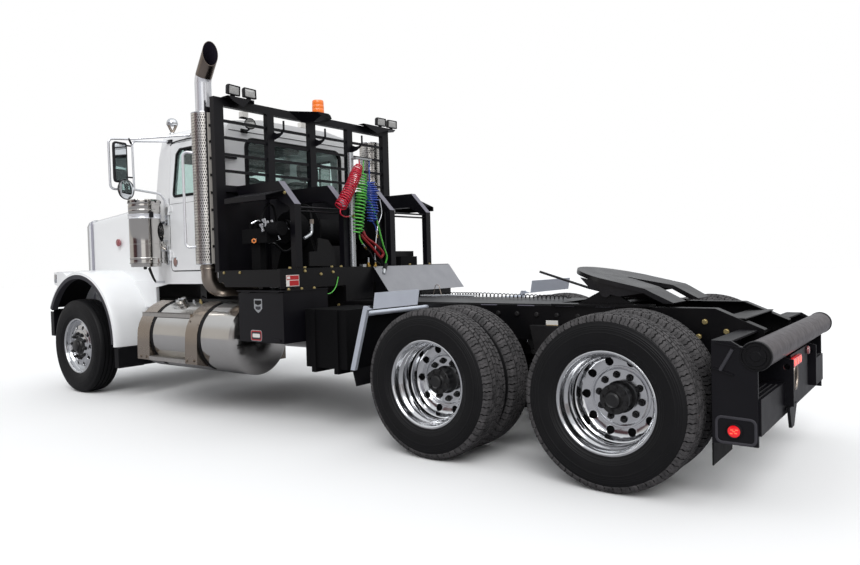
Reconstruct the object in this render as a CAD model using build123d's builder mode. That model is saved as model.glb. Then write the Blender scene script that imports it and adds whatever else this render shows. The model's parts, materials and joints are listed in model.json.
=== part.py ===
"""Winch truck: a conventional 6x4 heavy-haul tractor with a winch deck, fifth wheel and tail roller.

Millimetres. +X forward, +Y to the vehicle's left, +Z up, the ground at z = 0 and the origin under
the middle of the vehicle. Places along the chassis are measured forward from the rearmost axle.
"""

import os
from math import cos, radians, sin

from build123d import *

os.makedirs("parts", exist_ok=True)

# ---- Driving dimensions -------------------------------------------------------------------------

# Chassis layout
wheelbase = 6620.0            # rearmost axle to front axle
tandem_spacing = 1372.0
front_overhang = 725.0        # front axle to the bumper's front face
tail_overhang = 841.0         # rearmost axle to the tail roller's centre
frame_top = 1090.0
frame_depth = 270.0
frame_half_width = 432.0
rail_flange = 89.0
rail_web = 9.0
crossmember = 150.0

# Wheels
tyre_radius = 552.0
tyre_width = 279.0
rim_radius = 311.0            # bead seat
rim_half_width = 105.0
rim_wall = 11.0
rim_flange = 14.0             # the flange's height over the bead seat
front_track = 2030.0
rear_track = 1830.0           # between the middles of the twins
dual_spacing = 336.0
hub_radius = 104.0
drum_radius = 208.0
spindle_radius = 45.0
running_gap = 0.3
hand_hole_radius = 27.0
hand_hole_circle = 232.0
hand_holes = 10

# Front axle and steering
kingpin_half_track = 870.0
kingpin_radius = 20.0
kingpin_fit = 0.05
boss_radius = 46.0
boss_height = 150.0
axle_drop = 90.0
beam_width = 90.0
beam_depth = 90.0
spring_half_length = 560.0
spring_width = 85.0
spring_pack = 78.0

# Rear axles
axle_tube_radius = 66.0
bowl_radius = 225.0
shaft_radius = 52.0

# Powertrain
engine_gap = 80.0              # engine's rear face to the cab's front wall
engine_width = 640.0
engine_height = 1030.0
radiator_width = 940.0
radiator_height = 870.0
radiator_depth = 110.0

# Bumper
bumper_half_width = 1090.0
bumper_bottom = 640.0
bumper_top = 940.0
bumper_depth = 80.0
bumper_wall = 8.0

# Hood
hood_front_gap = 45.0         # bumper front face to the grille's front face
hood_front_half = 600.0
hood_rear_half = 735.0
hood_front_top = 2085.0
hood_rear_top = 2215.0
hood_front_bottom = 985.0
hood_rear_bottom = 1278.0
hood_wall = 22.0
hood_shoulder = 90.0
hood_pivot_height = 965.0
hood_pivot_back = 10.0         # grille's front face back to the hinge pin
hood_ear = 12.0
hood_pin = 8.0
hinge_gap = 0.5
grille_frame = 34.0
fender_drop = 80.0            # the arch's centre behind the front axle
arch_height = 625.0           # the arch's centre above the ground
arch_radius = 770.0
fender_half_width = 1150.0
fender_crown = 48.0
fender_wall = 14.0
lip_depth = 45.0
fender_front_angle = 28.0
fender_rear_angle = 183.0
headlamp_width = 240.0
headlamp_height = 150.0

# Cab
cowl_setback = 1360.0         # front axle back to the cowl's front
cab_length = 1280.0
cab_half_width = 935.0
cowl_half_width = 880.0
cab_floor = 1278.0
cab_belt = 2187.0
cab_roof = 2935.0
roof_crown = 60.0
cab_wall = 40.0
windscreen_rake = 190.0
door_setback = 335.0          # cowl front to the door's front edge
door_length = 680.0
door_bottom = 1414.0
door_top = 2760.0
door_gap = 6.0
window_top = 2689.0
window_margin = 75.0
glass_wall = 6.0

# Rack, deck and guards
rack_gap = 240.0              # cab's rear wall to the rack
rack_half_width = 1228.0
rack_top = 3011.0
rack_rail = 76.0
rack_post = 105.0
rack_depth = 60.0
rack_bar = 25.0
rack_bar_pitch = 155.0
rack_bars = 4
rack_panel_top = 2204.0
deck_length = 865.0           # rack to the deck's rear edge
deck_top = 1410.0
deck_plate = 12.0
ramp_run = 198.0
ramp_left = 50.0
guard_height = 793.0          # over the deck's top
guard_outer = 953.0
guard_inner = 343.0
guard_post = 76.0
guard_tube = 60.0
guard_rail_depth = 150.0
guard_slope_run = 204.0
guard_slope_drop = 219.0

# Winch
winch_height = 350.0          # drum centre over the deck's top
winch_setback = 400.0         # rack to the drum's centre
drum_barrel_radius = 130.0
drum_flange_radius = 275.0
drum_left = 560.0
drum_right = -280.0
drum_flange = 22.0
winch_cheek = 40.0
gearbox_radius = 190.0

# Side equipment
tank_radius = 345.0
tank_centre_height = 750.0
tank_centre_y = 878.0
tank_front = 5200.0
tank_rear = 3560.0
tank_dome = 60.0
step_top = 990.0
step_bottom = 551.0
box_front = 3444.0
box_rear = 2850.0
box_bottom = 775.0
box_top = 1213.0
box_inner = 700.0
box_wall = 6.0
box_door = 25.0
hydraulic_rear = 2330.0

# Cab brightwork and exhaust
cleaner_radius = 162.0
cleaner_y = 1145.0
cleaner_bottom = 1465.0
cleaner_top = 2163.0
stack_y = 1160.0
cleaner_setback = 205.0       # cowl's front to the cleaner's centre
stack_setback = 25.0          # cab's rear wall to the stack's centre
pipe_radius = 76.0
pipe_wall = 5.0
shield_radius = 120.0
shield_bottom = 1473.0
shield_top = 2921.0
stack_mouth = 3429.0          # height of the slanted mouth's middle
mouth_setback = 130.0         # stack's centre to the mouth
mouth_rise = 155.0            # stack's bend to the mouth's middle
mirror_y = 1480.0
mirror_height = 420.0
mirror_width = 165.0

# Fifth wheel
plate_half_width = 457.0
plate_thickness = 32.0
plate_pivot_ahead = 300.0
plate_pivot_height = 1201.0
plate_nose = 400.0            # pivot to the plate's front edge
plate_bend = 280.0            # pivot back to where the ramps turn down
ramp_reach = 210.0
plate_tilt = 13.0             # degrees, tail down
ramp_tilt = 28.0
kingpin_throat = 27.0
throat_flare = 150.0

# Tail
roller_height = 881.0
roller_radius = 80.0
roller_half_width = 1063.0
bearing_rim = 4.0
roller_shaft = 35.0
tail_plate = 20.0
tail_plate_run = 236.0
tail_plate_bottom = 376.0
tail_beam_top = 640.0
tail_beam_depth = 205.0
tail_beam_run = 120.0

# Air and electric lines
post_radius = 28.5
post_y = 290.0
post_top = 2500.0

# ---- Places worked out from the dimensions --------------------------------------------------------

front_end = wheelbase + front_overhang
tail_end = -tail_overhang - roller_radius - bearing_rim
rear_axle_x = -(front_end + tail_end) / 2
mid_axle_x = rear_axle_x + tandem_spacing
front_axle_x = rear_axle_x + wheelbase
bumper_front_x = rear_axle_x + front_end
cowl_x = front_axle_x - cowl_setback
cab_rear_x = cowl_x - cab_length
rack_x = cab_rear_x - rack_gap
deck_rear_x = rack_x - deck_length
roller_x = rear_axle_x - tail_overhang
axle_height = tyre_radius
frame_bottom = frame_top - frame_depth


# ---- Small builders: each adds to, or cuts from, the piece being made ------------------------------

def block(x, y, z, mode=Mode.ADD):
    """A box between two places on each axis, each given as a pair."""
    centre = [(pair[0] + pair[1]) / 2 for pair in (x, y, z)]
    size = [abs(pair[1] - pair[0]) for pair in (x, y, z)]
    with Locations(tuple(centre)):
        Box(*size, mode=mode)


def rod(start, end, radius, mode=Mode.ADD):
    """A round bar from start to end."""
    start, end = Vector(*start), Vector(*end)
    along = end - start
    with Locations(Plane(origin=(start + end) * 0.5, z_dir=along)):
        Cylinder(radius, along.length, mode=mode)


def side_plate(outline, y, mode=Mode.ADD):
    """An outline of (x, z) corners carried across the vehicle between two values of y."""
    with BuildSketch(Plane.XZ.offset(-y[0])) as profile:
        with BuildLine():
            Polyline(*outline, close=True)
        make_face()
    extrude(profile.sketch, amount=y[0] - y[1], mode=mode)


def cross_plate(outline, x, mode=Mode.ADD):
    """An outline of (y, z) corners carried along the vehicle between two values of x."""
    with BuildSketch(Plane.YZ.offset(x[0])) as profile:
        with BuildLine():
            Polyline(*outline, close=True)
        make_face()
    extrude(profile.sketch, amount=x[1] - x[0], mode=mode)


def flat_plate(outline, z, mode=Mode.ADD):
    """An outline of (x, y) corners carried up between two values of z."""
    with BuildSketch(Plane.XY.offset(z[0])) as profile:
        with BuildLine():
            Polyline(*outline, close=True)
        make_face()
    extrude(profile.sketch, amount=z[1] - z[0], mode=mode)


def turned(profile, centre, mode=Mode.ADD):
    """A profile of (radius, y) corners spun about a line across the vehicle through centre (x, z)."""
    with BuildSketch(Plane(origin=(centre[0], 0, centre[1]))) as section_sketch:
        with BuildLine():
            Polyline(*profile, close=True)
        make_face()
    revolve(section_sketch.sketch, axis=Axis((centre[0], 0, centre[1]), (0, 1, 0)), mode=mode)


def bent_tube(points, radius, bend):
    """A tube along straight runs joined by tangent arcs of one bend radius."""
    with BuildLine() as path:
        FilletPolyline(*points, radius=bend)
    with BuildSketch(Plane(origin=path.line @ 0, z_dir=path.line % 0)) as ring:
        Circle(radius)
    sweep(ring.sketch, path=path.line)


def finish(builder, name):
    """Labels a piece and writes its file."""
    builder.part.label = name
    export_step(builder.part, f"parts/{name}.step")


# ---- Frame ----------------------------------------------------------------------------------------

rail_front_x = bumper_front_x - bumper_depth
horn_drop = 130.0
rail_tail_x = roller_x + roller_radius + 12.0
tail_slope_x = rear_axle_x - 452.0
tail_slope_drop = 128.0
rail_outline = [
    (rail_tail_x, frame_bottom), (rail_front_x, frame_bottom),
    (rail_front_x, frame_top - horn_drop), (rail_front_x - 260.0, frame_top),
    (tail_slope_x, frame_top), (rail_tail_x, frame_top - tail_slope_drop),
]
rail_pocket = [
    (rail_tail_x - 5.0, frame_bottom + rail_web), (rail_front_x + 5.0, frame_bottom + rail_web),
    (rail_front_x + 5.0, frame_top - horn_drop - rail_web), (rail_front_x - 265.0, frame_top - rail_web),
    (tail_slope_x + 5.0, frame_top - rail_web),
    (rail_tail_x - 5.0, frame_top - tail_slope_drop - rail_web),
]
web_inner = frame_half_width - rail_web
cross_stations = [
    rear_axle_x - 560.0, (rear_axle_x + mid_axle_x) / 2, mid_axle_x + 640.0,
    (deck_rear_x + rack_x) / 2, cab_rear_x,
]
cab_mounts = (cab_rear_x + 150.0, cowl_x - 160.0)
with BuildPart() as frame_rails:
    side_plate(rail_outline, (frame_half_width - rail_flange, frame_half_width))
    side_plate(rail_pocket, (frame_half_width - rail_flange - 1.0, web_inner), Mode.SUBTRACT)
    mirror(about=Plane.XZ)
    for station in cross_stations:
        block((station - crossmember / 2, station + crossmember / 2), (-web_inner, web_inner),
              (frame_bottom + 60.0, frame_bottom + 60.0 + crossmember))
        block((station - crossmember / 2, station + crossmember / 2 - rail_web), (-web_inner, web_inner),
              (frame_bottom + 60.0 + rail_web, frame_bottom + 60.0 + crossmember - rail_web),
              Mode.SUBTRACT)
    block((rail_front_x - 140.0, rail_front_x - 40.0), (-web_inner, web_inner),
          (frame_bottom + 20.0, frame_bottom + 90.0))
    for station in cab_mounts:
        for side in (1, -1):
            block((station - 60.0, station + 60.0),
                  (side * (frame_half_width - rail_flange), side * frame_half_width),
                  (frame_top - rail_web, cab_floor - running_gap))
finish(frame_rails, "frame_rails")

# ---- Front axle -----------------------------------------------------------------------------------

beam_top = axle_height - axle_drop + beam_depth / 2
beam_bottom = beam_top - beam_depth
boss_low = axle_height - boss_height / 2
boss_high = axle_height + boss_height / 2
spring_y = frame_half_width - rail_flange / 2
spring_seat = beam_top
spring_eye = frame_bottom - 22.0
with BuildPart() as front_axle:
    cross_plate(
        [(0, beam_bottom), (560.0, beam_bottom), (kingpin_half_track, boss_low + 25.0),
         (kingpin_half_track, boss_high - 25.0), (600.0, beam_top), (0, beam_top)],
        (front_axle_x - beam_width / 2, front_axle_x + beam_width / 2),
    )
    with Locations((front_axle_x, kingpin_half_track, axle_height)):
        Cylinder(boss_radius, boss_height)
    rod((front_axle_x, kingpin_half_track, boss_low - 1.0),
        (front_axle_x, kingpin_half_track, boss_high + 1.0),
        kingpin_radius + kingpin_fit, Mode.SUBTRACT)
    with BuildSketch(Plane.XZ.offset(-(spring_y - spring_width / 2))):
        with BuildLine():
            ThreePointArc(
                (front_axle_x - spring_half_length, spring_eye), (front_axle_x, spring_seat),
                (front_axle_x + spring_half_length, spring_eye))
            Line((front_axle_x + spring_half_length, spring_eye),
                 (front_axle_x + spring_half_length, spring_eye + 14.0))
            ThreePointArc(
                (front_axle_x + spring_half_length, spring_eye + 14.0),
                (front_axle_x, spring_seat + spring_pack),
                (front_axle_x - spring_half_length, spring_eye + 14.0))
            Line((front_axle_x - spring_half_length, spring_eye + 14.0),
                 (front_axle_x - spring_half_length, spring_eye))
        make_face()
    extrude(amount=-spring_width)
    for end in (-1, 1):
        block((front_axle_x + end * spring_half_length - 45.0,
               front_axle_x + end * spring_half_length + 45.0),
              (spring_y - spring_width / 2, spring_y + spring_width / 2),
              (spring_eye - 10.0, frame_bottom))
    mirror(about=Plane.XZ)
finish(front_axle, "front_axle")

# ---- Steering knuckles ----------------------------------------------------------------------------

lug_gap = 0.4
lug_thick = 36.0
front_wheel_y = front_track / 2
front_disc_y = front_wheel_y + rim_half_width - 22.0
front_hub_in = front_wheel_y - 40.0
knuckle_web_y = kingpin_half_track + boss_radius + 6.0
for side, hand in ((1, "left"), (-1, "right")):
    with BuildPart() as knuckle:
        for low, high in ((boss_low - lug_gap - lug_thick, boss_low - lug_gap),
                          (boss_high + lug_gap, boss_high + lug_gap + lug_thick)):
            with Locations((front_axle_x, side * kingpin_half_track, (low + high) / 2)):
                Cylinder(boss_radius, high - low)
            block((front_axle_x - boss_radius, front_axle_x + boss_radius),
                  (side * kingpin_half_track, side * (knuckle_web_y + 14.0)), (low, high))
        block((front_axle_x - boss_radius, front_axle_x + boss_radius),
              (side * knuckle_web_y, side * (knuckle_web_y + 14.0)),
              (boss_low - lug_gap - lug_thick, boss_high + lug_gap + lug_thick))
        rod((front_axle_x, side * kingpin_half_track, boss_low - 10.0),
            (front_axle_x, side * kingpin_half_track, boss_high + 10.0), kingpin_radius)
        rod((front_axle_x, side * (knuckle_web_y + 10.0), axle_height),
            (front_axle_x, side * (front_disc_y - 20.0), axle_height), spindle_radius)
        block((front_axle_x - 190.0, front_axle_x),
              (side * (kingpin_half_track - 25.0), side * (kingpin_half_track + 15.0)),
              (boss_low - lug_gap - lug_thick, boss_low - lug_gap - 4.0))
    finish(knuckle, f"knuckle_{hand}")

# ---- Wheels ---------------------------------------------------------------------------------------

bead = rim_radius + running_gap
bead_top = rim_radius + rim_flange + 1.0
shoulder_radius = tyre_radius - 16.0
section = tyre_width / 2


def tyre_profile(middle):
    """Half-section of a tyre as (radius, y) corners, closed along its bead."""
    return [
        (bead, middle - rim_half_width + 2.0), (bead_top, middle - rim_half_width + 2.0),
        (bead_top + 3.0, middle - rim_half_width - 14.0),
        (bead + 95.0, middle - section), (shoulder_radius - 60.0, middle - section + 8.0),
        (shoulder_radius, middle - section + 26.0), (tyre_radius, middle - section + 52.0),
        (tyre_radius, middle + section - 52.0), (shoulder_radius, middle + section - 26.0),
        (shoulder_radius - 60.0, middle + section - 8.0), (bead + 95.0, middle + section),
        (bead_top + 3.0, middle + rim_half_width + 14.0), (bead_top, middle + rim_half_width - 2.0),
        (bead, middle + rim_half_width - 2.0),
    ]


def rim_profile(middle, disc, out):
    """Half-section of a disc wheel as (radius, y) corners; out is the side the valve is on."""
    edge = rim_half_width * out
    flange = rim_radius + rim_flange
    well = rim_radius - 26.0
    inner = well - rim_wall
    return [
        (flange, middle - edge - 10.0 * out), (flange, middle - edge), (rim_radius, middle - edge),
        (rim_radius, middle - edge * 0.45), (well, middle - edge * 0.2), (well, middle + edge * 0.25),
        (rim_radius, middle + edge * 0.5), (rim_radius, middle + edge), (flange, middle + edge),
        (flange, middle + edge + 10.0 * out), (rim_radius - rim_wall, middle + edge + 10.0 * out),
        (rim_radius - rim_wall, middle + edge * 0.55), (inner, middle + edge * 0.3),
        (inner, middle - edge * 0.25), (rim_radius - rim_wall, middle - edge * 0.5),
        (rim_radius - rim_wall, middle - edge - 10.0 * out),
    ]


def wheel_holes(x, y, length):
    """The ring of hand holes through a wheel's disc."""
    for index in range(hand_holes):
        angle = radians(360.0 * index / hand_holes)
        hole_x = x + hand_hole_circle * cos(angle)
        hole_z = axle_height + hand_hole_circle * sin(angle)
        rod((hole_x, y - length / 2, hole_z), (hole_x, y + length / 2, hole_z), hand_hole_radius,
            Mode.SUBTRACT)


disc_wall = 14.0
disc_edge = rim_radius - rim_wall - 26.0
for side, hand in ((1, "left"), (-1, "right")):
    with BuildPart() as front_tyre:
        turned(tyre_profile(side * front_wheel_y), (front_axle_x, axle_height))
    finish(front_tyre, f"front_tyre_{hand}")

    with BuildPart() as front_rim:
        centre = (front_axle_x, axle_height)
        turned(rim_profile(side * front_wheel_y, 0, side), centre)
        disc_out = side * front_disc_y
        disc_in = side * (front_disc_y - disc_wall)
        turned([(0, disc_in), (disc_edge - 40.0, disc_in),
                (rim_radius - rim_wall + 2.0, side * (front_wheel_y + rim_half_width * 0.60)),
                (rim_radius - rim_wall + 2.0, side * (front_wheel_y + rim_half_width * 0.80)),
                (disc_edge - 30.0, disc_out), (0, disc_out)], centre)
        wheel_holes(front_axle_x, side * (front_disc_y - disc_wall / 2), 90.0)
        turned([(0, disc_out - side), (hub_radius, disc_out - side),
                (hub_radius, side * (front_disc_y + 30.0)),
                (hub_radius * 0.7, side * (front_disc_y + 62.0)), (0, side * (front_disc_y + 62.0))],
                centre)
        turned([(spindle_radius + running_gap, side * (front_hub_in - 14.0)),
                (drum_radius * 0.55, side * (front_hub_in - 14.0)),
                (drum_radius * 0.55, side * front_disc_y),
                (spindle_radius + running_gap, side * front_disc_y)], centre)
        turned([(drum_radius - 14.0, side * (front_wheel_y - 65.0)),
                (drum_radius, side * (front_wheel_y - 65.0)),
                (drum_radius, side * (front_disc_y - 6.0)), (60.0, side * (front_disc_y - 6.0)),
                (60.0, side * (front_disc_y - 24.0)),
                (drum_radius - 14.0, side * (front_disc_y - 24.0))], centre)
    finish(front_rim, f"front_rim_{hand}")

rear_mid_y = rear_track / 2
outer_y = rear_mid_y + dual_spacing / 2
inner_y = rear_mid_y - dual_spacing / 2
hub_out = rear_mid_y + 165.0
drum_in = inner_y - 105.0
spindle_end = hub_out - 30.0
for axle_x, row in ((mid_axle_x, "mid"), (rear_axle_x, "rear")):
    for side, hand in ((1, "left"), (-1, "right")):
        centre = (axle_x, axle_height)
        with BuildPart() as twin_tyres:
            for middle in (outer_y, inner_y):
                turned(tyre_profile(side * middle), centre)
        finish(twin_tyres, f"{row}_tyres_{hand}")

        with BuildPart() as twin_rims:
            turned(rim_profile(side * outer_y, 0, side), centre)
            turned(rim_profile(side * inner_y, 0, -side), centre)
            for out in (1, -1):
                lip = side * (rear_mid_y + out * (dual_spacing / 2 - rim_half_width * 0.75))
                lip_far = side * (rear_mid_y + out * (dual_spacing / 2 - rim_half_width * 0.55))
                face = side * rear_mid_y
                back = side * (rear_mid_y + out * disc_wall)
                turned([(60.0, face), (disc_edge - 42.0, face), (rim_radius - rim_wall + 2.0, lip),
                        (rim_radius - rim_wall + 2.0, lip_far), (disc_edge - 58.0, back), (60.0, back)],
                        centre)
            wheel_holes(axle_x, side * rear_mid_y, 110.0)
            turned([(spindle_radius + running_gap, side * (drum_in + 60.0)),
                    (hub_radius, side * (drum_in + 60.0)),
                    (hub_radius, side * (hub_out - 40.0)), (hub_radius * 0.8, side * (hub_out - 8.0)),
                    (spindle_radius * 0.7, side * hub_out), (0, side * hub_out),
                    (0, side * (spindle_end + 4.0)),
                    (spindle_radius + running_gap, side * (spindle_end + 4.0))], centre)
            turned([(drum_radius - 16.0, side * drum_in), (drum_radius, side * drum_in),
                    (drum_radius, side * (rear_mid_y - disc_wall - 2.0)),
                    (hub_radius - 5.0, side * (rear_mid_y - disc_wall - 2.0)),
                    (hub_radius - 5.0, side * (rear_mid_y - disc_wall - 20.0)),
                    (drum_radius - 16.0, side * (rear_mid_y - disc_wall - 20.0))], centre)
            turned([(hub_radius - 4.0, side * (rear_mid_y - disc_wall - 4.0)),
                    (hub_radius + 70.0, side * (rear_mid_y - disc_wall - 4.0)),
                    (hub_radius + 70.0, side * (rear_mid_y + 1.0)),
                    (hub_radius - 4.0, side * (rear_mid_y + 1.0))], centre)
        finish(twin_rims, f"{row}_rims_{hand}")

# ---- Rear axles and drive shafts -------------------------------------------------------------------

shaft_height = axle_height + 40.0
transmission_x = cab_rear_x + 260.0
yoke_height = frame_bottom - 10.0
with BuildPart() as rear_axles:
    for axle_x in (rear_axle_x, mid_axle_x):
        rod((axle_x, drum_in + 12.0, axle_height), (axle_x, -drum_in - 12.0, axle_height),
            axle_tube_radius)
        rod((axle_x, spindle_end, axle_height), (axle_x, -spindle_end, axle_height), spindle_radius)
        rod((axle_x - 100.0, 0, axle_height), (axle_x + 100.0, 0, axle_height), bowl_radius)
        with Locations(Plane(origin=(axle_x + 190.0, 0, shaft_height), z_dir=(1, 0, 0))):
            Cone(150.0, 80.0, 240.0)
    rod((rear_axle_x + 100.0, 0, shaft_height), (mid_axle_x, 0, shaft_height), shaft_radius)
    rod((mid_axle_x + 100.0, 0, shaft_height), (transmission_x - 30.0, 0, yoke_height), shaft_radius)
    rod((transmission_x - 45.0, 0, yoke_height), (transmission_x - running_gap, 0, yoke_height),
        shaft_radius + 10.0)
finish(rear_axles, "rear_axles")

beam_y = 470.0
beam_half = 55.0
trunnion_x = (rear_axle_x + mid_axle_x) / 2
with BuildPart() as rear_suspension:
    side_plate(
        [(rear_axle_x - 95.0, axle_height - 190.0), (trunnion_x - 130.0, axle_height - 250.0),
         (trunnion_x + 130.0, axle_height - 250.0), (mid_axle_x + 95.0, axle_height - 190.0),
         (mid_axle_x + 95.0, axle_height - axle_tube_radius - running_gap),
         (trunnion_x + 130.0, axle_height - 80.0),
         (trunnion_x - 130.0, axle_height - 80.0),
         (rear_axle_x - 95.0, axle_height - axle_tube_radius - running_gap)],
        (beam_y - beam_half, beam_y + beam_half),
    )
    side_plate(
        [(trunnion_x - 110.0, axle_height - 90.0), (trunnion_x + 110.0, axle_height - 90.0),
         (trunnion_x + 210.0, frame_bottom + 120.0), (trunnion_x - 210.0, frame_bottom + 120.0)],
        (frame_half_width, frame_half_width + 60.0),
    )
    mirror(about=Plane.XZ)
    rod((trunnion_x, beam_y, axle_height - 160.0), (trunnion_x, -beam_y, axle_height - 160.0), 45.0)
finish(rear_suspension, "rear_suspension")

# ---- Engine ---------------------------------------------------------------------------------------

radiator_x = bumper_front_x - 300.0
engine_front = radiator_x - radiator_depth - 110.0
engine_rear = cowl_x + engine_gap
engine_low = frame_bottom - 80.0
with BuildPart() as engine:
    block((engine_rear, engine_front), (-engine_width / 2, engine_width / 2),
          (engine_low, engine_low + engine_height))
    block((transmission_x, engine_rear), (-230.0, 230.0), (engine_low, engine_low + 460.0))
    for station in (engine_rear + 160.0, engine_front - 220.0):
        block((station - 50.0, station + 50.0), (-web_inner + running_gap, web_inner - running_gap),
              (frame_bottom + 90.0, frame_bottom + 150.0))
    block((engine_front, radiator_x - radiator_depth), (-60.0, 60.0),
          (engine_low + 260.0, engine_low + 420.0))
    block((radiator_x - radiator_depth, radiator_x), (-radiator_width / 2, radiator_width / 2),
          (frame_top + 4.0, frame_top + radiator_height))
    block((radiator_x - radiator_depth, radiator_x), (-web_inner + 100.0, web_inner - 100.0),
          (frame_bottom + 120.0, frame_top + 5.0))
    block((radiator_x - radiator_depth, radiator_x), (-web_inner + running_gap, web_inner - running_gap),
          (frame_bottom + 120.0, frame_bottom + 190.0))
finish(engine, "engine")

# ---- Bumper ---------------------------------------------------------------------------------------

grille_x = bumper_front_x - hood_front_gap
hood_pivot_x = grille_x - hood_pivot_back
hood_lug = (frame_half_width - 62.0, frame_half_width - 38.0)
hood_ears = ((hood_lug[0] - hinge_gap - 12.0, hood_lug[0] - hinge_gap),
             (hood_lug[1] + hinge_gap, hood_lug[1] + hinge_gap + 12.0))
with BuildPart() as front_bumper:
    flat_half = bumper_half_width - 240.0
    outline = [
        (bumper_front_x, 0), (bumper_front_x, flat_half), (bumper_front_x - 25.0, bumper_half_width),
        (bumper_front_x - bumper_depth, bumper_half_width), (bumper_front_x - bumper_depth, 0),
    ]
    flat_plate(outline, (bumper_bottom, bumper_top))
    inner = [
        (bumper_front_x - bumper_wall, -1.0), (bumper_front_x - bumper_wall, flat_half - 4.0),
        (bumper_front_x - 25.0 - bumper_wall, bumper_half_width - bumper_wall),
        (bumper_front_x - bumper_depth - 1.0, bumper_half_width - bumper_wall),
        (bumper_front_x - bumper_depth - 1.0, -1.0),
    ]
    flat_plate(inner, (bumper_bottom + bumper_wall, bumper_top - bumper_wall), Mode.SUBTRACT)
    block((bumper_front_x - bumper_depth, bumper_front_x - bumper_wall / 2),
          (frame_half_width - rail_flange, frame_half_width), (bumper_bottom + 60.0, bumper_top))
    for ear in hood_ears:
        block((hood_pivot_x - hood_ear, hood_pivot_x + hood_ear), ear,
              (bumper_top - bumper_wall, hood_pivot_height))
        rod((hood_pivot_x, ear[0], hood_pivot_height), (hood_pivot_x, ear[1], hood_pivot_height),
            hood_ear)
    rod((hood_pivot_x, hood_ears[0][0], hood_pivot_height),
        (hood_pivot_x, hood_ears[1][1], hood_pivot_height), hood_pin)
    mirror(about=Plane.XZ)
finish(front_bumper, "front_bumper")

# ---- Hood -----------------------------------------------------------------------------------------

hood_front_x = grille_x - grille_frame
hood_rear_x = cowl_x + door_gap
arch_x = front_axle_x - fender_drop


def hood_section(half, bottom, top, inset):
    """Corners of the hood's cross-section, from its lower left edge round to its lower right."""
    side, crown = half - inset, top - inset
    return [
        (side, bottom), (side, crown - hood_shoulder), (side - 26.0, crown - 34.0),
        (side - hood_shoulder, crown), (side * 0.4, crown + 22.0), (-side * 0.4, crown + 22.0),
        (-side + hood_shoulder, crown), (-side + 26.0, crown - 34.0),
        (-side, crown - hood_shoulder), (-side, bottom),
    ]


def hood_loft(inset, drop, mode=Mode.ADD):
    """The hood's skin between its grille end and its cowl end, moved in by inset."""
    with BuildSketch(Plane.YZ.offset(hood_rear_x)) as rear:
        with BuildLine():
            Polyline(*hood_section(hood_rear_half, hood_rear_bottom - drop, hood_rear_top, inset),
                     close=True)
        make_face()
    with BuildSketch(Plane.YZ.offset(hood_front_x)) as front:
        with BuildLine():
            Polyline(*hood_section(hood_front_half, hood_front_bottom - drop, hood_front_top, inset),
                     close=True)
        make_face()
    loft([rear.sketch, front.sketch], ruled=True, mode=mode)


def arc_sweep(profile, start, end):
    """A profile of (radius, y) corners carried round the wheel arch between two angles."""
    angle = radians(start)
    plane = Plane(origin=(arch_x, 0, arch_height), x_dir=(cos(angle), 0, sin(angle)),
                  z_dir=(-sin(angle), 0, cos(angle)))
    with BuildSketch(plane) as band:
        with BuildLine():
            Polyline(*profile, close=True)
        make_face()
    revolve(band.sketch, axis=Axis((arch_x, 0, arch_height), (0, -1, 0)), revolution_arc=end - start)


fender_outer = arch_radius + fender_crown
fender_inner = fender_outer - fender_wall
fender_inboard = hood_front_half - hood_wall / 2
fender_profile = [
    (arch_radius, fender_half_width), (arch_radius + 28.0, fender_half_width - 6.0),
    (fender_outer - 6.0, fender_half_width - 32.0), (fender_outer, fender_half_width - 90.0),
    (fender_outer, fender_inboard), (fender_inner, fender_inboard),
    (fender_inner, fender_half_width - 88.0), (fender_inner - 6.0, fender_half_width - 42.0),
    (arch_radius + 22.0, fender_half_width - fender_wall - 6.0),
    (arch_radius, fender_half_width - fender_wall),
]
lamp_front_x = bumper_front_x - 130.0
lamp_top = arch_height + fender_outer - 15.0
lamp_outline = [
    (lamp_front_x, lamp_top), (lamp_front_x, lamp_top - headlamp_height),
    (lamp_front_x - 150.0, lamp_top - headlamp_height - 30.0), (lamp_front_x - 300.0, lamp_top - 110.0),
    (lamp_front_x - 360.0, lamp_top - 70.0), (lamp_front_x - 220.0, lamp_top),
]
lamp_y = (fender_half_width - 60.0 - headlamp_width, fender_half_width - 60.0)
skirt_x = cowl_x + 335.0
skirt_bottom = arch_height + 375.0
skirt_seat = fender_outer - fender_wall / 2
with BuildPart() as hood:
    hood_loft(0.0, 0.0)
    hood_loft(hood_wall, 10.0, Mode.SUBTRACT)
    arc_sweep(fender_profile, fender_front_angle, fender_rear_angle)
    side_plate(lamp_outline, lamp_y)
    skirt = [(skirt_x, skirt_bottom), (skirt_x, hood_rear_bottom + 20.0)]
    for height in (hood_rear_bottom + 20.0, hood_rear_bottom - 70.0, hood_rear_bottom - 160.0,
                   skirt_bottom):
        skirt.append((arch_x - (skirt_seat ** 2 - (height - arch_height) ** 2) ** 0.5, height))
    side_plate(skirt, (hood_rear_half - 59.0, hood_rear_half - 23.0))
    mirror(about=Plane.XZ)
finish(hood, "hood")

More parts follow.
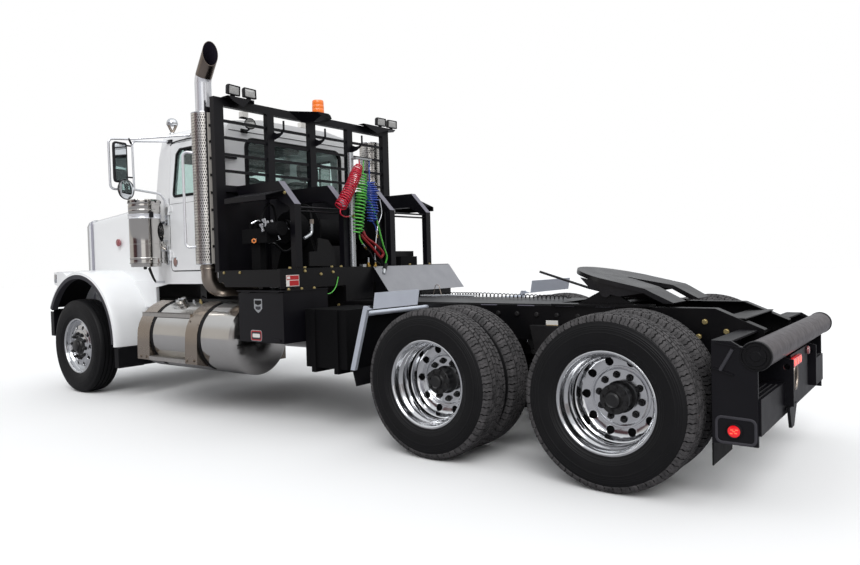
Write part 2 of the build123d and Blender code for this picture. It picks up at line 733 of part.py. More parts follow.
grille_bars = 9
with BuildPart() as grille:
    with BuildSketch(Plane.YZ.offset(hood_front_x)) as face:
        with BuildLine():
            Polyline(*hood_section(hood_front_half + 8.0, hood_front_bottom, hood_front_top + 8.0, 0.0),
                     close=True)
        make_face()
    extrude(face.sketch, amount=grille_frame)
    with BuildSketch(Plane.YZ.offset(hood_front_x)) as opening:
        with BuildLine():
            Polyline(*hood_section(hood_front_half + 8.0, hood_front_bottom + 60.0, hood_front_top + 8.0,
                                   60.0),
                     close=True)
        make_face()
    extrude(opening.sketch, amount=grille_frame, mode=Mode.SUBTRACT)
    opening_half = hood_front_half - 52.0
    for index in range(grille_bars):
        bar_y = opening_half * (2.0 * (index + 1) / (grille_bars + 1) - 1.0)
        block((hood_front_x + 6.0, hood_front_x + 20.0), (bar_y - 8.0, bar_y + 8.0),
              (hood_front_bottom + 30.0, hood_front_top - 50.0))
    for lamp_side in (1, -1):
        block((lamp_front_x, lamp_front_x + 14.0),
              (lamp_side * (lamp_y[0] + 8.0), lamp_side * (lamp_y[1] - 8.0)),
              (lamp_top - headlamp_height + 8.0, lamp_top - 8.0))
        lug = sorted((lamp_side * hood_lug[0], lamp_side * hood_lug[1]))
        block((hood_pivot_x - hood_ear, hood_pivot_x + 6.0), lug,
              (hood_pivot_height, hood_front_bottom + 10.0))
        rod((hood_pivot_x, lug[0], hood_pivot_height), (hood_pivot_x, lug[1], hood_pivot_height),
            hood_ear)
        rod((hood_pivot_x, lug[0] - 1.0, hood_pivot_height),
            (hood_pivot_x, lug[1] + 1.0, hood_pivot_height),
            hood_pin + running_gap, Mode.SUBTRACT)
finish(grille, "grille")

flap_seat = arch_x - fender_inner + 1.4
with BuildPart() as splash_guards:
    lip_profile = [
        (arch_radius - lip_depth, fender_half_width - 26.0),
        (arch_radius - lip_depth, fender_half_width - 4.0),
        (arch_radius - 0.3, fender_half_width - 1.0), (arch_radius - 0.3, fender_half_width - 26.0),
    ]
    arc_sweep(lip_profile, fender_front_angle, fender_rear_angle - 4.0)
    block((flap_seat, flap_seat + 10.0), (660.0, fender_half_width - 92.0), (350.0, arch_height + 30.0))
    mirror(about=Plane.XZ)
finish(splash_guards, "splash_guards")

# ---- Cab ------------------------------------------------------------------------------------------

door_front_x = cowl_x - door_setback
door_rear_x = door_front_x - door_length
hinge_radius = 8.7
hinge_pin = 4.0
hinge_y = cab_half_width + hinge_radius + running_gap
hinge_heights = (door_bottom + 170.0, cab_belt - 120.0)
hinge_half = 28.0
barrel = 30.0
tumblehome = 55.0
cab_corner = 90.0


def cab_body(inset):
    """The cab's closed outer form, moved in by inset on every side."""
    low, high = cab_floor + inset, cab_roof - inset
    back, front = cab_rear_x + inset, cowl_x - inset
    half = cab_half_width - inset
    side_plate(
        [(back, low), (front, low), (front, cab_belt), (front - windscreen_rake, high - roof_crown),
         (front - windscreen_rake - 110.0, high), (back, high)],
        (-half - 1.0, half + 1.0),
    )
    with BuildSketch(Plane.YZ.offset(back - 1.0)) as section_face:
        with BuildLine():
            Polyline((half, low), (half, cab_belt), (half - tumblehome, high - roof_crown),
                     (half * 0.5, high),
                     (-half * 0.5, high), (-half + tumblehome, high - roof_crown), (-half, cab_belt),
                     (-half, low),
                     close=True)
        make_face()
        fillet(section_face.vertices().group_by(Axis.Y)[-2:][0], radius=cab_corner - inset)
    extrude(section_face.sketch, amount=front - back + 2.0, mode=Mode.INTERSECT)
    with BuildSketch(Plane.XY.offset(low - 1.0)) as plan_face:
        with BuildLine():
            Polyline((back, half), (door_front_x, half), (front, cowl_half_width - inset),
                     (front, -cowl_half_width + inset), (door_front_x, -half), (back, -half), close=True)
        make_face()
        fillet(plan_face.vertices().group_by(Axis.X)[0], radius=cab_corner - inset)
    extrude(plan_face.sketch, amount=high - low + 2.0, mode=Mode.INTERSECT)


with BuildPart() as cab_outer:
    cab_body(0.0)
with BuildPart() as cab_hollow:
    cab_body(cab_wall)
with BuildPart() as pane_outer:
    cab_body(12.0)
with BuildPart() as pane_inner:
    cab_body(12.0 + glass_wall)

side_y = (cab_half_width - cab_wall - 80.0, cab_half_width + 10.0)
screen_y = (30.0, cowl_half_width - 80.0)
screen_z = (cab_belt + 50.0, cab_roof - roof_crown - 95.0)
rear_window_half = 640.0
rear_window_z = (cab_belt - 60.0, window_top + 5.0)
window_outline = [
    (door_rear_x + window_margin, cab_belt), (door_front_x - window_margin, cab_belt),
    (door_front_x - window_margin - 30.0, window_top - 60.0),
    (door_front_x - window_margin - 90.0, window_top),
    (door_rear_x + window_margin, window_top),
]
with BuildPart() as cab_shell:
    add(cab_outer.part)
    add(cab_hollow.part, mode=Mode.SUBTRACT)
    for side in (1, -1):
        block((door_rear_x, door_front_x), (side * side_y[0], side * side_y[1]), (door_bottom, door_top),
              Mode.SUBTRACT)
        block((cowl_x - windscreen_rake - 120.0, cowl_x + 5.0), (side * screen_y[0], side * screen_y[1]),
              screen_z,
              Mode.SUBTRACT)
    block((cab_rear_x - 5.0, cab_rear_x + cab_wall + 5.0), (-rear_window_half, rear_window_half),
          rear_window_z,
          Mode.SUBTRACT)
    for side in (1, -1):
        for height in hinge_heights:
            for low in (height - hinge_half - hinge_gap - barrel, height + hinge_half + hinge_gap):
                block((door_front_x, door_front_x + 45.0),
                      (side * (cab_half_width - 12.0), side * hinge_y), (low, low + barrel))
                rod((door_front_x, side * hinge_y, low), (door_front_x, side * hinge_y, low + barrel),
                    hinge_radius)
            rod((door_front_x, side * hinge_y, height - hinge_half - barrel),
                (door_front_x, side * hinge_y, height + hinge_half + barrel), hinge_pin)
finish(cab_shell, "cab_shell")

with BuildPart() as cab_glass:
    add(pane_outer.part)
    add(pane_inner.part, mode=Mode.SUBTRACT)
    with BuildPart(mode=Mode.PRIVATE) as windows:
        for side in (1, -1):
            block((cowl_x - windscreen_rake - 120.0, cowl_x + 5.0),
                  (side * screen_y[0], side * screen_y[1]), screen_z)
        block((cab_rear_x - 5.0, cab_rear_x + cab_wall + 5.0), (-rear_window_half, rear_window_half),
              rear_window_z)
    add(windows.part, mode=Mode.INTERSECT)
finish(cab_glass, "cab_glass")

for side, hand in ((1, "left"), (-1, "right")):
    with BuildPart() as door:
        add(cab_outer.part)
        add(cab_hollow.part, mode=Mode.SUBTRACT)
        block((door_rear_x + door_gap, door_front_x - door_gap), (side * side_y[0], side * side_y[1]),
              (door_bottom + door_gap, door_top - door_gap), Mode.INTERSECT)
        side_plate(window_outline, sorted((side * side_y[0], side * side_y[1])), Mode.SUBTRACT)
        block((door_rear_x + 70.0, door_rear_x + 190.0),
              (side * (cab_half_width - 1.0), side * (cab_half_width + 22.0)),
              (door_bottom + 76.0, door_bottom + 106.0))
        for height in hinge_heights:
            block((door_front_x - 50.0, door_front_x), (side * (cab_half_width - 1.0), side * hinge_y),
                  (height - hinge_half, height + hinge_half))
            rod((door_front_x, side * hinge_y, height - hinge_half),
                (door_front_x, side * hinge_y, height + hinge_half),
                hinge_radius)
            rod((door_front_x, side * hinge_y, height - hinge_half - 1.0),
                (door_front_x, side * hinge_y, height + hinge_half + 1.0), hinge_pin + running_gap,
                Mode.SUBTRACT)
    finish(door, f"door_{hand}")

    with BuildPart() as door_glass:
        add(pane_outer.part)
        add(pane_inner.part, mode=Mode.SUBTRACT)
        with BuildPart(mode=Mode.PRIVATE) as pane:
            side_plate(window_outline, sorted((side * side_y[0], side * side_y[1])))
        add(pane.part, mode=Mode.INTERSECT)
    finish(door_glass, f"door_glass_{hand}")

inner_floor = cab_floor + cab_wall
seat_x = cab_rear_x + cab_wall + 60.0
wheel_centre = (door_front_x - 130.0, 430.0, cab_belt - 30.0)
with BuildPart() as cab_interior:
    block((cowl_x - cab_wall - 330.0, cowl_x - cab_wall - 2.0),
          (-cowl_half_width + cab_wall + 60.0, cowl_half_width - cab_wall - 60.0),
          (cab_belt - 560.0, cab_belt - 20.0))
    block((cowl_x - cab_wall - 330.0, cowl_x - cab_wall - 120.0), (-220.0, 220.0),
          (inner_floor, cab_belt - 540.0))
    for side in (1, -1):
        block((seat_x + 60.0, seat_x + 420.0), (side * 200.0, side * 660.0),
              (inner_floor, inner_floor + 260.0))
        block((seat_x, seat_x + 520.0), (side * 180.0, side * 680.0),
              (inner_floor + 255.0, inner_floor + 400.0))
        block((seat_x - 20.0, seat_x + 110.0), (side * 180.0, side * 680.0),
              (inner_floor + 380.0, inner_floor + 1010.0))
    wheel_plane = Plane(origin=wheel_centre, z_dir=(-0.75, 0, 0.66))
    with Locations(wheel_plane):
        Torus(210.0, 14.0)
        Cylinder(60.0, 30.0)
        Box(400.0, 26.0, 14.0)
    rod(wheel_centre, (wheel_centre[0] + 230.0, wheel_centre[1], wheel_centre[2] - 205.0), 26.0)
finish(cab_interior, "cab_interior")

mirror_x = cowl_x - 270.0
mirror_centre = 2512.0
mirror_tube = 11.0
mirror_top = mirror_centre + mirror_height / 2
mirror_low = mirror_centre - mirror_height / 2


def cowl_side(x):
    """Half the cab's width at a station of the cowl, below the belt."""
    share = max(0.0, (x - door_front_x) / door_setback)
    return cab_half_width - (cab_half_width - cowl_half_width) * share


def cab_side(z):
    """Half the cab's width at a height over the belt."""
    return cab_half_width - tumblehome * (z - cab_belt) / (cab_roof - roof_crown - cab_belt)


with BuildPart() as cab_fittings:
    for side in (1, -1):
        head_y = side * (mirror_y - 60.0)
        block((mirror_x - 12.0, mirror_x + 38.0), (head_y - mirror_width / 2, head_y + mirror_width / 2),
              (mirror_centre - mirror_height / 2, mirror_centre + mirror_height / 2))
        rod((mirror_x - 14.0, head_y - side * 20.0, mirror_centre - mirror_height / 2 - 92.0),
            (mirror_x + 34.0, head_y - side * 20.0, mirror_centre - mirror_height / 2 - 92.0), 84.0)
        arm_top = cab_roof - 190.0
        arm_foot_x = mirror_x + 60.0
        bent_tube(
            [(mirror_x + 14.0, side * (cab_side(arm_top) + 8.0), arm_top),
             (mirror_x + 14.0, side * (mirror_y + 40.0), mirror_top + 36.0),
             (mirror_x + 14.0, side * (mirror_y + 28.0), mirror_low - 40.0),
             (mirror_x + 14.0, side * (mirror_y - 190.0), mirror_low - 75.0),
             (arm_foot_x, side * (cowl_side(arm_foot_x) + mirror_tube + 0.5), mirror_low - 120.0),
             (arm_foot_x, side * (cowl_side(arm_foot_x) + mirror_tube + 0.5), mirror_low - 330.0)],
            mirror_tube, 48.0)
        rod((mirror_x + 14.0, head_y, mirror_top - 10.0), (mirror_x + 14.0, head_y, mirror_top + 52.0),
            12.0)
        rod((mirror_x + 10.0, head_y, mirror_low + 10.0),
            (mirror_x + 10.0, head_y - side * 18.0, mirror_low - 60.0), 12.0)
        rod((mirror_x + 14.0, side * (cab_side(arm_top - 24.0) + 0.5), arm_top),
            (mirror_x + 14.0, side * (cab_side(arm_top - 24.0) + 16.0), arm_top), 24.0)
finish(cab_fittings, "cab_fittings")

# ---- Air cleaners and exhaust -----------------------------------------------------------------------

cleaner_x = cowl_x - cleaner_setback
with BuildPart() as air_cleaners:
    for side in (1, -1):
        with Locations((cleaner_x, side * cleaner_y, (cleaner_bottom + cleaner_top) / 2)):
            Cylinder(cleaner_radius, cleaner_top - cleaner_bottom)
        for reach, low, high in ((60.0, 160.0, 280.0), (30.0, 450.0, 480.0)):
            span = (cleaner_x - reach, cleaner_x + reach)
            inboard = side * (cleaner_y - cleaner_radius + 20.0)
            flat_plate([(span[0], inboard), (span[1], inboard),
                        (span[1], side * (cowl_side(span[1]) + running_gap)),
                        (span[0], side * (cowl_side(span[0]) + running_gap))],
                       (cleaner_bottom + low, cleaner_bottom + high))
finish(air_cleaners, "air_cleaners")

stack_x = cab_rear_x - stack_setback
elbow_z = tank_centre_height + tank_radius + 141.0
mouth_x = stack_x - mouth_setback
bend_z = stack_mouth - mouth_rise
over_run = 60.0
pipe_bend = 200.0
stack_tip = (mouth_x - over_run, stack_y, stack_mouth + over_run * mouth_rise / mouth_setback)
bore_foot = (stack_x, stack_y, bend_z - 200.0)
stack_brackets = (shield_bottom + 190.0, shield_top - 420.0)
bracket_reach = cab_half_width - tumblehome - cab_corner
with BuildPart() as stack_bore:
    bent_tube([stack_tip, (stack_x, stack_y, bend_z), bore_foot], pipe_radius - pipe_wall, pipe_bend)
with BuildPart() as exhaust:
    bent_tube([stack_tip, (stack_x, stack_y, bend_z), (stack_x, stack_y, shield_bottom + 100.0)],
              pipe_radius, pipe_bend)
    add(stack_bore.part, mode=Mode.SUBTRACT)
    block((mouth_x - pipe_radius * 2 - over_run, mouth_x), (stack_y - 150.0, stack_y + 150.0),
          (bend_z, stack_mouth + 300.0), Mode.SUBTRACT)
    bent_tube(
        [(stack_x, stack_y, shield_bottom + 110.0), (stack_x, stack_y, elbow_z),
         (stack_x - 95.0, stack_y - 460.0, elbow_z)],
        pipe_radius, 120.0)
    for side, top in ((1, shield_top), (-1, shield_top - 20.0)):
        with Locations((stack_x, side * stack_y, (shield_bottom + top) / 2)):
            Cylinder(shield_radius, top - shield_bottom)
        inboard = side * (stack_y - 100.0)
        for height in stack_brackets:
            flat_plate([(stack_x - 30.0, inboard), (stack_x + 20.0, inboard),
                        (cab_rear_x - running_gap, side * bracket_reach),
                        (cab_rear_x - running_gap, side * (bracket_reach - 60.0)),
                        (cab_rear_x - 30.0, side * (bracket_reach - 60.0))], (height, height + 40.0))
finish(exhaust, "exhaust")

# ---- Fuel tanks and their steps ---------------------------------------------------------------------

tank_x = (rear_axle_x + tank_rear, rear_axle_x + tank_front)
step_outer = rack_half_width + 9.0
front_bracket = (rear_axle_x + 4906.0, rear_axle_x + 5130.0)
rear_bracket = (rear_axle_x + 4091.0, rear_axle_x + 4285.0)
strap_half = 22.0
strap_stations = (tank_x[0] + 210.0, rear_bracket[0] - strap_half - 1.0,
                  front_bracket[0] - strap_half - 1.0,
                  tank_x[1] - 30.0 - strap_half)
with BuildPart() as fuel_tanks:
    with BuildSketch(Plane(origin=(0, tank_centre_y, tank_centre_height))) as half_tank:
        with BuildLine():
            Polyline(
                (tank_x[0], 0), (tank_x[0], tank_radius * 0.55),
                (tank_x[0] + tank_dome * 0.45, tank_radius * 0.86),
                (tank_x[0] + tank_dome, tank_radius), (tank_x[1] - tank_dome, tank_radius),
                (tank_x[1] - tank_dome * 0.45, tank_radius * 0.86), (tank_x[1], tank_radius * 0.55),
                (tank_x[1], 0),
                close=True)
        make_face()
    revolve(half_tank.sketch, axis=Axis((0, tank_centre_y, tank_centre_height), (1, 0, 0)))
    rod((tank_x[1] - 560.0, tank_centre_y + 110.0, tank_centre_height + 300.0),
        (tank_x[1] - 560.0, tank_centre_y + 150.0, tank_centre_height + 372.0), 52.0)
    mirror(about=Plane.XZ)
finish(fuel_tanks, "fuel_tanks")

bracket_wall = 9.0
tread_depth = 39.0
bracket_outline = [(tank_centre_y, tank_centre_height),
                   (tank_centre_y + 60.0, tank_centre_height + tank_radius + bracket_wall)]
for turn in (75.0, 64.0, 53.0, 42.0, 31.0, 20.0, 9.0):
    bracket_outline.append((tank_centre_y + (tank_radius + bracket_wall) * cos(radians(turn)),
                            tank_centre_height + (tank_radius + bracket_wall) * sin(radians(turn))))
bracket_outline += [
    (step_outer - 2.0, tank_centre_height - 60.0), (step_outer, step_bottom),
    (step_outer, step_bottom - tread_depth),
    (tank_centre_y + 122.0, step_bottom - 100.0),
    (tank_centre_y + 60.0, tank_centre_height - tank_radius + 20.0),
]
with BuildPart() as tank_steps:
    for span in (front_bracket, rear_bracket):
        cross_plate(bracket_outline, span)
    block((rear_bracket[1] - 1.0, front_bracket[0] + 1.0), (tank_centre_y + 240.0, step_outer),
          (step_bottom - tread_depth, step_bottom))
    block((rear_bracket[1] - 1.0, front_bracket[1]), (tank_centre_y + 200.0, tank_centre_y + 287.0),
          (step_top - tread_depth, step_top))
    rod((tank_x[0], tank_centre_y, tank_centre_height), (tank_x[1], tank_centre_y, tank_centre_height),
        tank_radius + 0.4, Mode.SUBTRACT)
    for station in strap_stations:
        block((station - strap_half, station + strap_half), (frame_half_width, tank_centre_y - 235.0),
              (tank_centre_height - 250.0, frame_bottom + 120.0))
        rod((station - strap_half, tank_centre_y, tank_centre_height),
            (station + strap_half, tank_centre_y, tank_centre_height),
            tank_radius + 0.4, Mode.SUBTRACT)
    mirror(about=Plane.XZ)
finish(tank_steps, "tank_steps")

# ---- Tool boxes -------------------------------------------------------------------------------------

box_x = (rear_axle_x + box_rear, rear_axle_x + box_front)
box_outer = rack_half_width - box_door - 1.0
box_hinge = (rack_half_width + 2.0, box_top - 1.0)
box_hinge_radius = 5.0
box_barrel = 30.0
box_hinges = (box_x[0] + 110.0, box_x[1] - 110.0)
with BuildPart() as tool_boxes:
    block(box_x, (box_inner, box_outer), (box_bottom, box_top))
    block((box_x[0] + box_wall, box_x[1] - box_wall), (box_inner + box_wall, box_outer + 1.0),
          (box_bottom + box_wall, box_top - box_wall - 20.0), Mode.SUBTRACT)
    block((box_x[0] - 8.0, box_x[1] + 8.0), (box_inner, rack_half_width + 10.0),
          (box_top + 6.0, box_top + 18.0))
    block(box_x, (box_inner, box_outer), (box_top, box_top + 6.0))
    for station in (box_x[0] + 120.0, box_x[1] - 120.0):
        block((station - 30.0, station + 30.0), (frame_half_width, box_inner),
              (box_bottom + 80.0, box_bottom + 200.0))
    for station in box_hinges:
        for low in (station - box_barrel - hinge_gap, station + box_barrel + hinge_gap):
            ends = sorted((low, low + (box_barrel if low > station else -box_barrel)))
            rod((ends[0], *box_hinge), (ends[1], *box_hinge), box_hinge_radius)
            block(ends, (box_hinge[0] - 3.0, box_hinge[0] + 3.0), (box_hinge[1], box_top + 7.0))
        rod((station - box_barrel * 2, *box_hinge), (station + box_barrel * 2, *box_hinge),
            box_hinge_radius / 2)
    mirror(about=Plane.XZ)
finish(tool_boxes, "tool_boxes")

for side, hand in ((1, "left"), (-1, "right")):
    with BuildPart() as box_lid:
        block((box_x[0], box_x[1]), (side * (box_outer + 1.0), side * rack_half_width),
              (box_bottom, box_top - 4.0))
        block((box_x[0] + 40.0, box_x[0] + 120.0),
              (side * rack_half_width, side * (rack_half_width + 9.0)),
              (box_bottom + 14.0, box_bottom + 34.0))
        axis_y, axis_z = side * box_hinge[0], box_hinge[1]
        for station in box_hinges:
            rod((station - box_barrel * 2 - 1.0, axis_y, axis_z),
                (station + box_barrel * 2 + 1.0, axis_y, axis_z),
                box_hinge_radius + hinge_gap, Mode.SUBTRACT)
            rod((station - box_barrel, axis_y, axis_z), (station + box_barrel, axis_y, axis_z),
                box_hinge_radius)
            block((station - box_barrel, station + box_barrel),
                  (side * (box_hinge[0] - box_hinge_radius), side * (box_hinge[0] + 1.0)),
                  (box_top - 12.0, axis_z))
            rod((station - box_barrel - 1.0, axis_y, axis_z),
                (station + box_barrel + 1.0, axis_y, axis_z),
                box_hinge_radius / 2 + running_gap, Mode.SUBTRACT)
    finish(box_lid, f"box_door_{hand}")

hydraulic_x = (rear_axle_x + hydraulic_rear, box_x[0] - 30.0)
with BuildPart() as hydraulic_tank:
    block(hydraulic_x, (frame_half_width + 40.0, 1010.0), (560.0, 1060.0))
    for station in (hydraulic_x[0] + 110.0, hydraulic_x[1] - 110.0):
        block((station - 25.0, station + 25.0), (frame_half_width, 1030.0), (520.0, 1062.0))
    block(hydraulic_x, (-frame_half_width - 330.0, -frame_half_width - 40.0), (700.0, 980.0))
    block((hydraulic_x[0] + 100.0, hydraulic_x[1] - 100.0),
          (-frame_half_width - 45.0, -frame_half_width), (860.0, 960.0))
finish(hydraulic_tank, "hydraulic_tank")

# ---- Headache rack ------------------------------------------------------------------------------------

rack_span = (rack_x - rack_depth / 2, rack_x + rack_depth / 2)
inner_post_y = (-rack_half_width * 0.46, 0.0, rack_half_width * 0.46)
inner_post_half = 42.0
lamp_places = (1031.0, 844.0, -1052.0, -1252.0)
lamp_shelves = ((1130.0, 760.0), (-950.0, -1330.0))
lamp_half = 72.0
lamp_rise = (42.0, 130.0)
beacon_at = (rack_x - 110.0, -10.0)
with BuildPart() as headache_rack:
    block(rack_span, (-rack_half_width, rack_half_width), (rack_top - rack_rail, rack_top))
    for side in (1, -1):
        block(rack_span, (side * (rack_half_width - rack_post), side * rack_half_width),
              (deck_top, rack_top))
    for post_middle in inner_post_y:
        block(rack_span, (post_middle - inner_post_half, post_middle + inner_post_half),
              (deck_top, rack_top - 1.0))
        side_plate(
            [(rack_span[0], rack_top - 318.0), (rack_span[0] - 65.0, rack_top - 304.0),
             (rack_span[0] - 122.0, rack_top - 276.0), (rack_span[0] - 156.0, rack_top - 236.0),
             (rack_span[0] - 156.0, rack_top - 150.0), (rack_span[0] - 138.0, rack_top - 150.0),
             (rack_span[0] - 138.0, rack_top - 228.0), (rack_span[0] - 104.0, rack_top - 260.0),
             (rack_span[0] - 50.0, rack_top - 262.0), (rack_span[0], rack_top - 240.0)],
            (post_middle - inner_post_half, post_middle - inner_post_half + 12.0))
    for index in range(rack_bars):
        bar_z = rack_top - 206.0 - index * rack_bar_pitch
        block((rack_x - rack_bar / 2, rack_x + rack_bar / 2),
              (-rack_half_width + 20.0, rack_half_width - 20.0),
              (bar_z - rack_bar / 2, bar_z + rack_bar / 2))
    block((rack_x + 8.0, rack_x + 16.0), (-rack_half_width + 20.0, rack_half_width - 20.0),
          (deck_top, rack_panel_top))
    block(rack_span, (-rack_half_width + 20.0, rack_half_width - 20.0),
          (rack_panel_top - 60.0, rack_panel_top))
    for left, right in lamp_shelves:
        flat_plate([(rack_x + 30.0, left - 10.0), (rack_x - 30.0, left), (rack_x - 115.0, left - 80.0),
                    (rack_x - 115.0, right + 70.0), (rack_x - 30.0, right),
                    (rack_x + 30.0, right + 20.0)],
                   (rack_top, rack_top + 8.0))
    flat_plate([(rack_x - 190.0, -90.0), (rack_x - 190.0, 70.0), (rack_x + 30.0, 120.0),
                (rack_x + 30.0, -120.0)],
               (rack_top, rack_top + 10.0))
finish(headache_rack, "headache_rack")

with BuildPart() as rack_lamps:
    for lamp_middle in lamp_places:
        block((rack_x - 105.0, rack_x - 35.0), (lamp_middle - lamp_half, lamp_middle + lamp_half),
              (rack_top + lamp_rise[0], rack_top + lamp_rise[1]))
        block((rack_x - 75.0, rack_x - 55.0), (lamp_middle - 12.0, lamp_middle + 12.0),
              (rack_top + 8.0, rack_top + lamp_rise[0] + 6.0))
    with Locations((*beacon_at, rack_top + 10.0 + 14.0)):
        Cylinder(64.0, 28.0)
    with Locations((*beacon_at, rack_top + 38.0 + 56.0)):
        Cone(58.0, 54.0, 114.0)
finish(rack_lamps, "rack_lamps")

# ---- Winch deck ---------------------------------------------------------------------------------------

deck_front_x = rack_x + rack_depth / 2 + 10.0
deck_under = deck_top - deck_plate
skirt_low = deck_top - 150.0
ramp_foot_x = deck_rear_x - ramp_run
ramp_foot_z = deck_top - 255.0
with BuildPart() as winch_deck:
    block((deck_rear_x, deck_front_x), (-rack_half_width, rack_half_width), (deck_under, deck_top))
    for side in (1, -1):
        side_plate(
            [(deck_front_x - 60.0, deck_under), (deck_front_x - 150.0, skirt_low),
             (deck_rear_x, skirt_low),
             (deck_rear_x, deck_under)],
            sorted((side * (rack_half_width - 10.0), side * rack_half_width)))
        block((deck_rear_x, deck_front_x),
              (side * (frame_half_width - rail_flange), side * frame_half_width),
              (frame_top, deck_under))
    for station in (deck_rear_x, rack_x - 60.0):
        block((station, station + 60.0), (-rack_half_width + 10.0, rack_half_width - 10.0),
              (deck_top - 110.0, deck_under))
    block((deck_rear_x, deck_rear_x + 10.0), (frame_half_width, rack_half_width),
          (box_top + 30.0, deck_under))
    block((deck_rear_x, deck_rear_x + 10.0), (ramp_left, frame_half_width),
          (frame_top + 10.0, deck_under))
    block((deck_rear_x, deck_rear_x + 10.0), (-rack_half_width, ramp_left), (skirt_low, deck_under))
    side_plate([(deck_rear_x + 2.0, deck_top), (deck_rear_x - 8.0, deck_top),
                (ramp_foot_x - 8.0, ramp_foot_z),
                (ramp_foot_x, ramp_foot_z), (deck_rear_x + 2.0, deck_under - 4.0)],
                (-rack_half_width, ramp_left))
    for rib_y in (ramp_left - 6.0, -frame_half_width, -rack_half_width + 6.0):
        side_plate(
            [(deck_rear_x + 5.0, deck_top - 6.0), (deck_rear_x - 9.0, deck_top - 6.0),
             (ramp_foot_x - 4.0, ramp_foot_z),
             (box_x[0] - 14.0, ramp_foot_z), (box_x[0] - 14.0, skirt_low),
             (deck_rear_x + 5.0, skirt_low)],
            (rib_y - 6.0, rib_y + 6.0))
    block((rear_axle_x + 760.0, deck_rear_x + 40.0), (-frame_half_width + 20.0, frame_half_width - 20.0),
          (frame_top, frame_top + 8.0))
finish(winch_deck, "winch_deck")

# ---- Winch guards -------------------------------------------------------------------------------------

guard_top = deck_top + guard_height
guard_rear_x = deck_rear_x + 58.0
guard_outline = [
    (rack_span[0], guard_top), (guard_rear_x + guard_slope_run, guard_top),
    (guard_rear_x, guard_top - guard_slope_drop),
    (guard_rear_x, deck_top), (guard_rear_x + guard_tube, deck_top),
    (guard_rear_x + guard_tube, guard_top - guard_slope_drop - 26.0),
    (guard_rear_x + guard_slope_run + 36.0, guard_top - guard_rail_depth),
    (rack_span[0], guard_top - guard_rail_depth),
]
with BuildPart() as winch_guards:
    for middle in (guard_outer, guard_inner, -guard_inner, -guard_outer):
        side_plate(guard_outline, (middle - guard_post / 2, middle + guard_post / 2))
    for side in (1, -1):
        bay = sorted((side * (guard_inner + guard_post / 2), side * (guard_outer - guard_post / 2)))
        for lift in (0.0, 34.0):
            rod((guard_rear_x + 30.0, bay[0] - 4.0, guard_top - 278.0 + lift),
                (guard_rear_x + 30.0, bay[1] + 4.0, guard_top - 278.0 + lift), 9.0)
        eave = side * (rack_half_width - 14.0)
        cross_plate(
            [(side * (guard_outer + guard_post / 2 - 4.0), guard_top - 84.0), (eave, guard_top - 140.0),
             (eave, guard_top - 186.0), (eave - side * 6.0, guard_top - 186.0),
             (eave - side * 6.0, guard_top - 145.0),
             (side * (guard_outer + guard_post / 2 - 4.0), guard_top - 90.0)],
            (guard_rear_x + 120.0, rack_span[0] - 90.0))
finish(winch_guards, "winch_guards")

# ---- Winch --------------------------------------------------------------------------------------------

drum_x = rack_x - winch_setback
drum_z = deck_top + winch_height
shaft = 60.0
cheek_gap = 6.0
with BuildPart() as winch_frame:
    for low in (drum_left + cheek_gap, drum_right - cheek_gap - winch_cheek):
        side_plate(
            [(drum_x - 300.0, deck_top), (drum_x + 300.0, deck_top), (drum_x + 120.0, drum_z + 90.0),
             (drum_x + 50.0, drum_z + 140.0), (drum_x - 50.0, drum_z + 140.0),
             (drum_x - 120.0, drum_z + 90.0)],
            (low, low + winch_cheek))
    gearbox_in = drum_left + cheek_gap + winch_cheek
    motor_in = drum_right - cheek_gap - winch_cheek
    rod((drum_x, gearbox_in, drum_z), (drum_x, gearbox_in + 110.0, drum_z), gearbox_radius)
    rod((drum_x, gearbox_in + 110.0, drum_z), (drum_x, gearbox_in + 160.0, drum_z), gearbox_radius * 0.6)
    rod((drum_x, motor_in - 200.0, drum_z + 60.0), (drum_x, motor_in, drum_z + 60.0), 78.0)
    rod((drum_x, drum_left + cheek_gap - 1.0, drum_z), (drum_x, gearbox_in + 1.0, drum_z),
        shaft + running_gap, Mode.SUBTRACT)
    rod((drum_x, motor_in - 1.0, drum_z), (drum_x, motor_in + winch_cheek + 1.0, drum_z),
        shaft + running_gap, Mode.SUBTRACT)
    block((guard_rear_x + 6.0, guard_rear_x + 206.0), (-740.0, -470.0), (deck_top, deck_top + 96.0))
finish(winch_frame, "winch_frame")

with BuildPart() as winch_drum:
    rod((drum_x, drum_right, drum_z), (drum_x, drum_left, drum_z), drum_barrel_radius)
    for low in (drum_right, drum_left - drum_flange):
        rod((drum_x, low, drum_z), (drum_x, low + drum_flange, drum_z), drum_flange_radius)
    rod((drum_x, drum_right - cheek_gap - winch_cheek + 0.5, drum_z),
        (drum_x, drum_left + cheek_gap + winch_cheek - 0.5, drum_z), shaft)
finish(winch_drum, "winch_drum")

valve_y = (guard_outer + guard_post / 2 + 20.0, guard_outer + guard_post / 2 + 140.0)
with BuildPart() as winch_valves:
    block((drum_x - 190.0, drum_x + 150.0), valve_y, (drum_z - 110.0, drum_z + 20.0))
    block((drum_x - 60.0, drum_x + 60.0), (valve_y[0] + 30.0, valve_y[1] - 30.0),
          (deck_top, drum_z - 109.0))
    for index in range(4):
        valve_x = drum_x - 150.0 + index * 82.0
        rod((valve_x, (valve_y[0] + valve_y[1]) / 2, drum_z + 19.0),
            (valve_x, (valve_y[0] + valve_y[1]) / 2, drum_z + 92.0), 17.0)
    rod((drum_x - 330.0, valve_y[0] + 60.0, drum_z + 10.0),
        (drum_x - 180.0, valve_y[0] + 60.0, drum_z + 10.0), 62.0)
finish(winch_valves, "winch_valves")

# ---- Hose post and lines ------------------------------------------------------------------------------

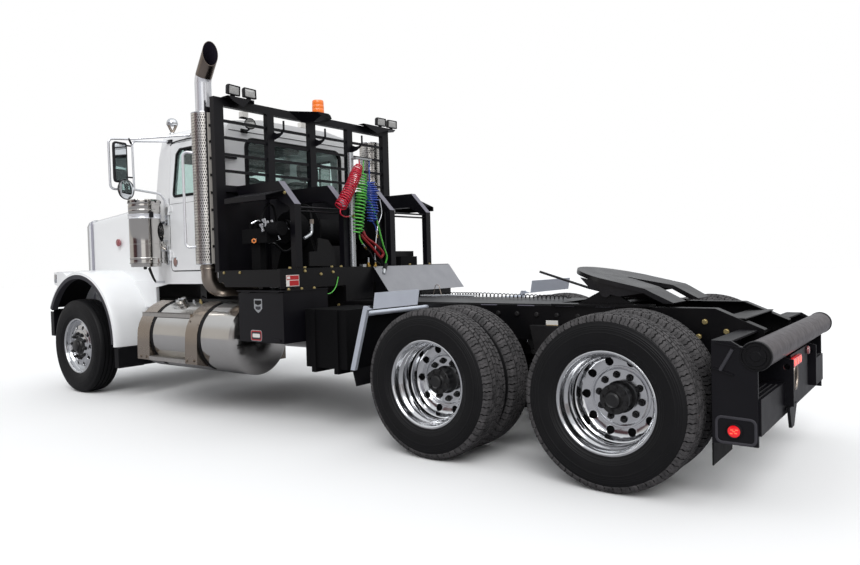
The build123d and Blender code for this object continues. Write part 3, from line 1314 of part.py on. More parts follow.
post_x = deck_rear_x + 30.0
line_x = post_x - post_radius - 56.0
hanger_z = post_top - 60.0
with BuildPart() as hose_post:
    rod((post_x, post_y, deck_top), (post_x, post_y, post_top), post_radius)
    block((line_x - 16.0, post_x), (post_y - 13.0, post_y + 13.0), (hanger_z - 8.0, hanger_z + 8.0))
    block((line_x - 16.0, line_x + 16.0), (post_y - 190.0, post_y + 30.0),
          (hanger_z - 8.0, hanger_z + 8.0))
finish(hose_post, "hose_post")


def corner_radii(points):
    """The bend radius at each inner corner: 0.45 of the shorter run over the tangent of half the turn."""
    radii = []
    for before, corner, after in zip(points, points[1:], points[2:]):
        first, second = Vector(*corner) - Vector(*before), Vector(*after) - Vector(*corner)
        turn = radians(first.get_angle(second))
        radii.append(0.45 * min(first.length, second.length) / abs(sin(turn / 2) / cos(turn / 2)))
    return radii


def cord_tube(points, radius):
    """A cord's tube along straight runs joined by tangent arcs."""
    with BuildLine() as path:
        FilletPolyline(*points, radius=corner_radii(points))
    with BuildSketch(Plane(origin=path.line @ 0, z_dir=path.line % 0)) as ring:
        Circle(radius)
    sweep(ring.sketch, path=path.line)
    print("cord length", round(path.wires()[0].length), "radii", [round(r) for r in corner_radii(points)])


red_coil = 47.0
green_coil = 46.0
blue_coil = 54.0
coil_top = hanger_z - 10.0
red_route = [
    (line_x, post_y - 28.0, coil_top - 45.0), (line_x - 4.0, post_y + 63.0, coil_top - 290.0),
    (line_x - 8.0, post_y + 179.0, deck_top + 520.0),
]
green_route = [
    (line_x, post_y - 93.0, coil_top - 150.0), (line_x - 6.0, post_y - 60.0, coil_top - 330.0),
    (line_x + 2.0, post_y - 24.0, deck_top + 500.0), (line_x - 4.0, post_y - 15.0, deck_top + 280.0),
]
blue_route = [
    (line_x, post_y - 172.0, coil_top - 230.0), (line_x - 8.0, post_y - 226.0, coil_top - 370.0),
    (line_x + 2.0, post_y - 249.0, deck_top + 400.0),
]
line_radius = 7.0
red_tail = [
    (line_x - 8.0, post_y + 172.0, deck_top + 536.0), (line_x + 55.0, post_y + 36.0, deck_top + 484.0),
]
green_tail = [
    (line_x - 4.0, post_y - 15.0, deck_top + 296.0), (line_x, post_y - 108.0, deck_top + 163.0),
    (line_x + 4.0, post_y - 207.0, deck_top + 104.0),
]
blue_tail = [
    (line_x + 2.0, post_y - 249.0, deck_top + 416.0), (line_x, post_y - 262.0, deck_top + 330.0),
]
for name, route, coil_radius, hang_y, tail in (
    ("hose_red", red_route, red_coil, post_y - 28.0, red_tail),
    ("hose_green", green_route, green_coil, post_y - 93.0, green_tail),
    ("hose_blue", blue_route, blue_coil, post_y - 172.0, blue_tail),
):
    with BuildPart() as hose:
        cord_tube(route, coil_radius)
        rod((line_x, hang_y, hanger_z - 8.0), (line_x, hang_y, route[0][2] - 1.0), line_radius)
        for start, end in zip(tail, tail[1:]):
            rod(start, end, line_radius)
    finish(hose, name)

cable_coil = 20.0
cable_z = frame_top + 8.0 + cable_coil + 0.5
cable_route = [
    (ramp_foot_x - 20.0, -330.0, cable_z), (ramp_foot_x - 700.0, -300.0, cable_z),
    (rear_axle_x + 1350.0, -200.0, cable_z), (rear_axle_x + 820.0, -80.0, cable_z),
]
with BuildPart() as frame_cable:
    cord_tube(cable_route, cable_coil)
finish(frame_cable, "frame_cable")

# ---- Mud flaps ----------------------------------------------------------------------------------------

hanger_top = (rear_axle_x + 1885.0, frame_top + 26.0)
hanger_foot = (rear_axle_x + 2041.0, 610.0)
flap_foot = (rear_axle_x + 2052.0, 480.0)
flap_thick = 9.0
bulkhead_x = roller_x + tail_plate_run - 8.0
with BuildPart() as flap_hangers:
    side_plate([hanger_top, hanger_foot, (hanger_foot[0] + 46.0, hanger_foot[1]),
                (hanger_top[0] + 46.0, hanger_top[1])],
               (rack_half_width - 30.0, rack_half_width))
    rod((hanger_top[0] + 40.0, frame_half_width, hanger_top[1] - 60.0),
        (hanger_top[0] + 40.0, rack_half_width - 5.0, hanger_top[1] - 60.0), 20.0)
    side_plate(
        [(rear_axle_x + 1833.0, 1094.0), (rear_axle_x + 1811.0, 1220.0), (rear_axle_x + 1382.0, 1248.0),
         (rear_axle_x + 1403.0, 1136.0), (rear_axle_x + 1760.0, 1101.0),
         (hanger_top[0] + 10.0, hanger_top[1] - 30.0),
         (hanger_top[0] + 10.0, hanger_top[1] - 4.0)],
        (rack_half_width - 6.0, rack_half_width))
    mirror(about=Plane.XZ)
finish(flap_hangers, "flap_hangers")

with BuildPart() as mud_flaps:
    side_plate(
        [(hanger_top[0] + 60.3, hanger_top[1] - 50.0), (hanger_foot[0] + 47.0, hanger_foot[1]), flap_foot,
         (flap_foot[0] + flap_thick, flap_foot[1]), (hanger_foot[0] + 47.0 + flap_thick, hanger_foot[1]),
         (hanger_top[0] + 60.3 + flap_thick, hanger_top[1] - 50.0)],
        (640.0, rack_half_width - 30.0 - running_gap))
    block((bulkhead_x + 12.3, bulkhead_x + 12.3 + flap_thick), (640.0, roller_half_width - 8.0),
          (230.0, 930.0))
    mirror(about=Plane.XZ)
finish(mud_flaps, "mud_flaps")

# ---- Fifth wheel --------------------------------------------------------------------------------------

pivot = (rear_axle_x + plate_pivot_ahead, plate_pivot_height)
bracket_y = (388.0, 420.0)
pivot_pin = 30.0
ear_radius = 46.0
with BuildPart() as fifth_wheel_base:
    for side in (1, -1):
        foot = sorted((side * 340.0, side * 470.0))
        block((pivot[0] - 330.0, pivot[0] + 420.0), foot, (frame_top, frame_top + 16.0))
        cheek = sorted((side * bracket_y[0], side * bracket_y[1]))
        side_plate([(pivot[0] - 190.0, frame_top + 15.0), (pivot[0] + 230.0, frame_top + 15.0),
                    (pivot[0] + ear_radius, pivot[1]), (pivot[0] - ear_radius, pivot[1])], cheek)
        rod((pivot[0], cheek[0], pivot[1]), (pivot[0], cheek[1], pivot[1]), ear_radius)
        rod((pivot[0], side * (bracket_y[0] - 1.0), pivot[1]),
            (pivot[0], side * (bracket_y[1] + 1.0), pivot[1]),
            pivot_pin + running_gap, Mode.SUBTRACT)
    block((pivot[0] - 40.0, pivot[0] + 60.0), (-345.0, 345.0), (frame_top, frame_top + 12.0))
finish(fifth_wheel_base, "fifth_wheel_base")

plate_over = 84.0
plate_under = plate_over - plate_thickness
leg_inner = throat_flare
extra = radians(ramp_tilt - plate_tilt)
with BuildPart(mode=Mode.PRIVATE) as level_plate:
    with BuildSketch(Plane.XY.offset(plate_under)) as plan:
        with BuildLine():
            Polyline((-plate_bend, -leg_inner), (-plate_bend, -plate_half_width),
                     (60.0, -plate_half_width))
            ThreePointArc((60.0, -plate_half_width), (plate_nose, 0), (60.0, plate_half_width))
            Polyline((60.0, plate_half_width), (-plate_bend, plate_half_width), (-plate_bend, leg_inner),
                     (-40.0, kingpin_throat))
            Line((-40.0, kingpin_throat), (0, kingpin_throat))
            ThreePointArc((0, kingpin_throat), (kingpin_throat, 0), (0, -kingpin_throat))
            Line((0, -kingpin_throat), (-40.0, -kingpin_throat))
            Line((-40.0, -kingpin_throat), (-plate_bend, -leg_inner))
        make_face()
    extrude(plan.sketch, amount=plate_thickness)
    for side in (1, -1):
        tip_x = -plate_bend - ramp_reach * cos(extra)
        tip_z = plate_over - ramp_reach * sin(extra)
        side_plate([(-plate_bend + 1.0, plate_over), (-plate_bend + 1.0, plate_under),
                    (tip_x + 60.0, tip_z - plate_thickness * 0.6), (tip_x, tip_z - 8.0), (tip_x, tip_z)],
                   sorted((side * leg_inner, side * plate_half_width)))
        flat_plate([(tip_x - 10.0, side * (plate_half_width - 40.0)),
                    (tip_x - 10.0, side * (plate_half_width + 5.0)),
                    (-plate_bend - 20.0, side * (plate_half_width + 5.0))], (-200.0, 100.0),
                    Mode.SUBTRACT)
        for rib_y in (plate_half_width - 12.0, 300.0):
            side_plate([(-plate_bend, plate_under + 1.0), (-110.0, -14.0), (110.0, -14.0),
                        (210.0, plate_under + 1.0)],
                       sorted((side * rib_y, side * (rib_y - 24.0))))
        rod((0, side * (plate_half_width - 30.0), 0), (0, side * 300.0, 0), pivot_pin)
        rod((0, side * (plate_half_width - 12.0), 0), (0, side * (plate_half_width - 36.0), 0), 44.0)
        rod((0, side * 300.0, 0), (0, side * 276.0, 0), 44.0)
    block((-120.0, 120.0), (-300.0, 300.0), (-6.0, plate_under))
    flat_plate([(-121.0, -60.0), (-121.0, 60.0), (0, kingpin_throat + 8.0), (30.0, 0),
                (0, -kingpin_throat - 8.0)], (-7.0, plate_under), Mode.SUBTRACT)
    rod((120.0, plate_half_width - 26.0, -8.0), (520.0, plate_half_width + 30.0, 30.0), 9.0)
with BuildPart() as fifth_wheel_plate:
    with Locations(Location((pivot[0], 0, pivot[1]), (0, -plate_tilt, 0))):
        add(level_plate.part)
finish(fifth_wheel_plate, "fifth_wheel_plate")

# ---- Tail ---------------------------------------------------------------------------------------------

tail_y = (roller_half_width + 12.0, roller_half_width + 12.0 + tail_plate)
plate_front_x = roller_x + tail_plate_run
beam_x = (roller_x - 20.0, roller_x - 20.0 + tail_beam_run)
beam_low = tail_beam_top - tail_beam_depth
shelf_z = roller_height + roller_radius - 2.0
hitch_y = (frame_half_width - 20.0, frame_half_width)
tow_hole = 19.0
tow_hole_x = roller_x - 31.0
lamp_plate_half = 300.0
tow_hole_z = beam_low + 300.0
with BuildPart() as tail_frame:
    for side in (1, -1):
        span = sorted((side * tail_y[0], side * tail_y[1]))
        side_plate(
            [(plate_front_x, tail_plate_bottom), (roller_x - 8.0, tail_plate_bottom),
             (roller_x - 8.0, roller_height - 30.0),
             (roller_x, roller_height), (roller_x + 130.0, shelf_z), (plate_front_x, shelf_z)], span)
        rod((roller_x, side * tail_y[0], roller_height), (roller_x, side * tail_y[1], roller_height),
            roller_radius + bearing_rim)
        rod((roller_x, side * (tail_y[0] - 1.0), roller_height),
            (roller_x, side * (tail_y[1] + 1.0), roller_height),
            roller_shaft + running_gap, Mode.SUBTRACT)
        block((roller_x + 130.0, plate_front_x), (side * frame_half_width, side * tail_y[0]),
              (shelf_z - 12.0, shelf_z))
        block((bulkhead_x, bulkhead_x + 12.0), (side * frame_half_width, side * tail_y[0]),
              (700.0, shelf_z))
        side_plate([(rail_tail_x + 60.0, frame_bottom), (rail_tail_x, frame_bottom),
                    (beam_x[0] - 50.0, 780.0), (beam_x[0] - 50.0, 490.0),
                    (beam_x[1], 490.0), (rail_tail_x + 60.0, 640.0)],
                    sorted((side * hitch_y[0], side * hitch_y[1])))
        rod((tow_hole_x, side * (hitch_y[0] - 1.0), tow_hole_z),
            (tow_hole_x, side * (hitch_y[1] + 1.0), tow_hole_z), tow_hole, Mode.SUBTRACT)
    block(beam_x, (-tail_y[0], tail_y[0]), (beam_low, tail_beam_top))
    block((beam_x[0] - 12.0, beam_x[0]), (-lamp_plate_half, lamp_plate_half), (beam_low + 20.0, 792.0))
finish(tail_frame, "tail_frame")

with BuildPart() as tail_roller:
    rod((roller_x, -roller_half_width, roller_height), (roller_x, roller_half_width, roller_height),
        roller_radius)
    rod((roller_x, -tail_y[1] + 2.0, roller_height), (roller_x, tail_y[1] - 2.0, roller_height),
        roller_shaft)
finish(tail_roller, "tail_roller")

with BuildPart() as tail_lamps:
    for side in (1, -1):
        rod((roller_x + 114.0, side * (tail_y[1] + 0.3), 453.0),
            (roller_x + 114.0, side * (tail_y[1] + 14.0), 453.0), 46.0)
    block((beam_x[0] - 40.0, beam_x[0] - 12.3), (-70.0, 70.0), (740.0, 786.0))
finish(tail_lamps, "tail_lamps")
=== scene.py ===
"""Looks of the winch truck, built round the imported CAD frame.

Metres, +X forward, +Y to the vehicle's left, +Z up. Each new piece is a surface computed with
numpy: a function of two parameters on a grid, or a profile carried along a path.
"""

import json
from math import cos, pi, radians, sin, sqrt, tau

import bmesh
import bpy
import numpy as np
from mathutils import Matrix, Vector
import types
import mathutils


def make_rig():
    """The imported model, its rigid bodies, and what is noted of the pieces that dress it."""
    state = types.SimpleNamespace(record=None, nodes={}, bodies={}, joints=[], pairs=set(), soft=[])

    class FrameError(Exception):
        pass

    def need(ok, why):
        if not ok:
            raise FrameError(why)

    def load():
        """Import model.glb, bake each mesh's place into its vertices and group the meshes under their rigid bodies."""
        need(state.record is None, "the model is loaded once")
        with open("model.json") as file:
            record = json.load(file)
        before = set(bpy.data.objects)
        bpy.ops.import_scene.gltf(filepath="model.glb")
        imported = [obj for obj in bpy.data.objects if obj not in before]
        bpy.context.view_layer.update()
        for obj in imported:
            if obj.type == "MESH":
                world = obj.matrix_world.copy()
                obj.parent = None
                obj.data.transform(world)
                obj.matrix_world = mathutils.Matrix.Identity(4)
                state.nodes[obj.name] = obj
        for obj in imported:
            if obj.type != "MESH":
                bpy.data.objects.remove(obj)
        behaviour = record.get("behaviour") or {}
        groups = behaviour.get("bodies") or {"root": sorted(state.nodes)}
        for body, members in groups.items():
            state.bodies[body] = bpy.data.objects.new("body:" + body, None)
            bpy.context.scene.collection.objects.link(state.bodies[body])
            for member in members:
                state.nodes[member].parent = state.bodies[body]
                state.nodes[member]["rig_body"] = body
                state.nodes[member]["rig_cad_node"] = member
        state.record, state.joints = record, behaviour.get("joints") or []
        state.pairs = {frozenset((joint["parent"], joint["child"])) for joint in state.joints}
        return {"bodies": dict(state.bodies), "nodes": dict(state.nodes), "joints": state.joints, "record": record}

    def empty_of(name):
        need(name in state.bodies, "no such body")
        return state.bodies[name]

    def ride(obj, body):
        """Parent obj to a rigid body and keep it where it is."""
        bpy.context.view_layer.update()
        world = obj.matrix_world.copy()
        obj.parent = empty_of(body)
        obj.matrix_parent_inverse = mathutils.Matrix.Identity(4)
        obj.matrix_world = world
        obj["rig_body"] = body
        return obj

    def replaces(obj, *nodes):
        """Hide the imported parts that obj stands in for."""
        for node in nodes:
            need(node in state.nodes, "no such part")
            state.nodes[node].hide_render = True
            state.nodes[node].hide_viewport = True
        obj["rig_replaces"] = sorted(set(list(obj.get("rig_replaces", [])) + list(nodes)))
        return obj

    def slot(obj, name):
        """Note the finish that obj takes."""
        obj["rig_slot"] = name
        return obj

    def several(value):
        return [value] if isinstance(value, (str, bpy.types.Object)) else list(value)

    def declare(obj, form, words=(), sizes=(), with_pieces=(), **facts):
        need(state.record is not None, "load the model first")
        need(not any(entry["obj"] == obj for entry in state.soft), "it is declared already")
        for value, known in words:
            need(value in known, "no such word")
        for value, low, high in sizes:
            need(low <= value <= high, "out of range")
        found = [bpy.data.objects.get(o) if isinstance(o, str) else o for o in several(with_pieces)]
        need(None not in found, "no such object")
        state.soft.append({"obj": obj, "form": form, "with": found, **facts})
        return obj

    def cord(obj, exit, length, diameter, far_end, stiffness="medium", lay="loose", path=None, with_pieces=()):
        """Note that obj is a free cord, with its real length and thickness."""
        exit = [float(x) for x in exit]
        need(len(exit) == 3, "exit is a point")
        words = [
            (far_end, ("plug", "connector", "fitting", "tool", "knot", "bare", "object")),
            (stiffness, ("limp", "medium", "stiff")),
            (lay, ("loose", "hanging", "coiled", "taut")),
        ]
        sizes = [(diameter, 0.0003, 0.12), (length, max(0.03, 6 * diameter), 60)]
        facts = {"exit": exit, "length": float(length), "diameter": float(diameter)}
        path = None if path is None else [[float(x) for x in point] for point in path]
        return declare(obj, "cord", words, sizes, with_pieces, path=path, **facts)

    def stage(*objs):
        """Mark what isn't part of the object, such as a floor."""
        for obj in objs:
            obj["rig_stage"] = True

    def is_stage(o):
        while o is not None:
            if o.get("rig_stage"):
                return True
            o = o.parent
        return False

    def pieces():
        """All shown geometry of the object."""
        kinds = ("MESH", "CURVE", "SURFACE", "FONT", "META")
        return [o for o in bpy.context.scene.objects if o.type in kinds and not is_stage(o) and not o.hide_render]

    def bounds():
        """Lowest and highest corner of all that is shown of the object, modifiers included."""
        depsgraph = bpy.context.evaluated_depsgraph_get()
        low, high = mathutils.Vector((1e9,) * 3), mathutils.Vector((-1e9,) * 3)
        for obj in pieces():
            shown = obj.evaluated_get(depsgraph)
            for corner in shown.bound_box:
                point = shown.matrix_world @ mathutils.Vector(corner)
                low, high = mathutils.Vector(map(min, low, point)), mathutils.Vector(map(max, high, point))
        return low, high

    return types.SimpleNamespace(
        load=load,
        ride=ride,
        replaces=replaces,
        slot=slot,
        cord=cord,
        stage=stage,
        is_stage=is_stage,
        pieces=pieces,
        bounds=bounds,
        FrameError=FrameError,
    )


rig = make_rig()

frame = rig.load()
CAD_BOX = [list(corner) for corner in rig.bounds()]
SCENE = bpy.context.scene

# ---- Driving dimensions, as in the CAD part ---------------------------------------------------------

WHEELBASE = 6.620
TANDEM = 1.372
REAR_AXLE = -3.210
MID_AXLE = REAR_AXLE + TANDEM
FRONT_AXLE = REAR_AXLE + WHEELBASE
AXLE_HEIGHT = 0.552
TYRE_RADIUS = 0.552
DECK_REAR = -0.335
DECK_TOP = 1.410
DECK_HALF = 1.228
FRAME_TOP = 1.090
CAB_REAR = 0.770
CAB_HALF = 0.935
BELT = 2.187
FRAME_SIDE = 0.432
TANK_AXIS = (0.878, 0.750)
TANK_RADIUS = 0.345
CLEANER = (1.845, 1.145)
ARCH_CENTRE = (3.330, 0.625)
STACK = (0.745, 1.160)
LEFT, RIGHT = 1.0, -1.0
SIDES = {"left": LEFT, "right": RIGHT}
ORIGIN, UP, OUTWARD, REARWARD = (0, 0, 0), (0, 0, 1), (0, 1, 0), (-1, 0, 0)


# ---- Surfaces ---------------------------------------------------------------------------------------

def quads(rows, columns, along=False, around=False):
    """Faces of a grid of rows x columns points; along joins its last row to the first, around its last column."""
    row = np.arange(rows if along else rows - 1)[:, None]
    column = np.arange(columns if around else columns - 1)[None, :]
    below, right = (row + 1) % rows, (column + 1) % columns
    corners = (row * columns + column, row * columns + right, below * columns + right, below * columns + column)
    return np.stack(np.broadcast_arrays(*corners), -1).reshape(-1, 4)


def caps(rows, count):
    """The two flat ends of a grid whose rows are closed rings of count points."""
    return np.stack([np.arange(count)[::-1], np.arange(count) + count * (rows - 1)])


def run_of(path):
    """How far along a path each of its points lies."""
    return np.concatenate([[0], np.cumsum(np.linalg.norm(np.diff(path, axis=0), axis=1))])


def shape(points, *faces, uv=None):
    """A surface: its points, its faces in groups of one size, and a pattern coordinate for each point."""
    points = np.asarray(points, float).reshape(-1, 3)
    uv = np.zeros((len(points), 2)) if uv is None else np.asarray(uv, float).reshape(-1, 2)
    return points, [np.atleast_2d(group) for group in faces], uv


def together(*shapes):
    """Several surfaces as one."""
    starts = np.cumsum([0] + [len(points) for points, _, _ in shapes])
    faces = [group + start for start, (_, groups, _) in zip(starts, shapes) for group in groups]
    return np.concatenate([s[0] for s in shapes]), faces, np.concatenate([s[2] for s in shapes])


def copies(source, matrices):
    """A surface repeated at each 4 x 4 matrix: every point times every matrix in one product."""
    points, groups, uv = source
    matrices = np.asarray(matrices, float).reshape(-1, 4, 4)
    placed = np.einsum("mij,nj->mni", matrices[:, :3, :3], points) + matrices[:, None, :3, 3]
    step = (np.arange(len(matrices)) * len(points))[:, None, None]
    groups = [(group[None] + step).reshape(-1, group.shape[1]) for group in groups]
    return placed.reshape(-1, 3), groups, np.tile(uv, (len(matrices), 1))


def mirrored(source):
    """The same surface on the vehicle's other side: y changes its sign."""
    points, groups, uv = source
    return points * (1, -1, 1), [g[:, ::-1] for g in groups], uv


def axes_for(direction, up=UP):
    """Three unit axes whose third is the direction and whose first is level with up."""
    w = np.asarray(direction, float) / np.linalg.norm(direction)
    side = np.cross(up, w)
    if np.linalg.norm(side) < 1e-6:
        side = np.cross((1, 0, 0), w)
    u = side / np.linalg.norm(side)
    return np.stack([u, np.cross(w, u), w], 1)


def aimed(points, direction, up=UP):
    """A matrix for each point that turns a surface's own +Z to one direction."""
    points = np.asarray(points, float).reshape(-1, 3)
    matrices = np.tile(np.eye(4), (len(points), 1, 1))
    matrices[:, :3, :3] = axes_for(direction, up)
    matrices[:, :3, 3] = points
    return matrices


def turned(profile, centre, axis=OUTWARD, steps=64, ring=False):
    """A (radius, distance along) profile spun about an axis: centre + a*axis + r*(cos f, sin f)."""
    profile = np.asarray(profile, float)
    if ring:
        profile = np.concatenate([profile, profile[:1]])
    basis = axes_for(axis)
    angle = np.linspace(0, tau, steps + 1)
    spoke = np.cos(angle)[:, None] * basis[:, 0] + np.sin(angle)[:, None] * basis[:, 1]
    points = np.asarray(centre, float) + profile[:, None, :1] * spoke[None] + profile[:, None, 1:] * basis[:, 2]
    uv = np.stack(np.broadcast_arrays(angle[None] * profile[:, 0].max(), run_of(profile)[:, None]), -1)
    return shape(points, quads(len(profile), steps + 1), uv=uv)


def prism(outline, span, axis="y"):
    """An outline carried straight across between two places on one axis, closed by flat ends."""
    outline = np.asarray(outline, float)
    count = len(outline)
    order = {"x": (2, 0, 1), "y": (0, 2, 1), "z": (0, 1, 2)}[axis]
    level = np.repeat(np.asarray(span, float), count)[:, None]
    points = np.concatenate([np.tile(outline, (2, 1)), level], 1)[:, order]
    return shape(points, quads(2, count, around=True), caps(2, count))


def slab(x, y, z):
    """A rectangular plate or bar between two places on each axis, each given as a pair."""
    return prism([(x[0], y[0]), (x[1], y[0]), (x[1], y[1]), (x[0], y[1])], z, "z")


def carried(profile, path, ends=True, loop=False, up=UP, scale=None):
    """A closed (u, v) profile carried along a path: each section is set square to the path's own direction,
    and turned as little as it can be from the one before it."""
    path, profile = np.asarray(path, float), np.asarray(profile, float)
    ahead = np.roll(path, -1, 0) - np.roll(path, 1, 0) if loop else np.gradient(path, axis=0)
    ahead /= np.linalg.norm(ahead, axis=1)[:, None]
    across = np.empty_like(path)
    across[0] = axes_for(ahead[0], up)[:, 0]
    for index in range(1, len(path)):
        side = across[index - 1] - ahead[index] * (across[index - 1] @ ahead[index])
        across[index] = side / np.linalg.norm(side)
    lift = np.cross(ahead, across)
    size = np.ones(len(path)) if scale is None else np.asarray(scale, float)
    points = path[:, None] + size[:, None, None] * (
        profile[None, :, :1] * across[:, None] + profile[None, :, 1:] * lift[:, None])
    count = len(profile)
    faces = [quads(len(path), count, along=loop, around=True)]
    if ends and not loop:
        faces.append(caps(len(path), count))
    girth = np.linspace(0, tau * np.abs(profile).max(), count)
    return shape(points, *faces, uv=np.stack(np.broadcast_arrays(girth[None], run_of(path)[:, None]), -1))


def circle(radius, sides=16):
    """A round (u, v) profile."""
    angle = np.arange(sides) * tau / sides
    return np.stack([np.cos(angle), np.sin(angle)], 1) * radius


def bent(points, bend, steps=8):
    """A path of straight runs whose corners are arcs of one bend radius, cut to what each corner has room for."""
    points = np.asarray(points, float)
    path = [points[:1]]
    for before, corner, after in zip(points, points[1:], points[2:]):
        back, on = before - corner, after - corner
        reach_back, reach_on = np.linalg.norm(back), np.linalg.norm(on)
        back, on = back / reach_back, on / reach_on
        half = np.arccos(np.clip(back @ on, -1, 1)) / 2
        cut = min(bend / np.tan(half), 0.48 * reach_back, 0.48 * reach_on)
        radius = cut * np.tan(half)
        middle = corner + (back + on) / np.linalg.norm(back + on) * radius / sin(half)
        start, stop = corner + back * cut - middle, corner + on * cut - middle
        sweep = pi - 2 * half
        part = np.linspace(0, 1, steps + 1)[:, None]
        path.append(middle + (np.sin((1 - part) * sweep) * start + np.sin(part * sweep) * stop) / sin(sweep))
    return np.concatenate(path + [points[-1:]])


def tube(points, radius, bend=0.0, sides=14, steps=8):
    """A round bar or pipe along straight runs with bent corners."""
    points = np.asarray(points, float)
    return carried(circle(radius, sides), bent(points, bend, steps) if bend else points)


def hexagon_head(across, height):
    """A bolt head on its washer, standing on z = 0: a round washer, a hexagon and its chamfer."""
    radius = across / sqrt(3)
    washer = turned([(0, 0), (across * 0.62, 0), (across * 0.62, height * 0.22), (0, height * 0.22)], ORIGIN, UP, 14)
    head = turned([(0, 0), (radius, 0), (radius, height * 0.85), (radius * 0.84, height), (0, height)], ORIGIN, UP, 6)
    return together(washer, head)


def bolts(points, direction, across=0.030, height=0.017, up=UP):
    """Bolt heads at points on a face, pointing along its normal."""
    return copies(hexagon_head(across, height), aimed(points, direction, up))


def rounded(width, height, radius, steps=5):
    """A (u, v) rectangle with rounded corners, about its middle."""
    turn = np.linspace(0, pi / 2, steps + 1)
    u, v = width / 2 - radius, height / 2 - radius
    return np.concatenate([np.stack([a + radius * np.cos(turn + t), b + radius * np.sin(turn + t)], 1)
                           for a, b, t in ((u, v, 0), (-u, v, pi / 2), (-u, -v, pi), (u, -v, 3 * pi / 2))])


def skinned(sections, ends=True):
    """A skin through closed sections that all have the same number of points, closed by flat ends."""
    sections = np.asarray(sections, float)
    rows, count = sections.shape[:2]
    faces = [quads(rows, count, around=True)]
    if ends:
        faces.append(caps(rows, count))
    return shape(sections, *faces)


def swelled(outline, rows, centre, direction, up=UP):
    """A (u, v) outline at (scale, distance along) places on a direction, skinned: housings, lids and lenses."""
    basis, outline = axes_for(direction, up), np.asarray(outline, float)
    return skinned([np.asarray(centre) + outline @ (scale * basis[:, :2].T) + reach * basis[:, 2]
                    for scale, reach in rows])


def arc(centre, radius, start, stop, count=12):
    """Points on an arc between two angles in degrees."""
    angle = np.radians(np.linspace(start, stop, count))
    return np.stack([centre[0] + radius * np.cos(angle), centre[1] + radius * np.sin(angle)], 1)


def curved_plate(centre, inner, outer, start, stop, span, axis="z", count=12):
    """A plate bent round an axis: two arcs joined into an outline and carried between two places."""
    outline = np.concatenate([arc(centre, outer, start, stop, count), arc(centre, inner, stop, start, count)])
    return prism(outline, span, axis)


def loop_of(corners, bend, steps=6):
    """A closed path round corners, each an arc of one bend radius."""
    corners = np.asarray(corners, float)
    start = (corners[-1:] + corners[:1]) / 2
    return bent(np.concatenate([start, corners, start]), bend, steps)[:-1]


def both(source):
    """A surface and its mirror image on the other side."""
    return together(source, mirrored(source))


def along(start, stop, count):
    """Evenly spaced places from start to stop."""
    return np.linspace(start, stop, count)


def moved(source, offset):
    """The same surface shifted by an offset."""
    points, groups, uv = source
    return points + np.asarray(offset, float), groups, uv


def row_of(source, spots):
    """A surface repeated at each spot, unturned."""
    spots = np.asarray(spots, float).reshape(-1, 3)
    matrices = np.tile(np.eye(4), (len(spots), 1, 1))
    matrices[:, :3, 3] = spots
    return copies(source, matrices)


def handed(parts, side):
    """Parts made for the left side, as they are or mirrored to the right."""
    return [(part if side > 0 else mirrored(part), finish) for part, finish in parts]


def paired(parts):
    """Parts made for the left side, on both sides."""
    return [(both(part), finish) for part, finish in parts]


# ---- Pieces -----------------------------------------------------------------------------------------

def piece(name, body, slot, parts, replaced=(), crease=35, bevel=0.0, segments=1):
    """One mesh of the truck from (surface, finish) pairs, on one body, with its creases and bevelled edges."""
    shapes = [part for part, _ in parts]
    finishes = list(dict.fromkeys(finish for _, finish in parts))
    points, groups, uv = together(*shapes)
    faces = [face for group in groups for face in group.tolist()]
    finish_of = np.concatenate([
        np.full(sum(len(g) for g in part[1]), finishes.index(finish)) for part, finish in parts])
    mesh = bpy.data.meshes.new(name)
    mesh.from_pydata(points.tolist(), [], faces)
    mesh.polygons.foreach_set("material_index", finish_of)
    corner = np.empty(len(mesh.loops), int)
    mesh.loops.foreach_get("vertex_index", corner)
    mesh.uv_layers.new(name="Pattern").data.foreach_set("uv", uv[corner].ravel())
    return finished(name, mesh, body, slot, finishes, replaced, crease, bevel, segments)


def finished(name, mesh, body, slot, finishes, replaced=(), crease=35, bevel=0.0, segments=1):
    """Closes a mesh's seams, points its faces outwards, gives its finishes and lets it ride on its body."""
    work = bmesh.new()
    work.from_mesh(mesh)
    bmesh.ops.remove_doubles(work, verts=work.verts, dist=1e-5)
    bmesh.ops.dissolve_degenerate(work, edges=work.edges, dist=1e-6)
    bmesh.ops.recalc_face_normals(work, faces=work.faces)
    for face in work.faces:
        face.smooth = True
    for edge in work.edges:
        edge.smooth = len(edge.link_faces) == 2 and edge.calc_face_angle(0) < radians(crease)
    work.to_mesh(mesh)
    work.free()
    made = bpy.data.objects.new(name, mesh)
    SCENE.collection.objects.link(made)
    for finish in finishes:
        mesh.materials.append(finish)
    if bevel:
        edge_cut = made.modifiers.new("edges", "BEVEL")
        edge_cut.width, edge_cut.segments = bevel, segments
        edge_cut.limit_method, edge_cut.angle_limit = "ANGLE", radians(40)
        edge_cut.harden_normals = True
    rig.ride(made, body)
    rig.slot(made, slot)
    if replaced:
        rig.replaces(made, *replaced)
    return made


def dressed(node, finish, crease=32, bevel=0.0, segments=1):
    """A CAD node's own shape with closed seams, smooth curves and bevelled edges."""
    source = frame["nodes"][node]
    mesh = source.data.copy()
    mesh.materials.clear()
    work = bmesh.new()
    work.from_mesh(mesh)
    bmesh.ops.remove_doubles(work, verts=work.verts, dist=1e-5)
    bmesh.ops.dissolve_limit(work, angle_limit=radians(0.5), verts=work.verts, edges=work.edges)
    work.to_mesh(mesh)
    work.free()
    slot = next(row["material_slot"] for row in frame["record"]["subparts"] if row["node"] == node)
    return finished(node + "_dressed", mesh, source["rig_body"], slot, [finish], (node,), crease, bevel, segments)


# ---- Materials --------------------------------------------------------------------------------------

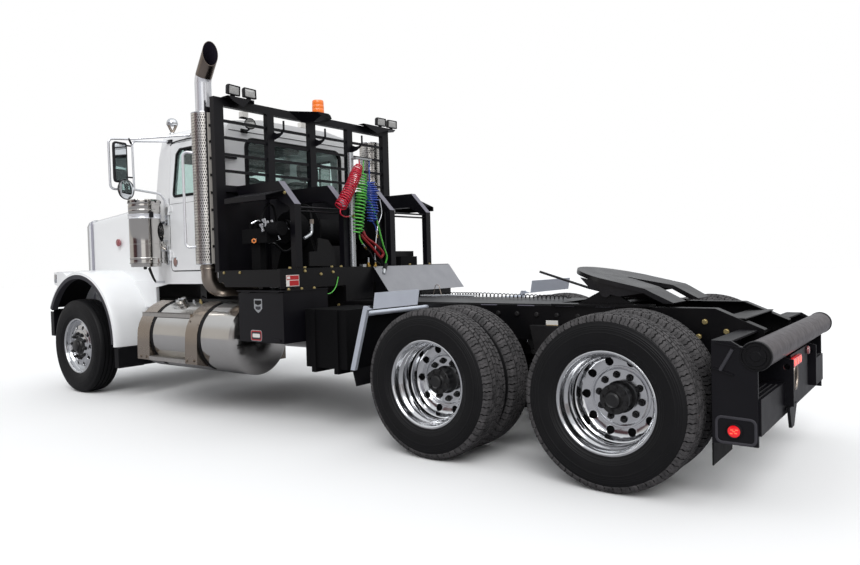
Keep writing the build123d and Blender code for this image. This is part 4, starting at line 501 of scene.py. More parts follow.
def colour(code):
    """An sRGB hex value as linear RGBA."""
    value = np.array([int(code[i:i + 2], 16) for i in (0, 2, 4)]) / 255
    linear = np.where(value <= 0.04045, value / 12.92, ((value + 0.055) / 1.055) ** 2.4)
    return (*linear.tolist(), 1.0)


def node(tree, kind, inputs=None, **settings):
    """Adds a node with its settings; each input is a value, another node's output, or a node whose first
    output it takes."""
    made = tree.nodes.new("ShaderNode" + kind)
    for key, value in settings.items():
        setattr(made, key, value)
    for key, value in (inputs or {}).items():
        if isinstance(value, bpy.types.Node):
            value = value.outputs[0]
        if isinstance(value, bpy.types.NodeSocket):
            tree.links.new(value, made.inputs[key])
        else:
            made.inputs[key].default_value = value
    return made


def material(name, base, roughness, metallic=0.0, mottle=None, mottle_size=0.2, mottle_share=0.5,
             rough_spread=0.06, bump=0.0, bump_size=0.004, **sockets):
    """A painted, moulded or plated finish: its base colour drifts to the mottle colour in soft patches
    of mottle_size metres, its roughness drifts with them, and a fine grain of bump_size metres lifts it
    by bump metres. Other sockets of the shader are set by name, with _ for a space."""
    made = bpy.data.materials.new(name)
    made.use_nodes = True
    tree = made.node_tree
    shader = tree.nodes["Principled BSDF"]
    shader.inputs["Metallic"].default_value = metallic
    for key, value in sockets.items():
        shader.inputs[key.replace("_", " ")].default_value = value
    place = node(tree, "TexCoord").outputs["Object"]
    patches = node(tree, "TexNoise", {"Vector": place, "Scale": 1 / mottle_size, "Detail": 5.0, "Roughness": 0.6})
    if mottle:
        share = node(tree, "MapRange", {"Value": patches, "From Min": 0.35, "From Max": 0.72, "To Max": mottle_share})
        mix = node(tree, "Mix", {"Factor": share, 6: colour(base), 7: colour(mottle)}, data_type="RGBA")
        tree.links.new(mix.outputs[2], shader.inputs["Base Color"])
    else:
        shader.inputs["Base Color"].default_value = colour(base)
    drift = node(tree, "MapRange", {"Value": patches, "From Min": 0.3, "From Max": 0.7,
                                    "To Min": max(0.02, roughness - rough_spread),
                                    "To Max": roughness + rough_spread})
    tree.links.new(drift.outputs[0], shader.inputs["Roughness"])
    if bump:
        grain = node(tree, "TexNoise", {"Vector": place, "Scale": 1 / bump_size, "Detail": 3.0})
        lift = node(tree, "Bump", {"Height": grain, "Distance": bump, "Strength": 1.0})
        tree.links.new(lift.outputs[0], shader.inputs["Normal"])
    return made


# Two-pack polyurethane enamel over smooth sheet: a deep gloss, clean and almost even.
WHITE = material("white_polyurethane_enamel", "f9fafb", 0.30, mottle="f2f4f5", mottle_size=1.6, rough_spread=0.02,
                 Coat_Weight=0.8, Coat_Roughness=0.05)
# Black powder coat on welded plate: satin, a little charcoal where dust dulls it.
BLACK = material("black_powder_coat", "0b0a0f", 0.40, mottle="121117", mottle_size=0.35, bump=0.0001, bump_size=0.006,
                 Specular_IOR_Level=0.30)
# Chassis enamel: semi-gloss black with road film in patches.
CHASSIS = material("black_chassis_enamel", "08080b", 0.36, mottle="151312", mottle_size=0.25, mottle_share=0.4,
                   bump=0.0001, bump_size=0.008, Specular_IOR_Level=0.30)
# Painted shade: a rough, near-black enamel with little gloss, laid where shade falls: inside the arches, in the winch
# bay, behind the wheel discs' hand holes, under the step treads, under the rear marker boxes and along seams, drip
# rails and shut lines. It takes the light and gives none back.
SHADED = material("painted_shade_black", "050507", 0.75, mottle="0c0b0c", mottle_size=0.2, Specular_IOR_Level=0.15)
# Ramp plate in silver-grey enamel, matt from boots and chains.
GREY = material("grey_deck_enamel", "8e8f94", 0.50, mottle="7f8085", mottle_size=0.20, rough_spread=0.08)
# Sand-cast steel left oily: dark, uneven and rough.
CAST = material("oiled_cast_steel", "121113", 0.48, mottle="211e1d", mottle_size=0.08, bump=0.0008, bump_size=0.010)
# Kingpin grease spread thin on the coupling plate: near black and wet.
GREASE = material("greased_cast_steel", "0c0c0e", 0.30, mottle="242226", mottle_size=0.16, bump=0.0005,
                  bump_size=0.060)
# Machined roller steel dulled by cable wear: a satin dark metal.
ROLLER = material("worn_roller_steel", "4a4145", 0.33, metallic=0.6, mottle="3b3539", mottle_size=0.05)
# Vulcanised sidewall rubber: matt black with a faint bloom.
SIDEWALL = material("vulcanised_sidewall_rubber", "09090b", 0.55, mottle="111013", mottle_size=0.12, bump=0.0002,
                    bump_size=0.003, Specular_IOR_Level=0.28)
# Tread rubber with road dust in the grooves: a warm dark grey.
TREAD = material("dusty_tread_rubber", "302f30", 0.80, mottle="625f60", mottle_size=0.05, mottle_share=0.75,
                 bump=0.0004, bump_size=0.006)
# Forged aluminium, machine polished: bright, with a soft smear from the buffing wheel.
ALLOY = material("polished_forged_aluminium", "dcdddf", 0.13, metallic=1.0, mottle="c9cacd", mottle_size=0.06,
                 rough_spread=0.05)
# Chromium plate over nickel: a cool mirror.
CHROME = material("chromium_plate", "d9dbde", 0.06, metallic=1.0, mottle="cfd1d5", mottle_size=0.15,
                  rough_spread=0.02)
# Aluminium tank sheet, buffed: a broad soft mirror.
TANK = material("buffed_aluminium_sheet", "d2d0cd", 0.15, metallic=1.0, mottle="c2bfba", mottle_size=0.5,
                rough_spread=0.05)
# Stainless sheet with a brushed grain: a warm grey that spreads its reflections.
BRUSHED = material("brushed_stainless_steel", "a89d92", 0.27, metallic=1.0, mottle="988d83", mottle_size=0.4,
                   rough_spread=0.04)
# Stainless tube and sheet round the exhaust, browned by heat.
HEATED = material("heat_tinted_stainless", "8d8279", 0.22, metallic=1.0, mottle="6c625c", mottle_size=0.15,
                  rough_spread=0.05)
# Soot on the inside of a pipe: black and matt.
SOOT = material("exhaust_soot", "2b2732", 0.90, Specular_IOR_Level=0.1)
# Open tread of pressed aluminium: pale and satin from boots.
TREAD_PLATE = material("pressed_tread_aluminium", "c9c6c2", 0.34, metallic=1.0, mottle="a8a5a1", mottle_size=0.03,
                       rough_spread=0.08)
# Zinc plate on hydraulic fittings: pale, slightly blue, semi-bright.
ZINC = material("zinc_plated_steel", "c8cbce", 0.28, metallic=0.9, mottle="b2b5b8", mottle_size=0.02)
# Yellow passivated zinc on bolt heads: straw with a green and pink cast.
YELLOW_ZINC = material("yellow_passivated_zinc", "c4b27c", 0.36, metallic=0.7, mottle="ab9c74", mottle_size=0.02)
# Machined brass on the lines' fittings: a warm, semi-bright yellow.
BRASS = material("machined_brass", "c9a65a", 0.26, metallic=1.0, mottle="ab8d4c", mottle_size=0.02)
# Vinyl strip down the hood's front edge: pale grey and satin.
EDGE_STRIP = material("grey_vinyl_strip", "a9a8b4", 0.45, mottle="95949f", mottle_size=0.1)
# Moulded EPDM on hoses, flaps and seals: even, low gloss black.
RUBBER = material("moulded_epdm_rubber", "08080b", 0.58, mottle="0e0e11", mottle_size=0.10, Specular_IOR_Level=0.25)
# Powder coat on the guards' slopes and the frame's flange, lightened to a grey: partly worn thin by chains, partly a
# painted highlight where these faces catch the sky.
WEAR_AND_SKY_HIGHLIGHT = material("worn_powder_coat_and_painted_highlight", "74727e", 0.42, mottle="66646f", mottle_size=0.1)
# Weathered rubber on the arch lips, the lamp frames and the badges: dark grey and dull.
WEATHERED = material("weathered_epdm_rubber", "3a393f", 0.62, mottle="2b2a2f", mottle_size=0.12)
# Moulded ABS on lamp and mirror shells: black with a soft shine.
PLASTIC = material("moulded_black_abs", "0d0c11", 0.40, mottle="141317", mottle_size=0.10, Specular_IOR_Level=0.35)
# Embossed vinyl in the cab: dark grey, matt, with a leathery grain.
CABIN = material("embossed_cabin_vinyl", "242528", 0.70, mottle="1b1c1f", mottle_size=0.20, bump=0.0004,
                 bump_size=0.004)
# Aluminium sheet left bare on the flap hangers: cool, pale and even.
SHEET = material("bare_aluminium_sheet", "d5dbe6", 0.34, metallic=0.5, mottle="c3c9d4", mottle_size=0.2,
                 rough_spread=0.05)
# The shield's seam strip: a dull pale grey, mostly diffuse, whose paleness is a painted reflection standing in for the
# sheen of its metal.
PAINTED_SHEEN_STRIP = material("seam_strip_with_painted_sheen", "bdb9b2", 0.55, metallic=0.3, mottle="a8a49e", mottle_size=0.05)
# Sign plates with no words, in stoved enamel: flat and even in white, red and yellow.
SIGN_WHITE = material("white_stoved_enamel", "e6e4df", 0.35)
SIGN_RED = material("red_stoved_enamel", "b3262a", 0.35)
SIGN_YELLOW = material("yellow_stoved_enamel", "d9a92c", 0.35)
# Drawn copper pipe end: a warm red-brown metal.
COPPER = material("drawn_copper_pipe", "b06a3c", 0.28, metallic=1.0)
# Hubs and nuts in black enamel over cast iron, wiped clean: low gloss.
HUB_BLACK = material("black_hub_enamel", "19191b", 0.34, mottle="2a2927", mottle_size=0.04, bump=0.0003,
                     bump_size=0.006)


def perforated(name, base, roughness, pitch, slot, plain):
    """Sheet with upright slots in rows, each row shifted half a pitch. In a cell of the pattern coordinate the
    distance to the slot is the length of (across, what along goes past the slot's straight half); inside the slot's
    radius the sheet is painted dark, the shade seen through the slot, and no slot comes within the plain border of the
    sheet's two ends."""
    made = material(name, base, roughness, metallic=1.0, mottle="9d9791", mottle_size=0.3, rough_spread=0.04)
    tree = made.node_tree
    shader = tree.nodes["Principled BSDF"]
    axes = node(tree, "SeparateXYZ", {0: node(tree, "TexCoord").outputs["UV"]}).outputs
    worked = {"u": axes[0], "v": axes[1]}
    for result, operation, *values in (
            ("row", "DIVIDE", "v", pitch[1]), ("level", "FLOOR", "row"), ("unshifted", "DIVIDE", "u", pitch[0]),
            ("column", "MULTIPLY_ADD", "level", 0.5, "unshifted"), ("column part", "FRACT", "column"),
            ("column middle", "SUBTRACT", "column part", 0.5), ("across", "MULTIPLY", "column middle", pitch[0]),
            ("row part", "FRACT", "row"), ("row middle", "SUBTRACT", "row part", 0.5),
            ("up", "MULTIPLY", "row middle", pitch[1]), ("height", "ABSOLUTE", "up"),
            ("beyond", "SUBTRACT", "height", slot[1] / 2 - slot[0] / 2), ("past", "MAXIMUM", "beyond", 0.0),
            ("across squared", "MULTIPLY", "across", "across"), ("past squared", "MULTIPLY", "past", "past"),
            ("sum", "ADD", "across squared", "past squared"), ("away", "SQRT", "sum"),
            ("in slot", "LESS_THAN", "away", slot[0] / 2), ("over foot", "GREATER_THAN", "v", plain[0]),
            ("under head", "LESS_THAN", "v", plain[1]), ("bordered", "MULTIPLY", "in slot", "over foot"),
            ("hole", "MULTIPLY", "bordered", "under head"), ("void", "MULTIPLY", "hole", 0.8),
            ("metal", "SUBTRACT", 1.0, "void"), ("sheet", "SUBTRACT", 1.0, "hole")):
        inputs = {index: worked.get(value, value) for index, value in enumerate(values)}
        worked[result] = node(tree, "Math", inputs, operation=operation).outputs[0]
    sheet_colour = shader.inputs["Base Color"].links[0].from_socket
    # Painted shade: the slots take a dark brown, the shade behind the sheet.
    dark = node(tree, "Mix", {"Factor": worked["hole"], 6: sheet_colour, 7: colour("26221f")}, data_type="RGBA")
    tree.links.new(dark.outputs[2], shader.inputs["Base Color"])
    tree.links.new(worked["metal"], shader.inputs["Metallic"])
    lift = node(tree, "Bump", {"Height": worked["sheet"], "Distance": 0.0012, "Strength": 1.0})
    tree.links.new(lift.outputs[0], shader.inputs["Normal"])
    return made


# Perforated stainless heat shield: pale sheet with upright slots painted dark, the shade seen through them.
SHIELD = perforated("perforated_stainless_shield", "f4f1ec", 0.24, (0.019, 0.0265), (0.008, 0.0165), (0.035, 1.395))
# Polished stainless housings: a mirror that is slightly warm.
POLISHED = material("polished_stainless_steel", "c9c6c2", 0.09, metallic=1.0, mottle="bcb8b3", mottle_size=0.3,
                    rough_spread=0.02)
# Stainless tube with half of its colour a diffuse near-white: a painted reflection of the sky, so it reads paler than
# plate.
TUBING = material("stainless_tube_painted_sky_reflection", "f6f7fb", 0.12, metallic=0.50, mottle="e0e2e8", mottle_size=0.4)
# Mirror glass, silvered on its back: a clean, slightly cool mirror.
MIRROR = material("silvered_mirror_glass", "e4e8ea", 0.03, metallic=1.0, rough_spread=0.01)


def lens(name, base, glow, strength):
    """Moulded lamp lens lit from behind: clear-coated colour with its own light."""
    return material(name, base, 0.12, rough_spread=0.02, Coat_Weight=1.0, Coat_Roughness=0.02,
                    Emission_Color=colour(glow), Emission_Strength=strength)


# Tail and marker lenses in moulded polycarbonate: a deep colour under a clear gloss, lit a little from behind.
RED_LENS = lens("red_polycarbonate_lens", "c31820", "ff1018", 0.45)
AMBER_LENS = lens("amber_polycarbonate_lens", "e0701a", "ff7a10", 0.35)
# The same resin, smoked by age: a dull pink-brown.
MARKER = lens("smoked_red_polycarbonate", "8d4a4c", "a01818", 0.05)
TURN_LENS = material("smoked_clear_polycarbonate", "9b8078", 0.22, mottle="7e5f58", mottle_size=0.01)
# Windows over the lit diodes: hot spots in the red.
RED_LED = lens("lit_diode_window", "ff3030", "ff4a30", 3.0)
# Moulded red bezel faded by the sun: chalky and pale.
RED_TRIM = material("faded_red_abs_bezel", "a3636a", 0.45, mottle="8e5058", mottle_size=0.02)
# Pressed and fluted lamp glass over a reflector: grey-white with a gloss.
LAMP_GLASS = material("pressed_lamp_glass", "b0b0ae", 0.14, metallic=0.35, mottle="d2d2d0", mottle_size=0.02,
                      Coat_Weight=1.0)
# Laminated window glass with a green-blue tint that hides most of the cabin.
GLASS = material("tinted_laminated_glass", "d9e9e6", 0.03, rough_spread=0.01, Transmission_Weight=0.95, IOR=1.30)
# Extruded polyurethane lines: a waxy shine and saturated colour.
RED_HOSE = material("red_polyurethane_hose", "d6153a", 0.30, mottle="b81530", mottle_size=0.03, Coat_Weight=0.4)
GREEN_HOSE = material("green_polyurethane_hose", "5fc24c", 0.30, mottle="4aa83c", mottle_size=0.03, Coat_Weight=0.4)
BLUE_HOSE = material("blue_polyurethane_hose", "2747a8", 0.30, mottle="1d3788", mottle_size=0.03, Coat_Weight=0.4)
# PVC-covered power cable, oily and worn: a dark, dull red.
DARK_RED = material("red_pvc_power_cable", "8e1a20", 0.42, mottle="6f1418", mottle_size=0.03)


# ---- Camera, floor and lights -----------------------------------------------------------------------

# Where the camera stands, its turn from +X, its tilt and its roll.
EYE = Vector((-4.9464, 5.2165, 1.4467))
YAW, PITCH, ROLL = radians(-52.885), radians(-1.723), radians(-1.475)


def camera():
    """Looks along (cos yaw cos pitch, sin yaw cos pitch, sin pitch), rolled about that line."""
    ahead = Vector((cos(YAW) * cos(PITCH), sin(YAW) * cos(PITCH), sin(PITCH)))
    right = Vector((sin(YAW), -cos(YAW), 0))
    up = right.cross(ahead)
    rolled_right = cos(ROLL) * right + sin(ROLL) * up
    rolled_up = cos(ROLL) * up - sin(ROLL) * right
    data = bpy.data.cameras.new("camera")
    data.sensor_width, data.lens = 36.0, 29.39
    data.clip_end = 200.0
    made = bpy.data.objects.new("camera", data)
    SCENE.collection.objects.link(made)
    made.matrix_world = Matrix.Translation(EYE) @ Matrix((rolled_right, rolled_up, -ahead)).transposed().to_4x4()
    SCENE.camera = made


def dome():
    """An overcast sky over a band of yard buildings round the horizon, in reflections only: the eye sees white."""
    world = bpy.data.worlds.new("studio")
    SCENE.world = world
    world.use_nodes = True
    tree = world.node_tree
    background = tree.nodes["Background"]
    level = node(tree, "SeparateXYZ", {0: node(tree, "TexCoord").outputs["Generated"]}).outputs
    up = level[2]
    sky = node(tree, "ValToRGB", {0: node(tree, "MapRange", {"Value": up, "From Min": -1.0, "From Max": 1.0})})
    ramp = sky.color_ramp
    for place, code in ((0.0, "8e8e90"), (0.47, "b4b4b6"), (0.50, "6f7174"), (0.56, "c9cbce"), (1.0, "f4f6f8")):
        stop = ramp.elements.new(place) if place not in (0.0, 1.0) else ramp.elements[0 if place == 0.0 else -1]
        stop.position, stop.color = place, colour(code)
    azimuth = node(tree, "Math", {0: level[1], 1: level[0]}, operation="ARCTAN2").outputs[0]
    turn = node(tree, "MapRange", {"Value": azimuth, "From Min": -pi, "From Max": pi}).outputs[0]
    yard = node(tree, "ValToRGB", {0: turn})
    for degrees, code in ((-180, "a9a6a2"), (-60, "c9cbce"), (45, "c6c2bd"), (56, "5c4447"), (80, "4b383b"),
                          (88, "8f8f97"), (114, "a6a6ae"), (120, "ffffff"), (142, "ffffff"), (150, "8a8585"),
                          (168, "8a8585"), (180, "c6c4c0")):
        place = (degrees + 180) / 360
        stop = yard.color_ramp.elements.new(place) if place else yard.color_ramp.elements[0]
        stop.position, stop.color = place, colour(code)
    yard.color_ramp.elements.remove(yard.color_ramp.elements[-1])
    low = node(tree, "MapRange", {"Value": up, "From Min": 0.42, "From Max": 0.26}).outputs[0]
    around = node(tree, "Mix", {"Factor": low}, data_type="RGBA")
    tree.links.new(sky.outputs[0], around.inputs[6])
    tree.links.new(yard.outputs[0], around.inputs[7])
    rays = node(tree, "LightPath").outputs
    seen = node(tree, "Math", {0: rays["Is Camera Ray"], 1: rays["Is Transmission Ray"]}, operation="MAXIMUM")
    mix = node(tree, "Mix", {"Factor": seen.outputs[0]}, data_type="RGBA")
    tree.links.new(around.outputs[2], mix.inputs[6])
    mix.inputs[7].default_value = (1.0, 1.0, 1.0, 1.0)
    tree.links.new(mix.outputs[2], background.inputs["Color"])
    background.inputs["Strength"].default_value = 1.0


def ground():
    """A flat square grid that is white to the eye and grey in reflections."""
    side = along(-60.0, 60.0, 3)
    mesh = bpy.data.meshes.new("floor")
    grid = np.stack([*np.meshgrid(side, side, indexing="ij"), np.zeros((3, 3))], -1)
    points, groups, _ = shape(grid, quads(3, 3))
    mesh.from_pydata(points.tolist(), [], groups[0][:, ::-1].tolist())
    floor = bpy.data.objects.new("floor", mesh)
    SCENE.collection.objects.link(floor)
    paper = material("floor_paper", "f6f6f6", 0.95, mottle="f4f4f4", mottle_size=2.0)
    shader, tree = paper.node_tree.nodes["Principled BSDF"], paper.node_tree
    seen = node(tree, "Mix", {"Factor": node(tree, "LightPath").outputs["Is Camera Ray"]}, data_type="RGBA")
    seen.inputs[6].default_value = colour("98989b")
    tree.links.new(shader.inputs["Base Color"].links[0].from_socket, seen.inputs[7])
    tree.links.new(seen.outputs[2], shader.inputs["Base Color"])
    mesh.materials.append(paper)
    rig.stage(floor)


def suns():
    """A broad soft sun over the camera's shoulder and a weaker one over the tail."""
    for name, ahead, spread, power in (
            ("key", (0.75, -1.0, -1.15), 38.0, 1.45), ("fill", (1.0, 0.45, -1.2), 60.0, 0.45)):
        data = bpy.data.lights.new(name, "SUN")
        data.angle, data.energy = radians(spread), power
        lamp = bpy.data.objects.new(name, data)
        SCENE.collection.objects.link(lamp)
        lamp.rotation_euler = Vector(ahead).to_track_quat("-Z", "Y").to_euler()


camera()
dome()
ground()
suns()
SCENE.view_settings.view_transform = "Standard"


# ---- Coiled air and electric lines ------------------------------------------------------------------

POST_X = DECK_REAR + 0.030
POST_Y = 0.290
POST_RADIUS = 0.0285
POST_TOP = 2.500
LINE_X = POST_X - POST_RADIUS - 0.056
HANGER_Z = POST_TOP - 0.060
COIL_TOP = HANGER_Z - 0.010
TURN_POINTS = 12


def nurbs(points, name):
    """A smooth NURBS line with these control points, of order 3, through its two ends."""
    curve = bpy.data.curves.new(name, "CURVE")
    curve.dimensions = "3D"
    spline = curve.splines.new("NURBS")
    spline.points.add(len(points) - 1)
    spline.points.foreach_set("co", np.concatenate([points, np.ones((len(points), 1))], 1).ravel())
    spline.order_u, spline.use_endpoint_u = 3, True
    return curve


def line_of(curve, resolution):
    """The points that Blender gives for a curve with no bevel."""
    curve.resolution_u = resolution
    carrier = bpy.data.objects.new("line", curve)
    SCENE.collection.objects.link(carrier)
    bpy.context.view_layer.update()
    mesh = bpy.data.meshes.new_from_object(carrier.evaluated_get(bpy.context.evaluated_depsgraph_get()))
    points = np.empty(len(mesh.vertices) * 3)
    mesh.vertices.foreach_get("co", points)
    bpy.data.objects.remove(carrier)
    bpy.data.meshes.remove(mesh)
    return points.reshape(-1, 3)


def coiled(route, top, tail, turns, radii, wander):
    """Control points of a hanging coil: the line drops from the hanger, winds round the route's own
    smooth line with its radius and its pitch changing slowly from turn to turn, and ends along the tail."""
    spine = line_of(nurbs(np.array(route), "spine"), 24)
    run = run_of(spine)
    turn = np.arange(TURN_POINTS * turns + 1) / TURN_POINTS
    reach = np.interp(turn / turns, [0, 0.5, 1], [0.02, 0.44, 0.98]) * run[-1]
    centre = np.stack([np.interp(reach, run, spine[:, axis]) for axis in range(3)], 1)
    ahead = np.gradient(centre, axis=0)
    ahead /= np.linalg.norm(ahead, axis=1)[:, None]
    across = np.cross(ahead, (1.0, 0, 0))
    across /= np.linalg.norm(across, axis=1)[:, None]
    over = np.cross(across, ahead)
    radius = np.interp(turn / turns, np.linspace(0, 1, len(radii)), radii)
    radius = radius * (1 + wander * np.sin(2.3 * turn) * np.sin(0.7 * turn + 1))
    ease = np.clip(np.minimum(turn, turns - turn) / 0.6, 0.25, 1)
    angle = tau * turn
    coil = centre + (radius * ease)[:, None] * (np.cos(angle)[:, None] * across + np.sin(angle)[:, None] * over)
    return np.concatenate([np.array(top), coil, np.array(tail)])


def hose(name, body, points, radius, finish, slot, stiffness, far_end, node_name, others=(), sides=8):
    """A coiled line: a tube of one radius along its NURBS line."""
    line = line_of(nurbs(points, name + "_line"), 4)
    length = float(np.linalg.norm(np.diff(line, axis=0), axis=1).sum())
    made = piece(name, body, slot, [(carried(circle(radius, sides), line), finish)], (node_name,), crease=70)
    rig.cord(made, exit=tuple(points[0]), length=length, diameter=2 * radius, far_end=far_end, stiffness=stiffness,
            lay="hanging", path=line.tolist(), with_pieces=list(others))
    return made


def by_post(*spots):
    """Places beside the hose post, each given as forward of the lines' plane, left of the post, and a height."""
    return [(LINE_X + x, POST_Y + y, z) for x, y, z in spots]


def lines():
    """The red, green and blue coils on the hose post with the fitting at the end of each, the straight green line,
    the strands of dark red cable, and the plug and fittings that they go to."""
    red = coiled(
        by_post((0, -0.028, COIL_TOP - 0.045), (-0.004, 0.090, COIL_TOP - 0.280), (-0.004, 0.262, DECK_TOP + 0.545)),
        by_post((0, -0.028, HANGER_Z - 0.008), (0, -0.028, HANGER_Z - 0.030)),
        by_post((-0.004, 0.255, DECK_TOP + 0.492), (0.010, 0.180, DECK_TOP + 0.470), (0.055, 0.090, DECK_TOP + 0.478),
                (0.055, 0.060, DECK_TOP + 0.482)),
        21, [0.036, 0.052, 0.052, 0.054, 0.055], 0.05)
    green = coiled(
        by_post((0, -0.070, COIL_TOP - 0.110), (-0.004, -0.050, COIL_TOP - 0.330), (0.002, -0.002, DECK_TOP + 0.480),
                (-0.004, 0.016, DECK_TOP + 0.300)),
        by_post((0, -0.093, HANGER_Z - 0.008), (0, -0.085, HANGER_Z - 0.060)),
        by_post((-0.004, -0.006, DECK_TOP + 0.262), (0, -0.040, DECK_TOP + 0.225), (0, -0.055, DECK_TOP + 0.210)),
        20, [0.036, 0.050, 0.052, 0.052, 0.048], 0.07)
    blue = coiled(
        by_post((0, -0.160, COIL_TOP - 0.190), (-0.008, -0.200, COIL_TOP - 0.370), (0.002, -0.190, DECK_TOP + 0.420)),
        by_post((0, -0.172, HANGER_Z - 0.008), (0, -0.165, HANGER_Z - 0.100)),
        by_post((0.002, -0.240, DECK_TOP + 0.400), (0, -0.250, DECK_TOP + 0.340)),
        17, [0.040, 0.070, 0.058, 0.056, 0.044], 0.22)
    sleeve = [(0, -0.014), (0.0095, -0.014), (0.0105, 0.020), (0.008, 0.022), (0.008, 0.030), (0, 0.030)]
    union = [(0, 0.030), (0.0125, 0.030), (0.0125, 0.046), (0.0085, 0.049), (0.0085, 0.062), (0, 0.062)]
    for tint, points, finish, away in (
            ("red", red, RED_HOSE, (0, -1, 0.1)), ("green", green, GREEN_HOSE, (0, -0.71, -0.70)),
            ("blue", blue, BLUE_HOSE, (0, -0.15, -1))):
        fitting = piece(f"{tint}_line_fitting", "root", f"hose_{tint}", [
            (turned(sleeve, points[-1], away, 14), ZINC), (turned(union, points[-1], away, 6), BRASS)])
        hose(f"{tint}_coiled_line", "root", points, 0.0062, finish, f"hose_{tint}", "medium", "connector",
             f"hose_{tint}", [fitting])
    x = LINE_X
    straight = [(x, 0.235, 2.180), (x, 0.213, 2.122), (x, 0.121, 2.026), (x, 0.056, 1.927), (x, 0.005, 1.789),
                (x + 0.010, -0.066, 1.621), (x + 0.030, -0.140, 1.510), (x + 0.050, -0.140, 1.440)]
    plug = [(-0.335, -0.150, 1.428), (-0.380, -0.070, 1.375), (-0.405, -0.030, 1.335)]
    strands = ([(x + 0.030, 0.205, 1.760), (x + 0.010, 0.175, 1.690), (x, 0.062, 1.625), (x, -0.045, 1.548),
                (x + 0.010, -0.040, 1.500)],
               [(x + 0.030, 0.230, 1.720), (x + 0.015, 0.190, 1.668), (x + 0.010, 0.110, 1.606),
                (x + 0.010, 0.010, 1.520), (x + 0.014, -0.035, 1.494)])
    drop = [(x, 0.245, 1.625), (x, 0.128, 1.536), (x + 0.030, 0.060, 1.475), (x + 0.050, -0.060, 1.432)]
    parts = [
        (carried(circle(0.0085, 12), smooth(straight, 6)), GREEN_HOSE),
        (carried(circle(0.021, 16), smooth(plug[:2], 3)), RUBBER),
        (carried(circle(0.019, 16), smooth(plug[1:], 3)), ZINC),
        (tube(drop, 0.0085, 0.03), RUBBER),
    ]
    parts += [(carried(circle(0.0135, 12), smooth(route, 6)), DARK_RED) for route in strands]
    base, pipe = DECK_TOP, DECK_TOP + 0.042
    nipple = [(0, base), (0.017, base), (0.017, base + 0.018), (0.011, base + 0.020), (0.011, pipe), (0, pipe)]
    riser = [(0, pipe), (0.009, pipe), (0.009, pipe + 0.048), (0, pipe + 0.048)]
    for y in (0.123, 0.028):
        parts += [(turned(nipple, (x + 0.040, y, 0), UP, 6), BRASS), (turned(riser, (x + 0.040, y, 0), UP, 14), ZINC)]
    bright = [(x + 0.040, 0.028, 1.500), (x, 0.062, 1.601), (x, 0.018, 1.807), (x, -0.044, 1.931), (x, -0.021, 2.071)]
    parts += [(carried(circle(0.0045, 8), smooth(bright, 6)), TUBING),
              (slab((-0.345, -0.300), (0.150, 0.200), (DECK_TOP, DECK_TOP + 0.026)), ZINC)]
    piece("hose_trim", "root", "hose_red", parts, crease=60)


COVER_THICK = 0.008
CABLE_COIL_RADIUS = 0.020


def frame_cable():
    """The black coiled cable that lies over the frame cover."""
    ramp_foot = DECK_REAR - 0.198
    height = FRAME_TOP + COVER_THICK + CABLE_COIL_RADIUS + 0.0005
    route = [(ramp_foot - 0.020, -0.330, height + 0.003), (ramp_foot - 0.300, -0.270, height + 0.016),
             (ramp_foot - 0.560, -0.330, height + 0.003), (ramp_foot - 0.820, -0.270, height + 0.010),
             (REAR_AXLE + 1.350, -0.200, height), (REAR_AXLE + 0.820, -0.080, height)]
    points = coiled(route, [(ramp_foot - 0.019, -0.330, height)], [(REAR_AXLE + 0.8205, -0.0801, height)], 44,
                    [0.0175, 0.018, 0.0165, 0.015], 0.05)
    hose("frame_coiled_cable", "root", points, 0.004, RUBBER, "rubber", "medium", "object", "frame_cable", sides=6)


# ---- Wheels and tyres -------------------------------------------------------------------------------

TWIN_MIDDLE = 0.915
DUAL_SPACING = 0.336
FRONT_MIDDLE = 1.015
TREAD_PITCHES = 60
# Lines of (radius, y) from the tyre's middle: over the tread, along the groove floor and down the sidewall.
TREAD_TOP = np.array([(TYRE_RADIUS, 0.0), (0.5508, 0.050), (0.5475, 0.088), (0.5435, 0.106), (0.535, 0.1165),
                      (0.521, 0.1235), (0.506, 0.1275)])
TREAD_FLOOR = np.array([(0.535, 0.0), (0.534, 0.050), (0.5315, 0.088), (0.5275, 0.102), (0.522, 0.110),
                        (0.512, 0.119), (0.503, 0.1245)])
SIDEWALL_LINE = np.array([(0.503, 0.1245), (0.494, 0.1295), (0.470, 0.136), (0.440, 0.139), (0.410, 0.1385),
                          (0.380, 0.134), (0.355, 0.1255), (0.338, 0.117), (0.3275, 0.1135), (0.318, 0.110),
                          (0.3115, 0.100)])


def smooth(points, steps=6):
    """A smooth line through points: each span blends the two parabolas that pass through its neighbours."""
    points = np.asarray(points, float)
    padded = np.concatenate([2 * points[:1] - points[1:2], points, 2 * points[-1:] - points[-2:-1]])
    t = np.linspace(0, 1, steps, endpoint=False)[:, None]
    a, b, c, d = padded[:-3, None], padded[1:-2, None], padded[2:-1, None], padded[3:, None]
    line = 0.5 * (2 * b + (c - a) * t + (2 * a - 5 * b + 4 * c - d) * t ** 2 + (3 * b - a - 3 * c + d) * t ** 3)
    return np.concatenate([line.reshape(-1, points.shape[1]), points[-1:]])


def spin_matrices(count, phase=0.0):
    """Turns about the Y axis, evenly spaced round a wheel."""
    angle = phase + np.arange(count) * tau / count
    matrices = np.tile(np.eye(4), (count, 1, 1))
    matrices[:, 0, 0] = matrices[:, 2, 2] = np.cos(angle)
    matrices[:, 0, 2], matrices[:, 2, 0] = np.sin(angle), -np.sin(angle)
    return matrices


